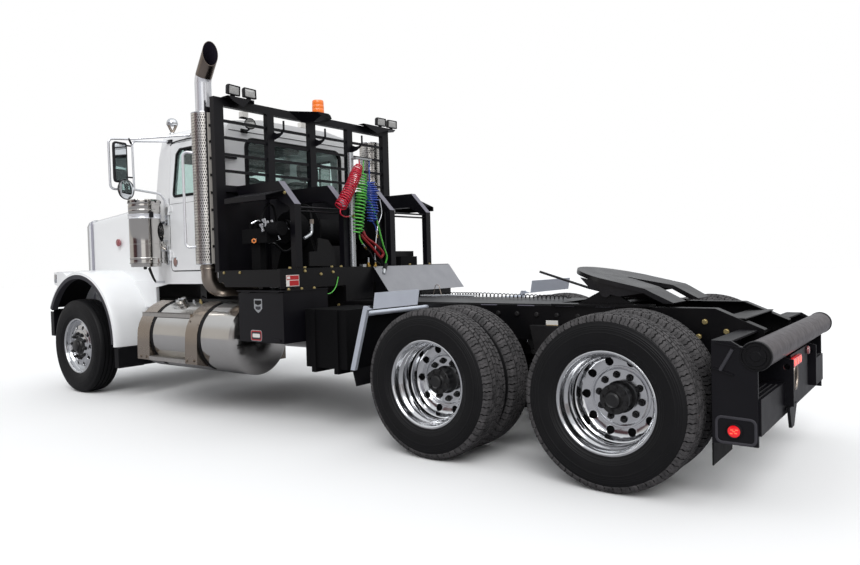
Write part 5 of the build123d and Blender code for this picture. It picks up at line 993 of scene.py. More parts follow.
def tread_block(inner, outer, start, stop, skew):
    """One block of the tread: across the tyre it follows the crown and shoulder from inner to outer, its
    front and back edges are a shallow zigzag, and its outermost ring of points drops to the groove floor."""
    run = run_of(TREAD_TOP)
    spans = 3 if outer < 0.1 else 5
    u = np.concatenate([[0], np.linspace(0, 1, spans + 1), [1]])
    v = np.array([0.0, 0.0, 1.0, 1.0])
    high = np.outer(np.r_[0, np.ones(spans + 1), 0], [0, 1, 1, 0])
    reach = inner + (outer - inner) * u
    zigzag = 0.0035 * (-1.0) ** np.arange(spans + 3)
    turn = (start + (stop - start) * v[None] + zigzag[:, None] + skew * (u[:, None] - 0.5)) / TYRE_RADIUS
    top = [np.interp(np.abs(reach), run, TREAD_TOP[:, i]) for i in (0, 1)]
    floor = [np.interp(np.abs(reach), run, TREAD_FLOOR[:, i]) - 0.002 for i in (0, 1)]
    radius = floor[0][:, None] + (top[0] - floor[0])[:, None] * high
    across = (floor[1][:, None] + (top[1] - floor[1])[:, None] * high) * np.sign(reach)[:, None]
    points = np.stack([radius * np.cos(turn), across, radius * np.sin(turn)], -1)
    return shape(points, quads(spans + 3, 4))


def carcass(tread_line, steps=96):
    """The tyre's body: sidewalls with fine raised rings, joined under the tread, spun about the axle."""
    wall = smooth(SIDEWALL_LINE, 8)
    # Each ring's radius, width and height.
    rings = ((0.500, 0.004, 0.0016), (0.480, 0.0018, 0.0018), (0.468, 0.0016, 0.0014), (0.456, 0.0016, 0.0012),
             (0.437, 0.002, 0.0018), (0.372, 0.0022, 0.0014), (0.362, 0.0016, 0.001), (0.345, 0.0026, 0.0016))
    across = [ring + width * share for ring, width, _ in rings for share in (-1.7, -0.7, 0, 0.7, 1.7)]
    radius = np.sort(np.unique(np.round(np.concatenate([wall[::3, 0], across]), 5)))[::-1]
    wall = np.stack([radius, np.interp(radius, wall[::-1, 0], wall[::-1, 1])], 1)
    for ring, width, height in rings:
        wall[:, 1] += height * np.exp(-((wall[:, 0] - ring) / width) ** 2)
    half = np.concatenate([tread_line[:-1], wall])
    profile = np.concatenate([half[::-1] * (1, -1), half[1:]])
    return turned(profile, ORIGIN, steps=steps, ring=True)


def drive_tyre():
    """A drive tyre: five rows of blocks, each cut in two by a sipe, staggered round the tread's pitches."""
    pitch = tau * TYRE_RADIUS / TREAD_PITCHES
    rows = []
    for inner, outer, phase, skew in ((-0.015, 0.015, 0.0, 0.006), (0.026, 0.060, 0.45, 0.010),
                                      (0.072, 0.158, 0.9, 0.004)):
        block = together(*[tread_block(inner, outer, low * pitch, high * pitch, skew)
                           for low, high in ((0.07, 0.46), (0.51, 0.90))])
        rows.append(copies(block, spin_matrices(TREAD_PITCHES, phase * pitch / TYRE_RADIUS)))
        if inner > 0:
            rows.append(mirrored(copies(block, spin_matrices(TREAD_PITCHES, (phase + 0.35) * pitch / TYRE_RADIUS))))
    return carcass(TREAD_FLOOR), together(*rows)


def steer_tyre():
    """A steer tyre: straight ribs parted by four grooves."""
    edges = [(TYRE_RADIUS, 0.0), (0.5517, 0.018), (0.540, 0.0205), (0.540, 0.0265), (0.551, 0.029), (0.5492, 0.060),
             (0.538, 0.0625), (0.538, 0.069), (0.5485, 0.0715), (0.544, 0.104), (0.535, 0.1165), (0.518, 0.122),
             (0.503, 0.1245)]
    return carcass(np.array(edges), 120)


def disc_ring(face, hole_circle, hole_radius, inner, outer, thick, holes=10):
    """A wheel disc with round hand holes. In each sector a point goes from the hole's rim to the sector's
    edge by one parameter and round the hole by the other; its depth is the disc's own section at its radius."""
    half = pi / holes
    corner = [np.arctan2(s * half * hole_circle, r - hole_circle) for r in (inner, outer) for s in (1, -1)]
    angle = np.sort(np.concatenate([np.arange(32) * tau / 32 - pi + 0.01, corner]))
    rim_x, rim_z = hole_circle + hole_radius * np.cos(angle), hole_radius * np.sin(angle)
    hole = np.stack([np.hypot(rim_x, rim_z), np.arctan2(rim_z, rim_x)], 1)
    with np.errstate(divide="ignore"):
        reach = np.minimum(
            np.where(np.cos(angle) > 0, outer - hole_circle, hole_circle - inner) / np.abs(np.cos(angle)),
            half * hole_circle / np.abs(np.sin(angle)))
    edge = np.stack([hole_circle + reach * np.cos(angle), reach * np.sin(angle) / hole_circle], 1)
    share = np.array([1.0, 0.6, 0.3, 0.12, 0.03, 0.0, 0.0, 0.03, 0.3, 1.0])
    depth = np.array([0, 0, 0, 0, 0.0005, 0.003, thick - 0.002, thick, thick, thick])
    polar = hole[None] * (1 - share)[:, None, None] + edge[None] * share[:, None, None]
    radius, turn = polar[..., 0], polar[..., 1]
    y = np.interp(radius, face[:, 0], face[:, 1]) - depth[:, None]
    points = np.stack([radius * np.cos(turn), y, radius * np.sin(turn)], -1)
    sector = shape(points, quads(len(share), len(angle), around=True))
    return copies(sector, spin_matrices(holes))


def nut(across, height, stud=0.012):
    """A flanged wheel nut with the end of its stud, standing on z = 0."""
    radius = across / sqrt(3)
    body = turned([(0, 0), (radius, 0), (radius, height * 0.86), (radius * 0.8, height), (0, height)], ORIGIN, UP, 6)
    flange = turned([(0, 0), (radius * 1.28, 0), (radius * 1.22, 0.006), (0, 0.006)], ORIGIN, UP, 16)
    end = turned([(0, height - 0.002), (stud, height - 0.002), (stud, height + 0.009), (stud * 0.8, height + 0.012),
                  (0, height + 0.012)], ORIGIN, UP, 10)
    return together(body, flange, end)


def on_circle(radius, y, count, phase=0.0):
    """Places on a circle about the axle."""
    angle = phase + np.arange(count) * tau / count
    return np.stack([radius * np.cos(angle), np.full(count, y), radius * np.sin(angle)], 1)


def barrel(seat, out):
    """The rim's closed section as (radius, y) about its own middle: flanges, bead seats and the drop centre
    outside, and inside the polished steps from the outer lip down to the well."""
    outside = [(0.311, -0.102), (0.3105, -0.050), (0.286, -0.022), (0.286, 0.028), (0.3105, 0.055), (0.311, 0.102)]
    lip = [(0.3225, 0.1045), (0.3255, 0.1085), (0.325, 0.1125), (0.3205, 0.1148), (0.313, 0.1138), (0.306, 0.1085),
           (0.302, 0.100)]
    inside = [(0.3005, 0.088), (0.2995, 0.062), (0.2965, 0.056), (0.290, 0.048), (0.280, 0.038), (0.2755, 0.030),
              (0.2745, 0.018), (0.2745, -0.026), (0.283, -0.042), (0.295, -0.055), (0.2995, -0.070)]
    back = [(r, -y) for r, y in lip[::-1]]
    section = np.array(outside + lip + inside + back)
    return np.stack([section[:, 0], seat + out * section[:, 1]], 1)


def on_axle(parts, hand, axle_x):
    """A wheel's parts, made about the origin for the left side, at the left or right end of an axle."""
    return [(moved(part, (axle_x, 0, AXLE_HEIGHT)), finish) for part, finish in handed(parts, SIDES[hand])]


def twin_wheels(row, hand, axle_x):
    """A pair of drive tyres on disc wheels, bolted back to back on one hub and brake drum. The discs' and the
    hub's profiles are measured out from the face between the discs, the drum's from the inner tyre's middle."""
    outer, inner = TWIN_MIDDLE + DUAL_SPACING / 2, TWIN_MIDDLE - DUAL_SPACING / 2
    at, to_drum = (0, TWIN_MIDDLE, 0), DUAL_SPACING / 2
    face = smooth([(0.100, 0.014), (0.180, 0.014), (0.200, 0.016), (0.232, 0.020), (0.255, 0.028), (0.270, 0.044),
                   (0.278, 0.070)], 8) + (0, TWIN_MIDDLE)
    polished = [
        turned(barrel(outer, 1.0), ORIGIN, steps=120, ring=True),
        disc_ring(face, 0.232, 0.0265, 0.196, 0.268, 0.013),
        turned([(0.262, 0.022), (0.266, 0.035), (0.2685, 0.050), (0.272, 0.095), (0.279, 0.100), (0.2795, 0.060),
                (0.274, 0.030), (0.268, 0.012)], at, steps=96, ring=True),
        turned([(0.090, 0.002), (0.090, 0.024), (0.176, 0.024), (0.180, 0.021), (0.181, 0.014), (0.188, 0.012),
                (0.190, 0.018), (0.197, 0.0185), (0.200, 0.015), (0.200, 0.002)], at, steps=96, ring=True),
        turned(barrel(inner, -1.0), ORIGIN, steps=72, ring=True),
        turned([(0.090, -0.001), (0.250, -0.001), (0.274, -0.040), (0.2795, -0.100), (0.272, -0.100), (0.262, -0.048),
                (0.240, -0.014), (0.090, -0.014)], at, steps=72, ring=True),
    ]
    hub = [
        turned([(0, 0), (0.104, 0), (0.104, 0.028), (0.096, 0.034), (0.088, 0.044), (0.084, 0.103), (0.094, 0.109),
                (0.096, 0.125), (0.092, 0.129), (0.060, 0.131), (0.050, 0.143), (0.047, 0.159), (0.036, 0.165),
                (0, 0.165)], at, steps=56),
        copies(hexagon_head(0.022, 0.013), aimed(on_circle(0.080, TWIN_MIDDLE + 0.128, 8, 0.2), OUTWARD)),
        copies(nut(0.033, 0.027), aimed(on_circle(0.143, TWIN_MIDDLE + 0.023, 10, 0.16), OUTWARD)),
    ]
    # Painted shade: a near-black ring just behind the outer disc, so that its hand holes show dark.
    shade = turned([(0.2005, -0.002), (0.262, -0.002), (0.262, 0.001), (0.2005, 0.001)], at, steps=48, ring=True)
    drum = turned([(0.098, -0.105), (0.206, -0.105), (0.208, -0.095), (0.208, -0.060), (0.203, -0.055),
                   (0.203, 0.060), (0.208, 0.066), (0.208, to_drum - 0.024), (0.098, to_drum - 0.020)],
                  (0, inner, 0), steps=56, ring=True)
    parts = [(part, ALLOY) for part in polished] + [(part, HUB_BLACK) for part in hub]
    parts += [(shade, SHADED), (drum, CAST)]
    piece(f"{row}_wheels_{hand}", f"wheel_{row}_{hand}", "wheel_aluminium", on_axle(parts, hand, axle_x),
          (f"{row}_rims_{hand}",), crease=28)
    body, blocks = drive_tyre()
    tyres = [(moved(source, (0, middle, 0)), finish)
             for middle in (outer, inner) for source, finish in ((body, SIDEWALL), (blocks, TREAD))]
    piece(f"{row}_drive_tyres_{hand}", f"wheel_{row}_{hand}", "tyre", on_axle(tyres, hand, axle_x),
          (f"{row}_tyres_{hand}",), crease=30)


def steer_wheel(hand):
    """A steer tyre on a polished disc wheel, with its hub, oil cap and brake drum, whose profiles are measured
    out from the disc's face."""
    disc = FRONT_MIDDLE + 0.083
    at = (0, disc, 0)
    face = smooth([(0.100, 0), (0.190, 0), (0.215, -0.002), (0.240, -0.010), (0.262, -0.022), (0.285, -0.030)], 8)
    polished = [
        turned(barrel(FRONT_MIDDLE, 1.0), ORIGIN, steps=120, ring=True),
        disc_ring(face + (0, disc), 0.222, 0.0225, 0.190, 0.262, 0.014),
        turned([(0.258, -0.020), (0.272, -0.025), (0.3015, -0.030), (0.3015, -0.044), (0.258, -0.034)],
               at, steps=96, ring=True),
        turned([(0.090, -0.014), (0.090, 0.004), (0.174, 0.004), (0.180, 0.001), (0.194, -0.0015), (0.194, -0.014)],
               at, steps=96, ring=True),
    ]
    hub = [
        turned([(0, 0), (0.104, 0), (0.104, 0.010), (0.090, 0.018), (0.082, 0.034), (0.074, 0.038), (0.066, 0.040),
                (0.060, 0.058), (0.052, 0.062), (0, 0.062)], at, steps=56),
        copies(hexagon_head(0.016, 0.008), aimed(on_circle(0.066, disc + 0.038, 6), OUTWARD)),
        copies(nut(0.033, 0.030), aimed(on_circle(0.143, disc + 0.003, 10, 0.16), OUTWARD)),
    ]
    drum = turned([(0.0454, -0.137), (0.114, -0.137), (0.114, -0.030), (0.194, -0.030), (0.194, -0.148),
                   (0.208, -0.148), (0.208, -0.016), (0.0454, -0.014)], at, steps=56, ring=True)
    parts = [(part, ALLOY) for part in polished] + [(part, HUB_BLACK) for part in hub] + [(drum, CAST)]
    piece(f"steer_wheel_{hand}", f"wheel_front_{hand}", "wheel_aluminium", on_axle(parts, hand, FRONT_AXLE),
          (f"front_rim_{hand}",), crease=28)
    tyre = [(moved(steer_tyre(), (0, FRONT_MIDDLE, 0)), SIDEWALL)]
    piece(f"steer_tyre_{hand}", f"wheel_front_{hand}", "tyre", on_axle(tyre, hand, FRONT_AXLE),
          (f"front_tyre_{hand}",), crease=30)


# ---- Exhaust and air cleaners -----------------------------------------------------------------------

TIP_TURN = radians(11)


def slashed(path, radius, cut_x, sides=40):
    """Rings of a pipe along a path, the last one slid along the path's own direction onto a plane x = cut_x."""
    rings = carried(circle(radius, sides), path, ends=False)[0].reshape(len(path), sides, 3)
    ahead = (path[-1] - path[-2]) / np.linalg.norm(path[-1] - path[-2])
    rings[-1] += ((cut_x - rings[-1][:, :1]) / ahead[0]) * ahead
    return rings


def banded(rings, ends=(False, False)):
    """A grid of rings as a surface, with a flat cap on either end."""
    rows, sides = rings.shape[:2]
    lids = [np.arange(sides)[None] + level * sides for level, shut in ((0, ends[0]), (rows - 1, ends[1])) if shut]
    return shape(rings, quads(rows, sides, around=True), *lids)


def exhaust():
    """The left stack from the chassis to its slash-cut mouth, the two perforated shields, the clamps down the
    shield's seam, the bar that stiffens it, and the grab handle on its front."""
    x, y = STACK
    rise = bent([(x, y, 1.600), (x, y, 3.216), (x - 0.2007, y, 3.439)], 0.140, 14)
    outer, inner = slashed(rise, 0.076, x - 0.178), slashed(rise, 0.0722, x - 0.178)
    for rings in (outer, inner):
        away = np.stack([rings[..., 0] - x, rings[..., 1] - y], -1)
        rings[..., 0] = x + away[..., 0] * cos(TIP_TURN) + away[..., 1] * sin(TIP_TURN)
        rings[..., 1] = y - away[..., 0] * sin(TIP_TURN) + away[..., 1] * cos(TIP_TURN)
    split = int(np.argmax(rise[:, 2] > 3.235))
    lower = tube([(x, y, 1.600), (x, y, 1.236), (x - 0.095, y - 0.460, 1.236)], 0.076, 0.120, 32, 12)
    parts = [
        (banded(outer[:split + 1], (True, False)), TUBING),
        (banded(outer[split:]), HEATED),
        (banded(np.stack([outer[-1], inner[-1]])), HEATED),
        (banded(inner[1:], (True, False)), SOOT),
        (lower, BRUSHED),
        (turned([(0.076, 0), (0.0845, 0.001), (0.085, 0.014), (0.083, 0.017), (0.085, 0.020), (0.0845, 0.033),
                 (0.076, 0.034)],
                (x, y, 1.424), UP, 40, ring=True), BRUSHED),
        (slab((x + 0.080, x + 0.112), (y - 0.016, y + 0.016), (1.430, 1.450)), BRUSHED),
    ]
    for side, top in ((LEFT, 2.889), (RIGHT, 2.881)):
        at = (x, side * y, 0)
        parts += [
            (turned([(0.1195, 1.473), (0.1195, top)], at, UP, 72), SHIELD),
            (turned([(0.078, 1.476), (0.1175, 1.476), (0.120, 1.472), (0.1212, 1.476), (0.120, 1.482), (0.117, 1.484),
                     (0.078, 1.484)], at, UP, 48, ring=True), CHROME),
            (turned([(0.070, -0.016), (0.117, -0.016), (0.120, -0.006), (0.1212, 0), (0.1196, 0.004),
                     (0.1165, -0.008), (0.070, -0.008)], (x, side * y, top), UP, 48, ring=True), CHROME),
        ]
        for low in (1.663, 2.501):
            bracket = prism([(x - 0.030, 1.050), (x + 0.020, 1.050), (CAB_REAR - 0.0003, 0.860),
                             (CAB_REAR - 0.0003, 0.800), (0.740, 0.800)],
                            (low, low + 0.040), "z")
            parts += handed([(bracket, BLACK)], side)
    parts += [
        # The seam strip's pale grey is a painted reflection of its sheen.
        (curved_plate(STACK, 0.119, 0.1214, 156, 176, (1.478, 2.884)), PAINTED_SHEEN_STRIP),
        (curved_plate(STACK, 0.118, 0.123, 149.0, 155.5, (1.478, 2.940)), BLACK),
        (curved_plate(STACK, 0.078, 0.086, 148.0, 156.0, (2.940, 3.000)), BLACK),
        (prism(np.concatenate([arc(STACK, 0.124, 146, 172, 6), arc(STACK, 0.082, 165, 150, 4)]), (2.892, 2.934), "z"),
         BLACK),
    ]
    seam = radians(167)
    clamps = [(x + 0.118 * cos(seam), y + 0.118 * sin(seam), z)
              for z in (2.765, 2.615, 2.462, 2.305, 2.140, 1.980, 1.800, 1.640)]
    parts += [(row_of(slab((-0.006, 0.010), (-0.015, 0.015), (-0.012, 0.012)), clamps), POLISHED),
              (bolts(np.array(clamps) - (0.006, 0, 0), (-0.97, 0.24, 0), 0.017, 0.014), BLACK)]
    grip = bent([(0.790, 1.262, 2.520), (0.868, 1.322, 2.535), (0.868, 1.322, 1.634), (0.790, 1.262, 1.640)], 0.075,
                10)
    parts.append((carried(circle(0.0125, 16), grip), TUBING))
    piece("exhaust_stack", "root", "chrome", parts, ("exhaust",), crease=40)


def air_cleaners():
    """Polished canisters with a clamped lid, a mounting band, a seam and a rolled lower lip, on brackets that
    reach the cowl, with the rubber elbow that feeds the engine and a dust valve underneath."""
    body = [(0, 2.156), (0.120, 2.157), (0.148, 2.1615), (0.157, 2.160), (0.160, 2.154), (0.160, 2.120),
            (0.1575, 2.115), (0.154, 2.114), (0.154, 2.105), (0.1585, 2.103), (0.1585, 2.062), (0.1565, 2.058),
            (0.1585, 2.054), (0.1585, 2.035), (0.1555, 2.030), (0.156, 1.706), (0.1548, 1.7045), (0.1548, 1.700),
            (0.156, 1.6985), (0.156, 1.564), (0.1595, 1.560), (0.161, 1.553), (0.1595, 1.546), (0.156, 1.542),
            (0.156, 1.516), (0.160, 1.513), (0.1615, 1.506), (0.160, 1.499), (0.150, 1.496), (0.148, 1.467),
            (0.144, 1.465), (0, 1.465)]
    at, lid = (*CLEANER, 0), np.array((*CLEANER, 2.1375))
    outward = on_circle(0.160, 0, 10, 0.2)[:, (0, 2, 1)]
    parts = [
        (turned(body, at, UP, 72), POLISHED),
        (turned([(0.1565, 1.962), (0.165, 1.963), (0.1655, 1.967), (0.163, 1.971), (0.163, 2.003), (0.1655, 2.007),
                 (0.165, 2.011), (0.1565, 2.012)], at, UP, 72, ring=True), TUBING),
        (slab((1.670, 1.692), (1.150, 1.190), (1.972, 2.030)), BLACK),
        (together(*[copies(slab((-0.008, 0.008), (-0.011, 0.011), (-0.001, 0.005)), aimed(lid + way, way))
                    for way in outward]),
         BLACK),
        (slab((1.690, 1.712), (1.118, 1.172), (1.968, 2.008)), CHROME),
        (tube([(1.690, 1.128, 1.988), (1.690, 1.164, 1.988)], 0.007), BLACK),
        (turned([(0, 1.468), (0.014, 1.466), (0.019, 1.456), (0.014, 1.440), (0, 1.438)], (1.868, CLEANER[1], 0), UP,
                20), RUBBER),
    ]
    elbow, ahead = (1.782, 1.022, 1.828), (0.35, 0.937, 0)
    inboard = CLEANER[1] - 0.142
    for step in (-0.018, 0.0, 0.018):
        parts.append((turned([(0.089, step - 0.004), (0.101, step - 0.006), (0.104, step), (0.101, step + 0.006),
                              (0.089, step + 0.004)], elbow, ahead, 40, ring=True), RUBBER))
    parts += [
        (turned([(0, -0.028), (0.090, -0.028), (0.090, 0.022), (0, 0.022)], elbow, ahead, 36), POLISHED),
        (tube([(1.782, 1.022, 1.740), (1.784, 1.000, 1.690), (1.786, 0.950, 1.660)], 0.030, 0.03), POLISHED),
        (slab((1.745, 1.790), (0.930, 0.946), (1.900, 2.090)), CHROME),
        (prism([(1.775, 1.700), (1.742, 1.700), (1.730, 1.500), (1.800, 1.500)], (0.955, 0.965), "y"), CHROME),
    ]
    for low, high, reach in ((1.625, 1.640, 0.060), (1.730, 1.745, 0.060), (1.915, 1.945, 0.030)):
        rear, front = CLEANER[0] - reach, CLEANER[0] + reach
        parts.append((prism([(rear, inboard), (front, inboard), (front, 0.902), (rear, 0.922)], (low, high), "z"),
                      CHROME))
    parts.append((prism([(1.800, 1.700), (1.770, 1.640), (1.735, 1.500), (1.770, 1.480), (1.830, 1.520),
                         (1.850, 1.700)],
                        (0.932, 0.952), "y"), CHROME))
    piece("air_cleaner_housings", "root", "polished_steel", paired(parts), ("air_cleaners",), crease=38)


# ---- Lamps over the rack ----------------------------------------------------------------------------

def rack_lamps():
    """Work lamps in moulded shells that face the tail, each on a bracket, and the ribbed amber beacon."""
    parts = []
    for middle, turn, tip in ((1.048, -0.10, 0.06), (0.862, -0.04, -0.05), (-1.034, 0.05, 0.06),
                              (-1.232, 0.10, 0.02)):
        ahead = (-1.0, turn, -tip)
        at = (0.452, middle, 3.083)
        frame_line = rounded(0.146, 0.092, 0.006, 3)
        parts += [
            (swelled(frame_line, [(0.45, -0.040), (0.80, -0.030), (0.94, -0.012), (1.0, 0.010), (1.0, 0.024),
                                  (0.97, 0.026), (0.88, 0.026), (0.86, 0.014)], at, ahead), PLASTIC),
            (swelled(rounded(0.122, 0.070, 0.008), [(1.0, 0.012), (1.0, 0.020), (0.7, 0.0225), (0.3, 0.0235)], at,
                     ahead), LAMP_GLASS),
            (prism([(middle - 0.030, 3.019), (middle + 0.030, 3.019), (middle + 0.012, 3.064),
                    (middle - 0.012, 3.064)],
                   (0.450, 0.462), "x"), BLACK),
        ]
    around, ribs, beacon = np.linspace(0, tau, 145)[:-1], 36, (0.420, -0.010, 0)
    levels = np.array([(0.060, 3.024), (0.0615, 3.028), (0.061, 3.066), (0.059, 3.070), (0.061, 3.074),
                       (0.060, 3.104), (0.058, 3.108), (0.0595, 3.112), (0.058, 3.148), (0.054, 3.158),
                       (0.030, 3.162)])
    radius = levels[:, :1] + 0.0008 * np.cos(ribs * around)[None] * (levels[:, :1] > 0.054)
    dome = np.stack([radius * np.cos(around), radius * np.sin(around), np.repeat(levels[:, 1:], 144, 1)], -1) + beacon
    parts += [
        (turned([(0, 3.020), (0.062, 3.020), (0.064, 3.022), (0.062, 3.026), (0, 3.026)], beacon, UP, 48), PLASTIC),
        (skinned(dome), AMBER_LENS),
    ]
    for peak in ((1.130, 1.065, 0.957, 0.868), (-0.706, -0.820, -0.940, -1.212)):
        ends = [[(x, y, z) for y, z in zip(peak, heights)]
                for x, heights in ((0.416, (3.020, 2.974, 2.936, 3.020)), (0.500, (3.019, 3.010, 3.000, 3.019)))]
        parts.append((skinned(ends), BLACK))
    parts.append((skinned([[(0.345, 0.085, 3.018), (0.345, 0.020, 2.990), (0.345, -0.110, 3.014)],
                           [(0.420, 0.190, 3.016), (0.420, 0.060, 2.930), (0.420, -0.210, 3.000)],
                           [(0.500, 0.330, 3.011), (0.500, 0.150, 2.920), (0.500, -0.240, 2.990)]]), BLACK))
    piece("rack_work_lamps", "root", "lamp_plastic", parts, ("rack_lamps",), crease=35)


# ---- Mirrors ----------------------------------------------------------------------------------------

def mirrors():
    """West-coast mirrors: a flat glass over a round one, on a stainless hoop from the roof edge to the cowl."""
    back = (-0.978, -0.208, 0)
    head, spot = (1.790, 1.424, 2.519), (1.780, 1.379, 2.250)
    shell = rounded(0.158, 0.408, 0.024, 8)
    hoop = bent([(1.387, 0.880, 2.812), (1.792, 1.300, 2.768), (1.830, 1.514, 2.752), (1.830, 1.512, 2.252),
                 (1.792, 1.275, 2.258), (1.792, 0.992, 2.231), (1.792, 0.938, 2.165), (1.792, 0.936, 1.990)], 0.045)
    inner = bent([(1.760, 0.890, 2.788), (1.792, 1.285, 2.748), (1.792, 1.280, 2.262)], 0.045)
    parts = [
        (swelled(shell, [(0.66, -0.030), (0.88, -0.024), (0.98, -0.010), (1.0, 0.004), (1.0, 0.018), (0.965, 0.021),
                         (0.90, 0.021), (0.89, 0.015)], head, back), PLASTIC),
        (swelled(rounded(0.140, 0.384, 0.018, 8), [(1.0, 0.010), (1.0, 0.0165)], head, back), MIRROR),
        (turned([(0, -0.034), (0.055, -0.030), (0.088, -0.014), (0.101, 0.0), (0.103, 0.008), (0.0985, 0.013),
                 (0.093, 0.010), (0.092, 0.004), (0, 0.004)], spot, back, 48), PLASTIC),
        (turned([(0, 0.018), (0.030, 0.0172), (0.060, 0.0145), (0.085, 0.0105), (0.0925, 0.0085), (0.0925, 0.003),
                 (0, 0.003)], spot,
                back, 48), MIRROR),
        (carried(circle(0.012, 14), hoop), TUBING),
        (carried(circle(0.011, 14), inner), TUBING),
        (slab((1.690, 1.778), (0.884, 0.902), (2.768, 2.802)), BLACK),
        (slab((1.360, 1.410), (0.876, 0.888), (2.798, 2.824)), POLISHED),
        (slab((1.772, 1.812), (0.920, 0.936), (1.990, 2.125)), POLISHED),
        (tube([(1.792, 1.322, 2.775), (1.786, 1.296, 2.718)], 0.010), BLACK),
        (tube([(1.806, 1.292, 2.700), (1.812, 1.400, 2.700)], 0.008), BLACK),
        (tube([(1.806, 1.288, 2.380), (1.812, 1.400, 2.380)], 0.008), BLACK),
        (tube([(1.800, 1.284, 2.264), (1.812, 1.394, 2.250)], 0.009), BLACK),
    ]
    piece("mirrors", "root", "chrome", paired(parts), ("cab_fittings",), crease=38)


# ---- Cab and hood details ---------------------------------------------------------------------------

def side_y(z, stand=0.0):
    """Half the cab's width at a height: upright up to the belt, then leaning in."""
    return CAB_HALF - 0.055 * np.clip(z - BELT, 0, 1) / 0.688 + stand


def on_side(points, stand=0.0):
    """Points of (x, z) on the cab's side, as (x, y, z)."""
    points = np.asarray(points, float)
    return np.stack([points[:, 0], side_y(points[:, 1], stand), points[:, 1]], 1)


def gasket(corners, bend, width, height, up):
    """A moulded rubber section round an opening: a low arch of one width and height on a closed path."""
    return carried(rounded(width, height, height * 0.42, 4), loop_of(corners, bend), loop=True, up=up)


def cab_details():
    """The rear window's gasket, painted shade along the rib seams and under the marker boxes on the rear wall, the
    drip rails in painted shade, spot lamp, roof horn and the hood's rubber straps; inside, the seats' backs and head
    rests, the visors and the roof console."""
    window = [(CAB_REAR - 0.002, y, z) for y, z in ((-0.662, 2.106), (0.662, 2.106), (0.662, 2.718), (-0.662, 2.718))]
    parts = [(gasket(window, 0.085, 0.046, 0.030, UP), RUBBER)]
    # Painted shade: thin near-black strips along the rear wall's rib seams.
    for height, reach in ((2.868, 0.840), (2.790, 0.868), (2.068, 0.900)):
        parts.append((slab((CAB_REAR - 0.0035, CAB_REAR + 0.0005), (-reach, reach), (height - 0.003, height + 0.003)),
                      SHADED))
    # Each marker box has a thin strip of painted shade under it.
    for middle in (0.655, -0.130):
        box = rounded(0.075, 0.060, 0.010)
        parts += [(swelled(box, [(0.94, 0.0), (1.0, 0.006), (1.0, 0.054), (0.94, 0.060)], (0.830, middle, 2.968),
                           REARWARD), SIGN_WHITE),
                  (slab((0.776, 0.830), (middle - 0.038, middle + 0.038), (2.930, 2.937)), SHADED)]
    # The drip rails are drawn in painted shade.
    drip = [(1.730, 0.888, 2.742), (1.660, 0.892, 2.768), (1.500, 0.893, 2.776), (1.000, 0.893, 2.778),
            (0.900, 0.893, 2.778)]
    parts.append((both(carried(rounded(0.012, 0.009, 0.003, 3), smooth(drip, 5))), SHADED))
    lamp, ahead = (0.648, 0.700, 2.850), (-1.0, 0.35, 0.10)
    parts += [
        (turned([(0, -0.045), (0.030, -0.042), (0.048, -0.028), (0.056, -0.006), (0.058, 0.004), (0.055, 0.009),
                 (0.050, 0.007), (0.049, 0.001), (0, 0.001)], lamp, ahead, 36), PLASTIC),
        (turned([(0, 0.012), (0.028, 0.0105), (0.049, 0.006), (0.049, 0.0), (0, 0.0)], lamp, ahead, 36), LAMP_GLASS),
        (tube([(0.660, 0.700, 2.800), (0.690, 0.700, 2.790), (0.768, 0.700, 2.796)], 0.009), PLASTIC),
        (slab((0.752, 0.769), (0.650, 0.725), (2.776, 2.814)), PLASTIC),
    ]
    horn_x, horn_y = 1.972, 0.700
    parts += [
        (turned([(0, 0.062), (0.020, 0.060), (0.040, 0.050), (0.054, 0.032), (0.060, 0.008), (0.060, -0.010),
                 (0.055, -0.018), (0.0, -0.018)], (horn_x, horn_y, 3.030), UP, 40), CHROME),
        (turned([(0, 0), (0.034, 0), (0.030, 0.010), (0.012, 0.018), (0, 0.018)], (horn_x, horn_y, 2.918), UP, 24),
         CHROME),
    ]
    parts += [(tube([(horn_x, horn_y + reach, 3.014), (horn_x, horn_y + reach / 12, 2.936)], 0.014), BRUSHED)
              for reach in (-0.048, 0.048)]
    strap = smooth([(2.032, 1.000, 1.455), (2.006, 1.004, 1.420), (1.950, 1.006, 1.345), (1.915, 1.000, 1.300)], 5)
    parts += [(both(carried(rounded(0.034, 0.010, 0.003, 3), strap, up=OUTWARD, scale=np.linspace(1.25, 0.75, 16))),
               RUBBER),
              (both(slab((1.895, 1.925), (0.90, 1.004), (1.290, 1.312))), CHROME)]
    for middle in (0.440, -0.440):
        parts += [(swelled(rounded(0.500, 0.820, 0.10), [(0.90, -0.060), (1.0, -0.030), (1.0, 0.050), (0.90, 0.075)],
                           (1.120, middle, 1.980), (-1, 0, 0.12)), CABIN),
                  (swelled(rounded(0.280, 0.200, 0.06), [(0.85, -0.045), (1.0, -0.02), (1.0, 0.04), (0.85, 0.05)],
                           (1.075, middle, 2.500), (-1, 0, 0.12)), CABIN),
                  (slab((1.700, 1.712), (middle - 0.300, middle + 0.300), (2.560, 2.740)), CABIN)]
    parts.append((slab((1.05, 1.70), (-0.30, 0.30), (2.700, 2.800)), CABIN))
    piece("cab_trim", "root", "rubber", parts, crease=38)


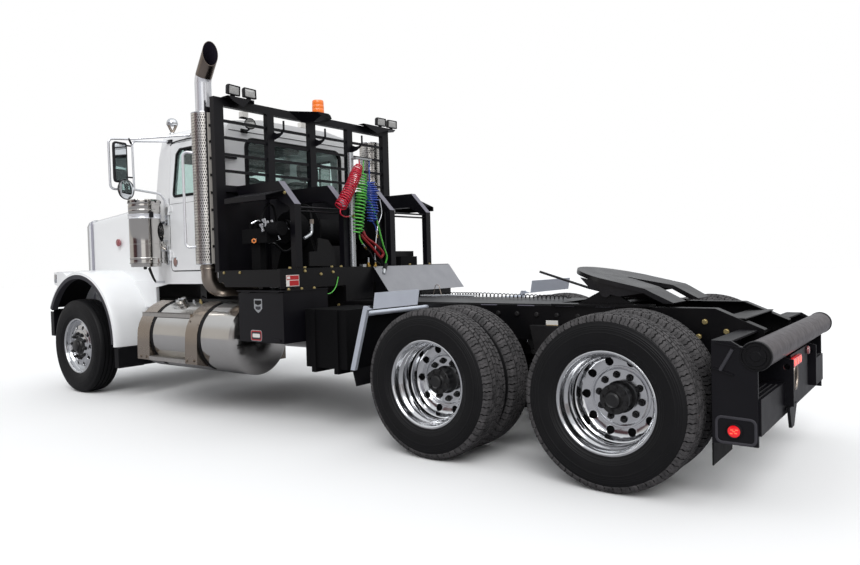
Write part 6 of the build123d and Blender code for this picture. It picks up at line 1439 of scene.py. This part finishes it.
def door_details():
    """On each door: the gasket round its glass, its shut line and the crease under the belt drawn in painted shade,
    its turn lamp and handle."""
    for hand, side in SIDES.items():
        glass = on_side([(1.122, 2.196), (1.634, 2.196), (1.604, 2.632), (1.548, 2.680), (1.122, 2.680)], 0.001)
        shut = bent(on_side([(1.7165, 2.180), (1.7165, 1.411), (1.040, 1.411)], 0.0008), 0.055)
        lamp = (1.634, 0.934, 1.508)
        oval = circle(1.0, 40) * (0.036, 0.052)
        parts = [
            (gasket(glass, 0.030, 0.028, 0.018, OUTWARD), RUBBER),
            # The shut line and the crease are thin strips of painted shade.
            (carried(rounded(0.005, 0.003, 0.001, 2), shut, up=OUTWARD), SHADED),
            (carried(rounded(0.003, 0.002, 0.0008, 2), on_side([(1.713, 2.118), (1.040, 2.118)], 0.0006), up=OUTWARD),
             SHADED),
            (swelled(oval, [(1.0, -0.004), (1.0, 0.006), (0.94, 0.010), (0.86, 0.010), (0.84, 0.006)], lamp, OUTWARD),
             CHROME),
            (swelled(oval, [(0.84, 0.003), (0.80, 0.012), (0.60, 0.018), (0.30, 0.021)], lamp, OUTWARD), TURN_LENS),
            (swelled(rounded(0.150, 0.036, 0.010), [(1.0, -0.002), (1.0, 0.004), (0.9, 0.008)], (1.150, 0.936, 1.900),
                     OUTWARD), PLASTIC),
            (tube([(1.090, 0.940, 1.900), (1.095, 0.960, 1.900), (1.200, 0.960, 1.900), (1.205, 0.940, 1.900)], 0.008,
                  0.015), CHROME),
        ]
        piece(f"door_trim_{hand}", f"door_{hand}", "rubber", handed(parts, side), crease=38)


def hood_details():
    """On the hood: side marker lamps, the pale strip down its front edge, the weathered lips of the wheel arches over
    their insides in painted shade, the headlamps' bezels and the rubber flap behind each arch."""
    marker, outwards = (3.209, 0.684, 1.770), (0.06, 1, 0)
    bezel = rounded(0.252, 0.162, 0.050, 6)
    parts = [
        (turned([(0, -0.010), (0.043, -0.010), (0.045, 0.006), (0.041, 0.011), (0.038, 0.008), (0, 0.008)], marker,
                outwards, 36), RED_TRIM),
        (turned([(0, 0.016), (0.020, 0.0145), (0.036, 0.009), (0.037, 0.004), (0, 0.004)], marker, outwards, 36),
         MARKER),
        (prism([(3.935, 1.010), (3.985, 1.010), (3.985, 2.035), (3.960, 2.065), (3.935, 2.075)],
               (0.6145, 0.6185), "y"), EDGE_STRIP),
        (curved_plate(ARCH_CENTRE, 0.724, 0.7705, 28, 181, (1.080, 1.150), "y", 60), WEATHERED),
        # Painted shade inside the arch.
        (curved_plate(ARCH_CENTRE, 0.764, 0.769, 29, 182, (0.740, 1.104), "y", 60), SHADED),
        (swelled(bezel, [(0.97, -0.062), (1.0, -0.056), (1.0, -0.004), (0.95, 0.008), (0.86, 0.008), (0.84, 0.002)],
                 (4.000, 0.970, 1.353), (1, 0, 0)), CHROME),
        (slab((2.478, 2.560), (0.840, 1.140), (0.352, 0.575)), RUBBER),
    ]
    piece("hood_trim", "hood", "rubber", paired(parts), crease=38)


# ---- Deck, box, tank and tail details ---------------------------------------------------------------

def deck_details():
    """The grey ramp facing, blank sign plates, a bolted cover, the yellow bolts on the winch deck's and the frame's
    faces, and a thin green line."""
    back = DECK_REAR - 0.0015
    front = back - 0.006
    on_face = [(front, y, z) for y in (1.148, 0.998, 0.849) for z in (1.236, 1.132)]
    on_face += [(back, 0.946, 1.390), (back, 0.753, 1.358), (back, 0.600, 1.372)]
    on_rim = [(DECK_REAR + 0.020, y, DECK_TOP + 0.006) for y in (1.100, 0.925, 0.591, 0.470, -0.560, -0.900)]
    on_side_face = [(x, DECK_HALF + 0.0005, 1.390) for x in (0.430, 0.200)]
    bolt_y = FRAME_SIDE + 0.001
    on_frame = [(x, bolt_y, z) for x in (-0.373, -0.474) for z in (1.010, 0.950, 0.894)]
    on_frame += [(-0.230, bolt_y, 0.891), (-0.236, bolt_y, 1.057)]
    line = [(front, 0.539, 1.324), (front, 0.575, 1.233), (front, 0.642, 1.181), (front, 0.731, 1.176)]
    parts = [
        (prism([(-0.343, 1.410), (-0.541, 1.155), (-0.5424, 1.1561), (-0.3444, 1.4111)], (-1.227, 0.049), "y"), GREY),
        (slab((DECK_REAR - 0.0005, DECK_REAR + 0.035), (-1.227, 1.227), (DECK_TOP, DECK_TOP + 0.006)), CHASSIS),
        (slab((back - 0.001, back), (1.017, 1.165), (1.262, 1.360)), SIGN_WHITE),
        (slab((back - 0.002, back - 0.001), (1.022, 1.160), (1.318, 1.355)), SIGN_RED),
        (slab((back - 0.002, back - 0.001), (1.022, 1.128), (1.267, 1.312)), SIGN_RED),
        (slab((back - 0.0025, back - 0.002), (1.122, 1.156), (1.326, 1.348)), SIGN_WHITE),
        (slab((front, back), (0.822, 1.172), (1.110, 1.256)), CHASSIS),
        (together(
            bolts(on_face, REARWARD, 0.022, 0.012), bolts(on_rim, UP, 0.024, 0.014),
            bolts(on_side_face, OUTWARD, 0.022, 0.008), bolts(on_frame, OUTWARD, 0.024, 0.014)), YELLOW_ZINC),
        (carried(circle(0.0045, 8), smooth(line, 6)), GREEN_HOSE),
    ]
    piece("deck_trim", "root", "paint_black", parts, crease=35)


def door_plates():
    """A blank shield-shaped plate and a blank rounded badge with a red border on each box door."""
    for hand, side in SIDES.items():
        face = DECK_HALF + 0.0003
        middle, badge = (-0.035, 1.095), (0.0, face, 0.8335)
        shield = np.array([(-0.054, 0.061), (0.054, 0.061), (0.054, -0.022), (0.030, -0.044), (0.0, -0.062),
                           (-0.030, -0.044), (-0.054, -0.022)])
        parts = [
            (prism(shield + middle, (face, face + 0.002), "y"), ZINC),
            (prism(shield * (0.80, 0.34) + (middle[0], middle[1] + 0.028), (face + 0.002, face + 0.0026), "y"),
             CHASSIS),
            (prism(shield * (0.62, 0.26) + (middle[0], middle[1] - 0.020), (face + 0.002, face + 0.0026), "y"),
             WEATHERED),
            (swelled(rounded(0.150, 0.097, 0.022), [(1.0, 0.0), (1.0, 0.002), (0.97, 0.0026)], badge, OUTWARD), ZINC),
            (swelled(rounded(0.138, 0.086, 0.018), [(1.0, 0.0024), (1.0, 0.0032)], badge, OUTWARD), SIGN_RED),
            (swelled(rounded(0.120, 0.066, 0.012), [(1.0, 0.003), (1.0, 0.0038)], badge, OUTWARD), WEATHERED),
            (swelled(rounded(0.100, 0.034, 0.010), [(1.0, 0.0036), (1.0, 0.0042)], badge, OUTWARD), SIGN_WHITE),
        ]
        piece(f"box_plates_{hand}", f"box_door_{hand}", "paint_black", handed(parts, side), crease=35)


def tank_details():
    """Straps round each fuel tank, the serrated treads of its steps with painted shade under the upper tread, bolts on
    the brackets and small fittings on top."""
    parts = []
    for station in (0.858, 1.673):
        parts.append((curved_plate(TANK_AXIS, TANK_RADIUS + 0.0005, TANK_RADIUS + 0.004, -60, 78,
                                   (station - 0.020, station + 0.020), "x", 30), RUBBER))
    tooth_pitch = 0.0185
    bracket_bolts = ((0.962, 0.930), (1.053, 0.540), (0.937, 0.548), (1.760, 0.540), (1.860, 0.540))
    for end, half, height, spot in ((1.690, 0.056, 0.004, (1.1775, 0.553)), (1.910, 0.040, 0.0035, (1.1215, 0.991))):
        tooth = slab((-0.004, 0.004), (-half, half), (0, height))
        parts.append((row_of(tooth, [(x, *spot) for x in np.arange(1.085, end, tooth_pitch)]), TREAD_PLATE))
    parts += [
        (slab((1.074, 1.920), (1.078, 1.1675), (0.9885, 0.991)), TREAD_PLATE),
        (slab((1.074, 1.920), (1.165, 1.1675), (0.950, 0.991)), TREAD_PLATE),
        # Painted shade under the upper tread.
        (slab((1.074, 1.920), (1.105, 1.162), (0.926, 0.950)), SHADED),
        (slab((1.074, 1.697), (1.118, 1.2395), (0.5505, 0.553)), TREAD_PLATE),
        (slab((1.074, 1.697), (1.237, 1.2395), (0.512, 0.553)), TREAD_PLATE),
        (bolts([(x, 1.2395, z) for x, z in bracket_bolts], OUTWARD, 0.020, 0.010), BRUSHED),
        (turned([(0, 1.120), (0.044, 1.120), (0.046, 1.124), (0.046, 1.131), (0.040, 1.136), (0, 1.136)],
                (1.430, 1.008, 0), UP, 10), CHROME),
        (turned([(0.049, 0.0), (0.051, 0.001), (0.051, 0.004), (0.049, 0.005)], (1.430, 1.020, 1.075), (0, 0.3, 1),
                30, ring=True), BLACK),
    ]
    for x, y, z, finish in ((1.228, 0.930, 1.098, YELLOW_ZINC), (1.300, 0.960, 1.094, ZINC),
                            (1.560, 0.955, 1.092, BRASS), (1.610, 0.955, 1.092, ZINC)):
        parts.append((turned([(0, 0), (0.016, 0), (0.016, 0.014), (0.010, 0.016), (0.010, 0.034), (0, 0.034)],
                             (x, y, z - 0.010), (0, 0.15, 1), 6), finish))
    parts.append((tube([(1.228, 0.930, 1.118), (1.320, 0.850, 1.150), (1.480, 0.700, 1.120)], 0.007, 0.04), RUBBER))
    piece("tank_trim", "root", "polished_aluminium", paired(parts), crease=35)


def tail_details():
    """Tail lamps, the pressed frame round each side lamp, the recess with its rod, ribbed bearing ends, pull ring,
    hook, serrated tread on the beam and the bolts along the frame's end."""
    face = 1.0955
    frame_line = [(-3.838, face, 0.530), (-4.046, face, 0.524), (-4.046, face, 0.385), (-3.838, face, 0.385)]
    lamp, boss = (-3.933, face, 0.453), (-4.051, face, 0.881)
    diode = slab((-0.007, 0.007), (0.006, 0.0095), (-0.0025, 0.0025))
    spots = np.array([(-0.014, 0, 0.010), (0.010, 0, 0.008), (-0.010, 0, -0.009), (0.014, 0, -0.012), (0, 0, 0)])
    parts = [
        (turned([(0.033, 0), (0.045, 0.002), (0.046, 0.006), (0.038, 0.009), (0.034, 0.007)], lamp, OUTWARD, 32,
                ring=True), RUBBER),
        (turned([(0, 0.008), (0.020, 0.0078), (0.0345, 0.005), (0.0345, 0), (0, 0)], lamp, OUTWARD, 32), RED_LENS),
        (row_of(diode, spots + lamp), RED_LED),
        (carried(rounded(0.016, 0.008, 0.003, 3), loop_of(frame_line, 0.030), loop=True, up=OUTWARD), WEATHERED),
        (prism([(-3.838, 0.952), (-4.000, 0.924), (-4.000, 0.917), (-3.838, 0.945)], (1.060, 1.104), "y"), BLACK),
        (prism([(-3.822, 0.806), (-3.935, 0.772), (-3.935, 0.765), (-3.822, 0.799)], (1.070, 1.104), "y"), BLACK),
        (tube([(-3.929, face + 0.004, 0.913), (-3.863, face + 0.004, 0.792)], 0.010), WEATHERED),
        (turned([(0, 0.012), (0.026, 0.012), (0.029, 0.008), (0.054, 0.007), (0.057, 0.001), (0.072, 0.001),
                 (0.075, 0.006), (0.081, 0.006), (0.083, 0), (0, 0)], boss, OUTWARD, 40), CHASSIS),
    ]
    for angle in (20, 110, 200, 290):
        spoke = np.array([cos(radians(angle)), sin(radians(angle))])
        side = np.array([-spoke[1], spoke[0]]) * 0.005
        rib = [spoke * 0.026 + side, spoke * 0.056 + side, spoke * 0.056 - side, spoke * 0.026 - side]
        parts.append((prism(np.array(rib) + (boss[0], boss[2]), (face + 0.004, face + 0.011), "y"), CHASSIS))
    bump = turned([(0, 0.004), (0.006, 0.004), (0.009, 0), (0, 0)], ORIGIN, UP, 8)
    frame_bolts = ((-3.596, 1.001), (-3.731, 0.941), (-3.730, 0.889), (-3.556, 0.901))
    parts += [
        (row_of(bump, [(x, y, 0.640) for x in (-4.045, -4.015, -3.985) for y in np.arange(0.560, 1.070, 0.030)]),
         BLACK),
        (bolts([(x, FRAME_SIDE + 0.0015, z) for x, z in frame_bolts], OUTWARD, 0.030, 0.016), YELLOW_ZINC),
    ]
    parts = paired(parts)
    back = -4.0905
    bar = rounded(0.300, 0.056, 0.026)
    parts += [
        (swelled(bar, [(1.0, 0), (1.0, 0.012), (0.94, 0.018), (0.90, 0.018)], (back, 0.200, 0.748), REARWARD),
         RED_LENS),
        (row_of(turned([(0, 0.021), (0.020, 0.0195), (0.020, 0.016), (0, 0.016)], ORIGIN, REARWARD, 20),
                [(back, y, 0.748) for y in (0.290, 0.200, 0.110)]), RED_LED),
        (turned([(0, 0.014), (0.024, 0.012), (0.030, 0.004), (0.030, 0), (0, 0)], (back, -0.270, 0.760), REARWARD,
                24), MARKER),
        (prism([(0.440, 0.480), (0.200, 0.480), (0.300, 0.345), (0.380, 0.345)], (-4.100, -4.082), "x"), BLACK),
    ]
    ring = np.insert(circle(1.0, 40) * (0.060, 0.080), 0, 0, axis=1) + (-4.098, 0.245, 0.652)
    parts.append((carried(circle(0.010, 12), ring, loop=True, up=(1, 0, 0)), BRUSHED))
    piece("tail_trim", "root", "lamp_plastic", parts, ("tail_lamps",), crease=38)


def bay_details():
    """In the winch bay: bright hydraulic fittings and hoses, an elbow, a duct and the guards' slanted edges, worn and
    lit by a painted highlight; and the front bumper's black ends."""
    slope = [(-0.073, 2.2035), (-0.2775, 1.9835), (-0.2787, 1.9847), (-0.0742, 2.2047)]
    fitting = [(0, 0), (0.018, 0), (0.018, 0.022), (0.012, 0.024), (0.012, 0.050), (0.017, 0.052), (0.017, 0.070),
               (0, 0.070)]
    # The guards' slopes: worn paint with a painted sky highlight.
    parts = [(prism(slope, (post - 0.037, post + 0.037), "y"), WEAR_AND_SKY_HIGHLIGHT) for post in (0.953, 0.343, -0.343, -0.953)]
    for y, z in ((1.158, 1.815), (1.128, 1.860), (1.095, 1.842), (1.046, 1.850), (1.014, 1.800), (0.985, 1.740),
                 (0.880, 1.835)):
        parts.append((turned(fitting, (-0.020, y, z), (-0.25, -0.2, -1), 8), CHROME))
    parts += [
        (tube([(0.100, 1.165, 1.822), (0.070, 1.120, 1.852), (0.080, 1.040, 1.838), (0.085, 1.020, 1.790)], 0.013,
              0.030), CHROME),
        (tube([(0.090, 1.052, 1.668), (0.075, 0.985, 1.655), (0.085, 0.915, 1.648)], 0.013, 0.030), CHROME),
        (turned([(0.012, -0.008), (0.022, -0.008), (0.022, 0.008), (0.012, 0.008)], (0.090, 1.148, 1.669),
                (-0.6, 0.8, 0.2), 20, ring=True), COPPER),
        (tube([(0.090, 1.150, 1.670), (0.085, 1.095, 1.700), (0.090, 1.040, 1.672)], 0.011, 0.020), ZINC),
        (tube([(-0.245, 0.762, 1.850), (-0.245, 0.764, 1.725), (-0.250, 0.860, 1.682)], 0.014, 0.045), ZINC),
        (turned([(0, 0), (0.021, 0), (0.021, 0.040), (0.016, 0.042), (0, 0.042)], (-0.245, 0.762, 1.815), UP, 6),
         BRUSHED),
        (tube([(-0.245, 0.762, 1.850), (-0.240, 0.772, 1.930), (-0.210, 0.850, 1.960), (-0.150, 0.900, 1.900)], 0.012,
              0.060), RUBBER),
        (tube([(0.060, 1.080, 1.860), (0.020, 1.060, 1.990), (0.060, 0.940, 2.010), (0.080, 0.890, 1.850)], 0.012,
              0.090), RUBBER),
        (tube([(0.090, 0.915, 1.648), (0.060, 0.820, 1.560), (0.020, 0.740, 1.620)], 0.012, 0.060), RUBBER),
        (prism([(0.670, 1.689), (0.542, 1.672), (0.468, 1.578), (0.447, 1.426), (0.792, 1.433), (0.787, 1.561),
                (0.690, 1.566)], (-0.232, -0.215), "x"), CHASSIS),
        (slab((-0.130, 0.000), (-0.860, -0.440), (1.411, 1.566)), CHASSIS),
        (bolts([(-0.160, 0.9925, 2.090)], OUTWARD, 0.024, 0.012), YELLOW_ZINC),
    ]
    parts += [(both(slab((4.056, 4.1335), (1.0885, 1.0915), (0.642, 0.945))), BLACK),
              (both(slab((4.052, 4.056), (0.700, 1.090), (0.642, 0.975))), BLACK)]
    piece("bay_trim", "root", "cast_steel", parts, crease=38)


def frame_details():
    """On the frame's side: the web's bolt heads, edges of the top flange that are worn and lit by a painted highlight,
    a blank label, and the air pipe with its wire clip that runs on top."""
    skin = (FRAME_SIDE + 0.0005, FRAME_SIDE + 0.002)
    parts = [
        (bolts(along((-2.005, skin[0], 1.023), (-2.690, skin[0], 1.014), 5), OUTWARD, 0.032, 0.014), CAST),
        (slab((-2.525, -2.425), skin, (0.942, 0.976)), SIGN_WHITE),
        (slab((-2.525, -2.425), skin, (0.930, 0.942)), SIGN_YELLOW),
        (tube([(-1.215, 0.420, 1.152), (-1.500, 0.420, 1.158), (-1.764, 0.420, 1.152)], 0.008, 0.100), ZINC),
        (tube([(-1.344, 0.420, 1.145), (-1.375, 0.420, 1.245), (-1.408, 0.420, 1.245), (-1.440, 0.420, 1.145)], 0.003,
              0.015), BRUSHED),
    ]
    # Strips under the top flange: worn paint with a painted highlight.
    for x in (-1.840, -2.178, -2.510, -2.828):
        parts.append((slab((x - 0.150, x), skin, (1.083, 1.0905)), WEAR_AND_SKY_HIGHLIGHT))
    piece("frame_trim", "root", "chassis_black", parts, crease=38)


# ---- CAD pieces kept in their own shape --------------------------------------------------------------

# Each row is a node, its finish, the angle past which an edge is a crease, and its edges' bevel.
KEPT = (
    ("frame_rails", CHASSIS, 30, 0.003), ("front_axle", CHASSIS, 35, 0.004), ("knuckle_left", CAST, 35, 0.003),
    ("knuckle_right", CAST, 35, 0.003), ("rear_axles", CAST, 35, 0.0), ("rear_suspension", CAST, 30, 0.006),
    ("engine", CAST, 30, 0.010), ("front_bumper", CHROME, 30, 0.003), ("grille", CHROME, 30, 0.0),
    ("hood", WHITE, 32, 0.0), ("splash_guards", RUBBER, 40, 0.0), ("cab_shell", WHITE, 32, 0.0),
    ("cab_glass", GLASS, 30, 0.0), ("door_left", WHITE, 30, 0.0), ("door_right", WHITE, 30, 0.0),
    ("door_glass_left", GLASS, 30, 0.0), ("door_glass_right", GLASS, 30, 0.0), ("cab_interior", CABIN, 30, 0.010),
    ("fuel_tanks", TANK, 35, 0.0), ("tank_steps", BRUSHED, 30, 0.0015), ("tool_boxes", BLACK, 30, 0.0),
    ("box_door_left", BLACK, 30, 0.0), ("box_door_right", BLACK, 30, 0.0), ("hydraulic_tank", SHADED, 30, 0.004),
    # hydraulic_tank and the winch's frame, drum and valves take SHADED: painted shade for the winch bay.
    ("headache_rack", BLACK, 30, 0.002), ("winch_deck", CHASSIS, 30, 0.002), ("winch_guards", BLACK, 30, 0.003),
    ("winch_frame", SHADED, 30, 0.004), ("winch_drum", SHADED, 30, 0.003), ("winch_valves", SHADED, 30, 0.002),
    ("hose_post", ZINC, 30, 0.0), ("flap_hangers", SHEET, 30, 0.001), ("mud_flaps", RUBBER, 30, 0.002),
    ("fifth_wheel_base", CHASSIS, 30, 0.003), ("fifth_wheel_plate", GREASE, 30, 0.005),
    ("tail_frame", BLACK, 30, 0.003), ("tail_roller", ROLLER, 30, 0.003),
)

lines()
frame_cable()
exhaust()
air_cleaners()
rack_lamps()
mirrors()
cab_details()
door_details()
hood_details()
deck_details()
door_plates()
tank_details()
tail_details()
bay_details()
frame_details()
for hand in SIDES:
    steer_wheel(hand)
    twin_wheels("mid", hand, MID_AXLE)
    twin_wheels("rear", hand, REAR_AXLE)
for row in KEPT:
    dressed(*row)

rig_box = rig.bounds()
json.dump({"cad": CAD_BOX, "visual": [list(corner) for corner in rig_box]}, open("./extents.json", "w"))
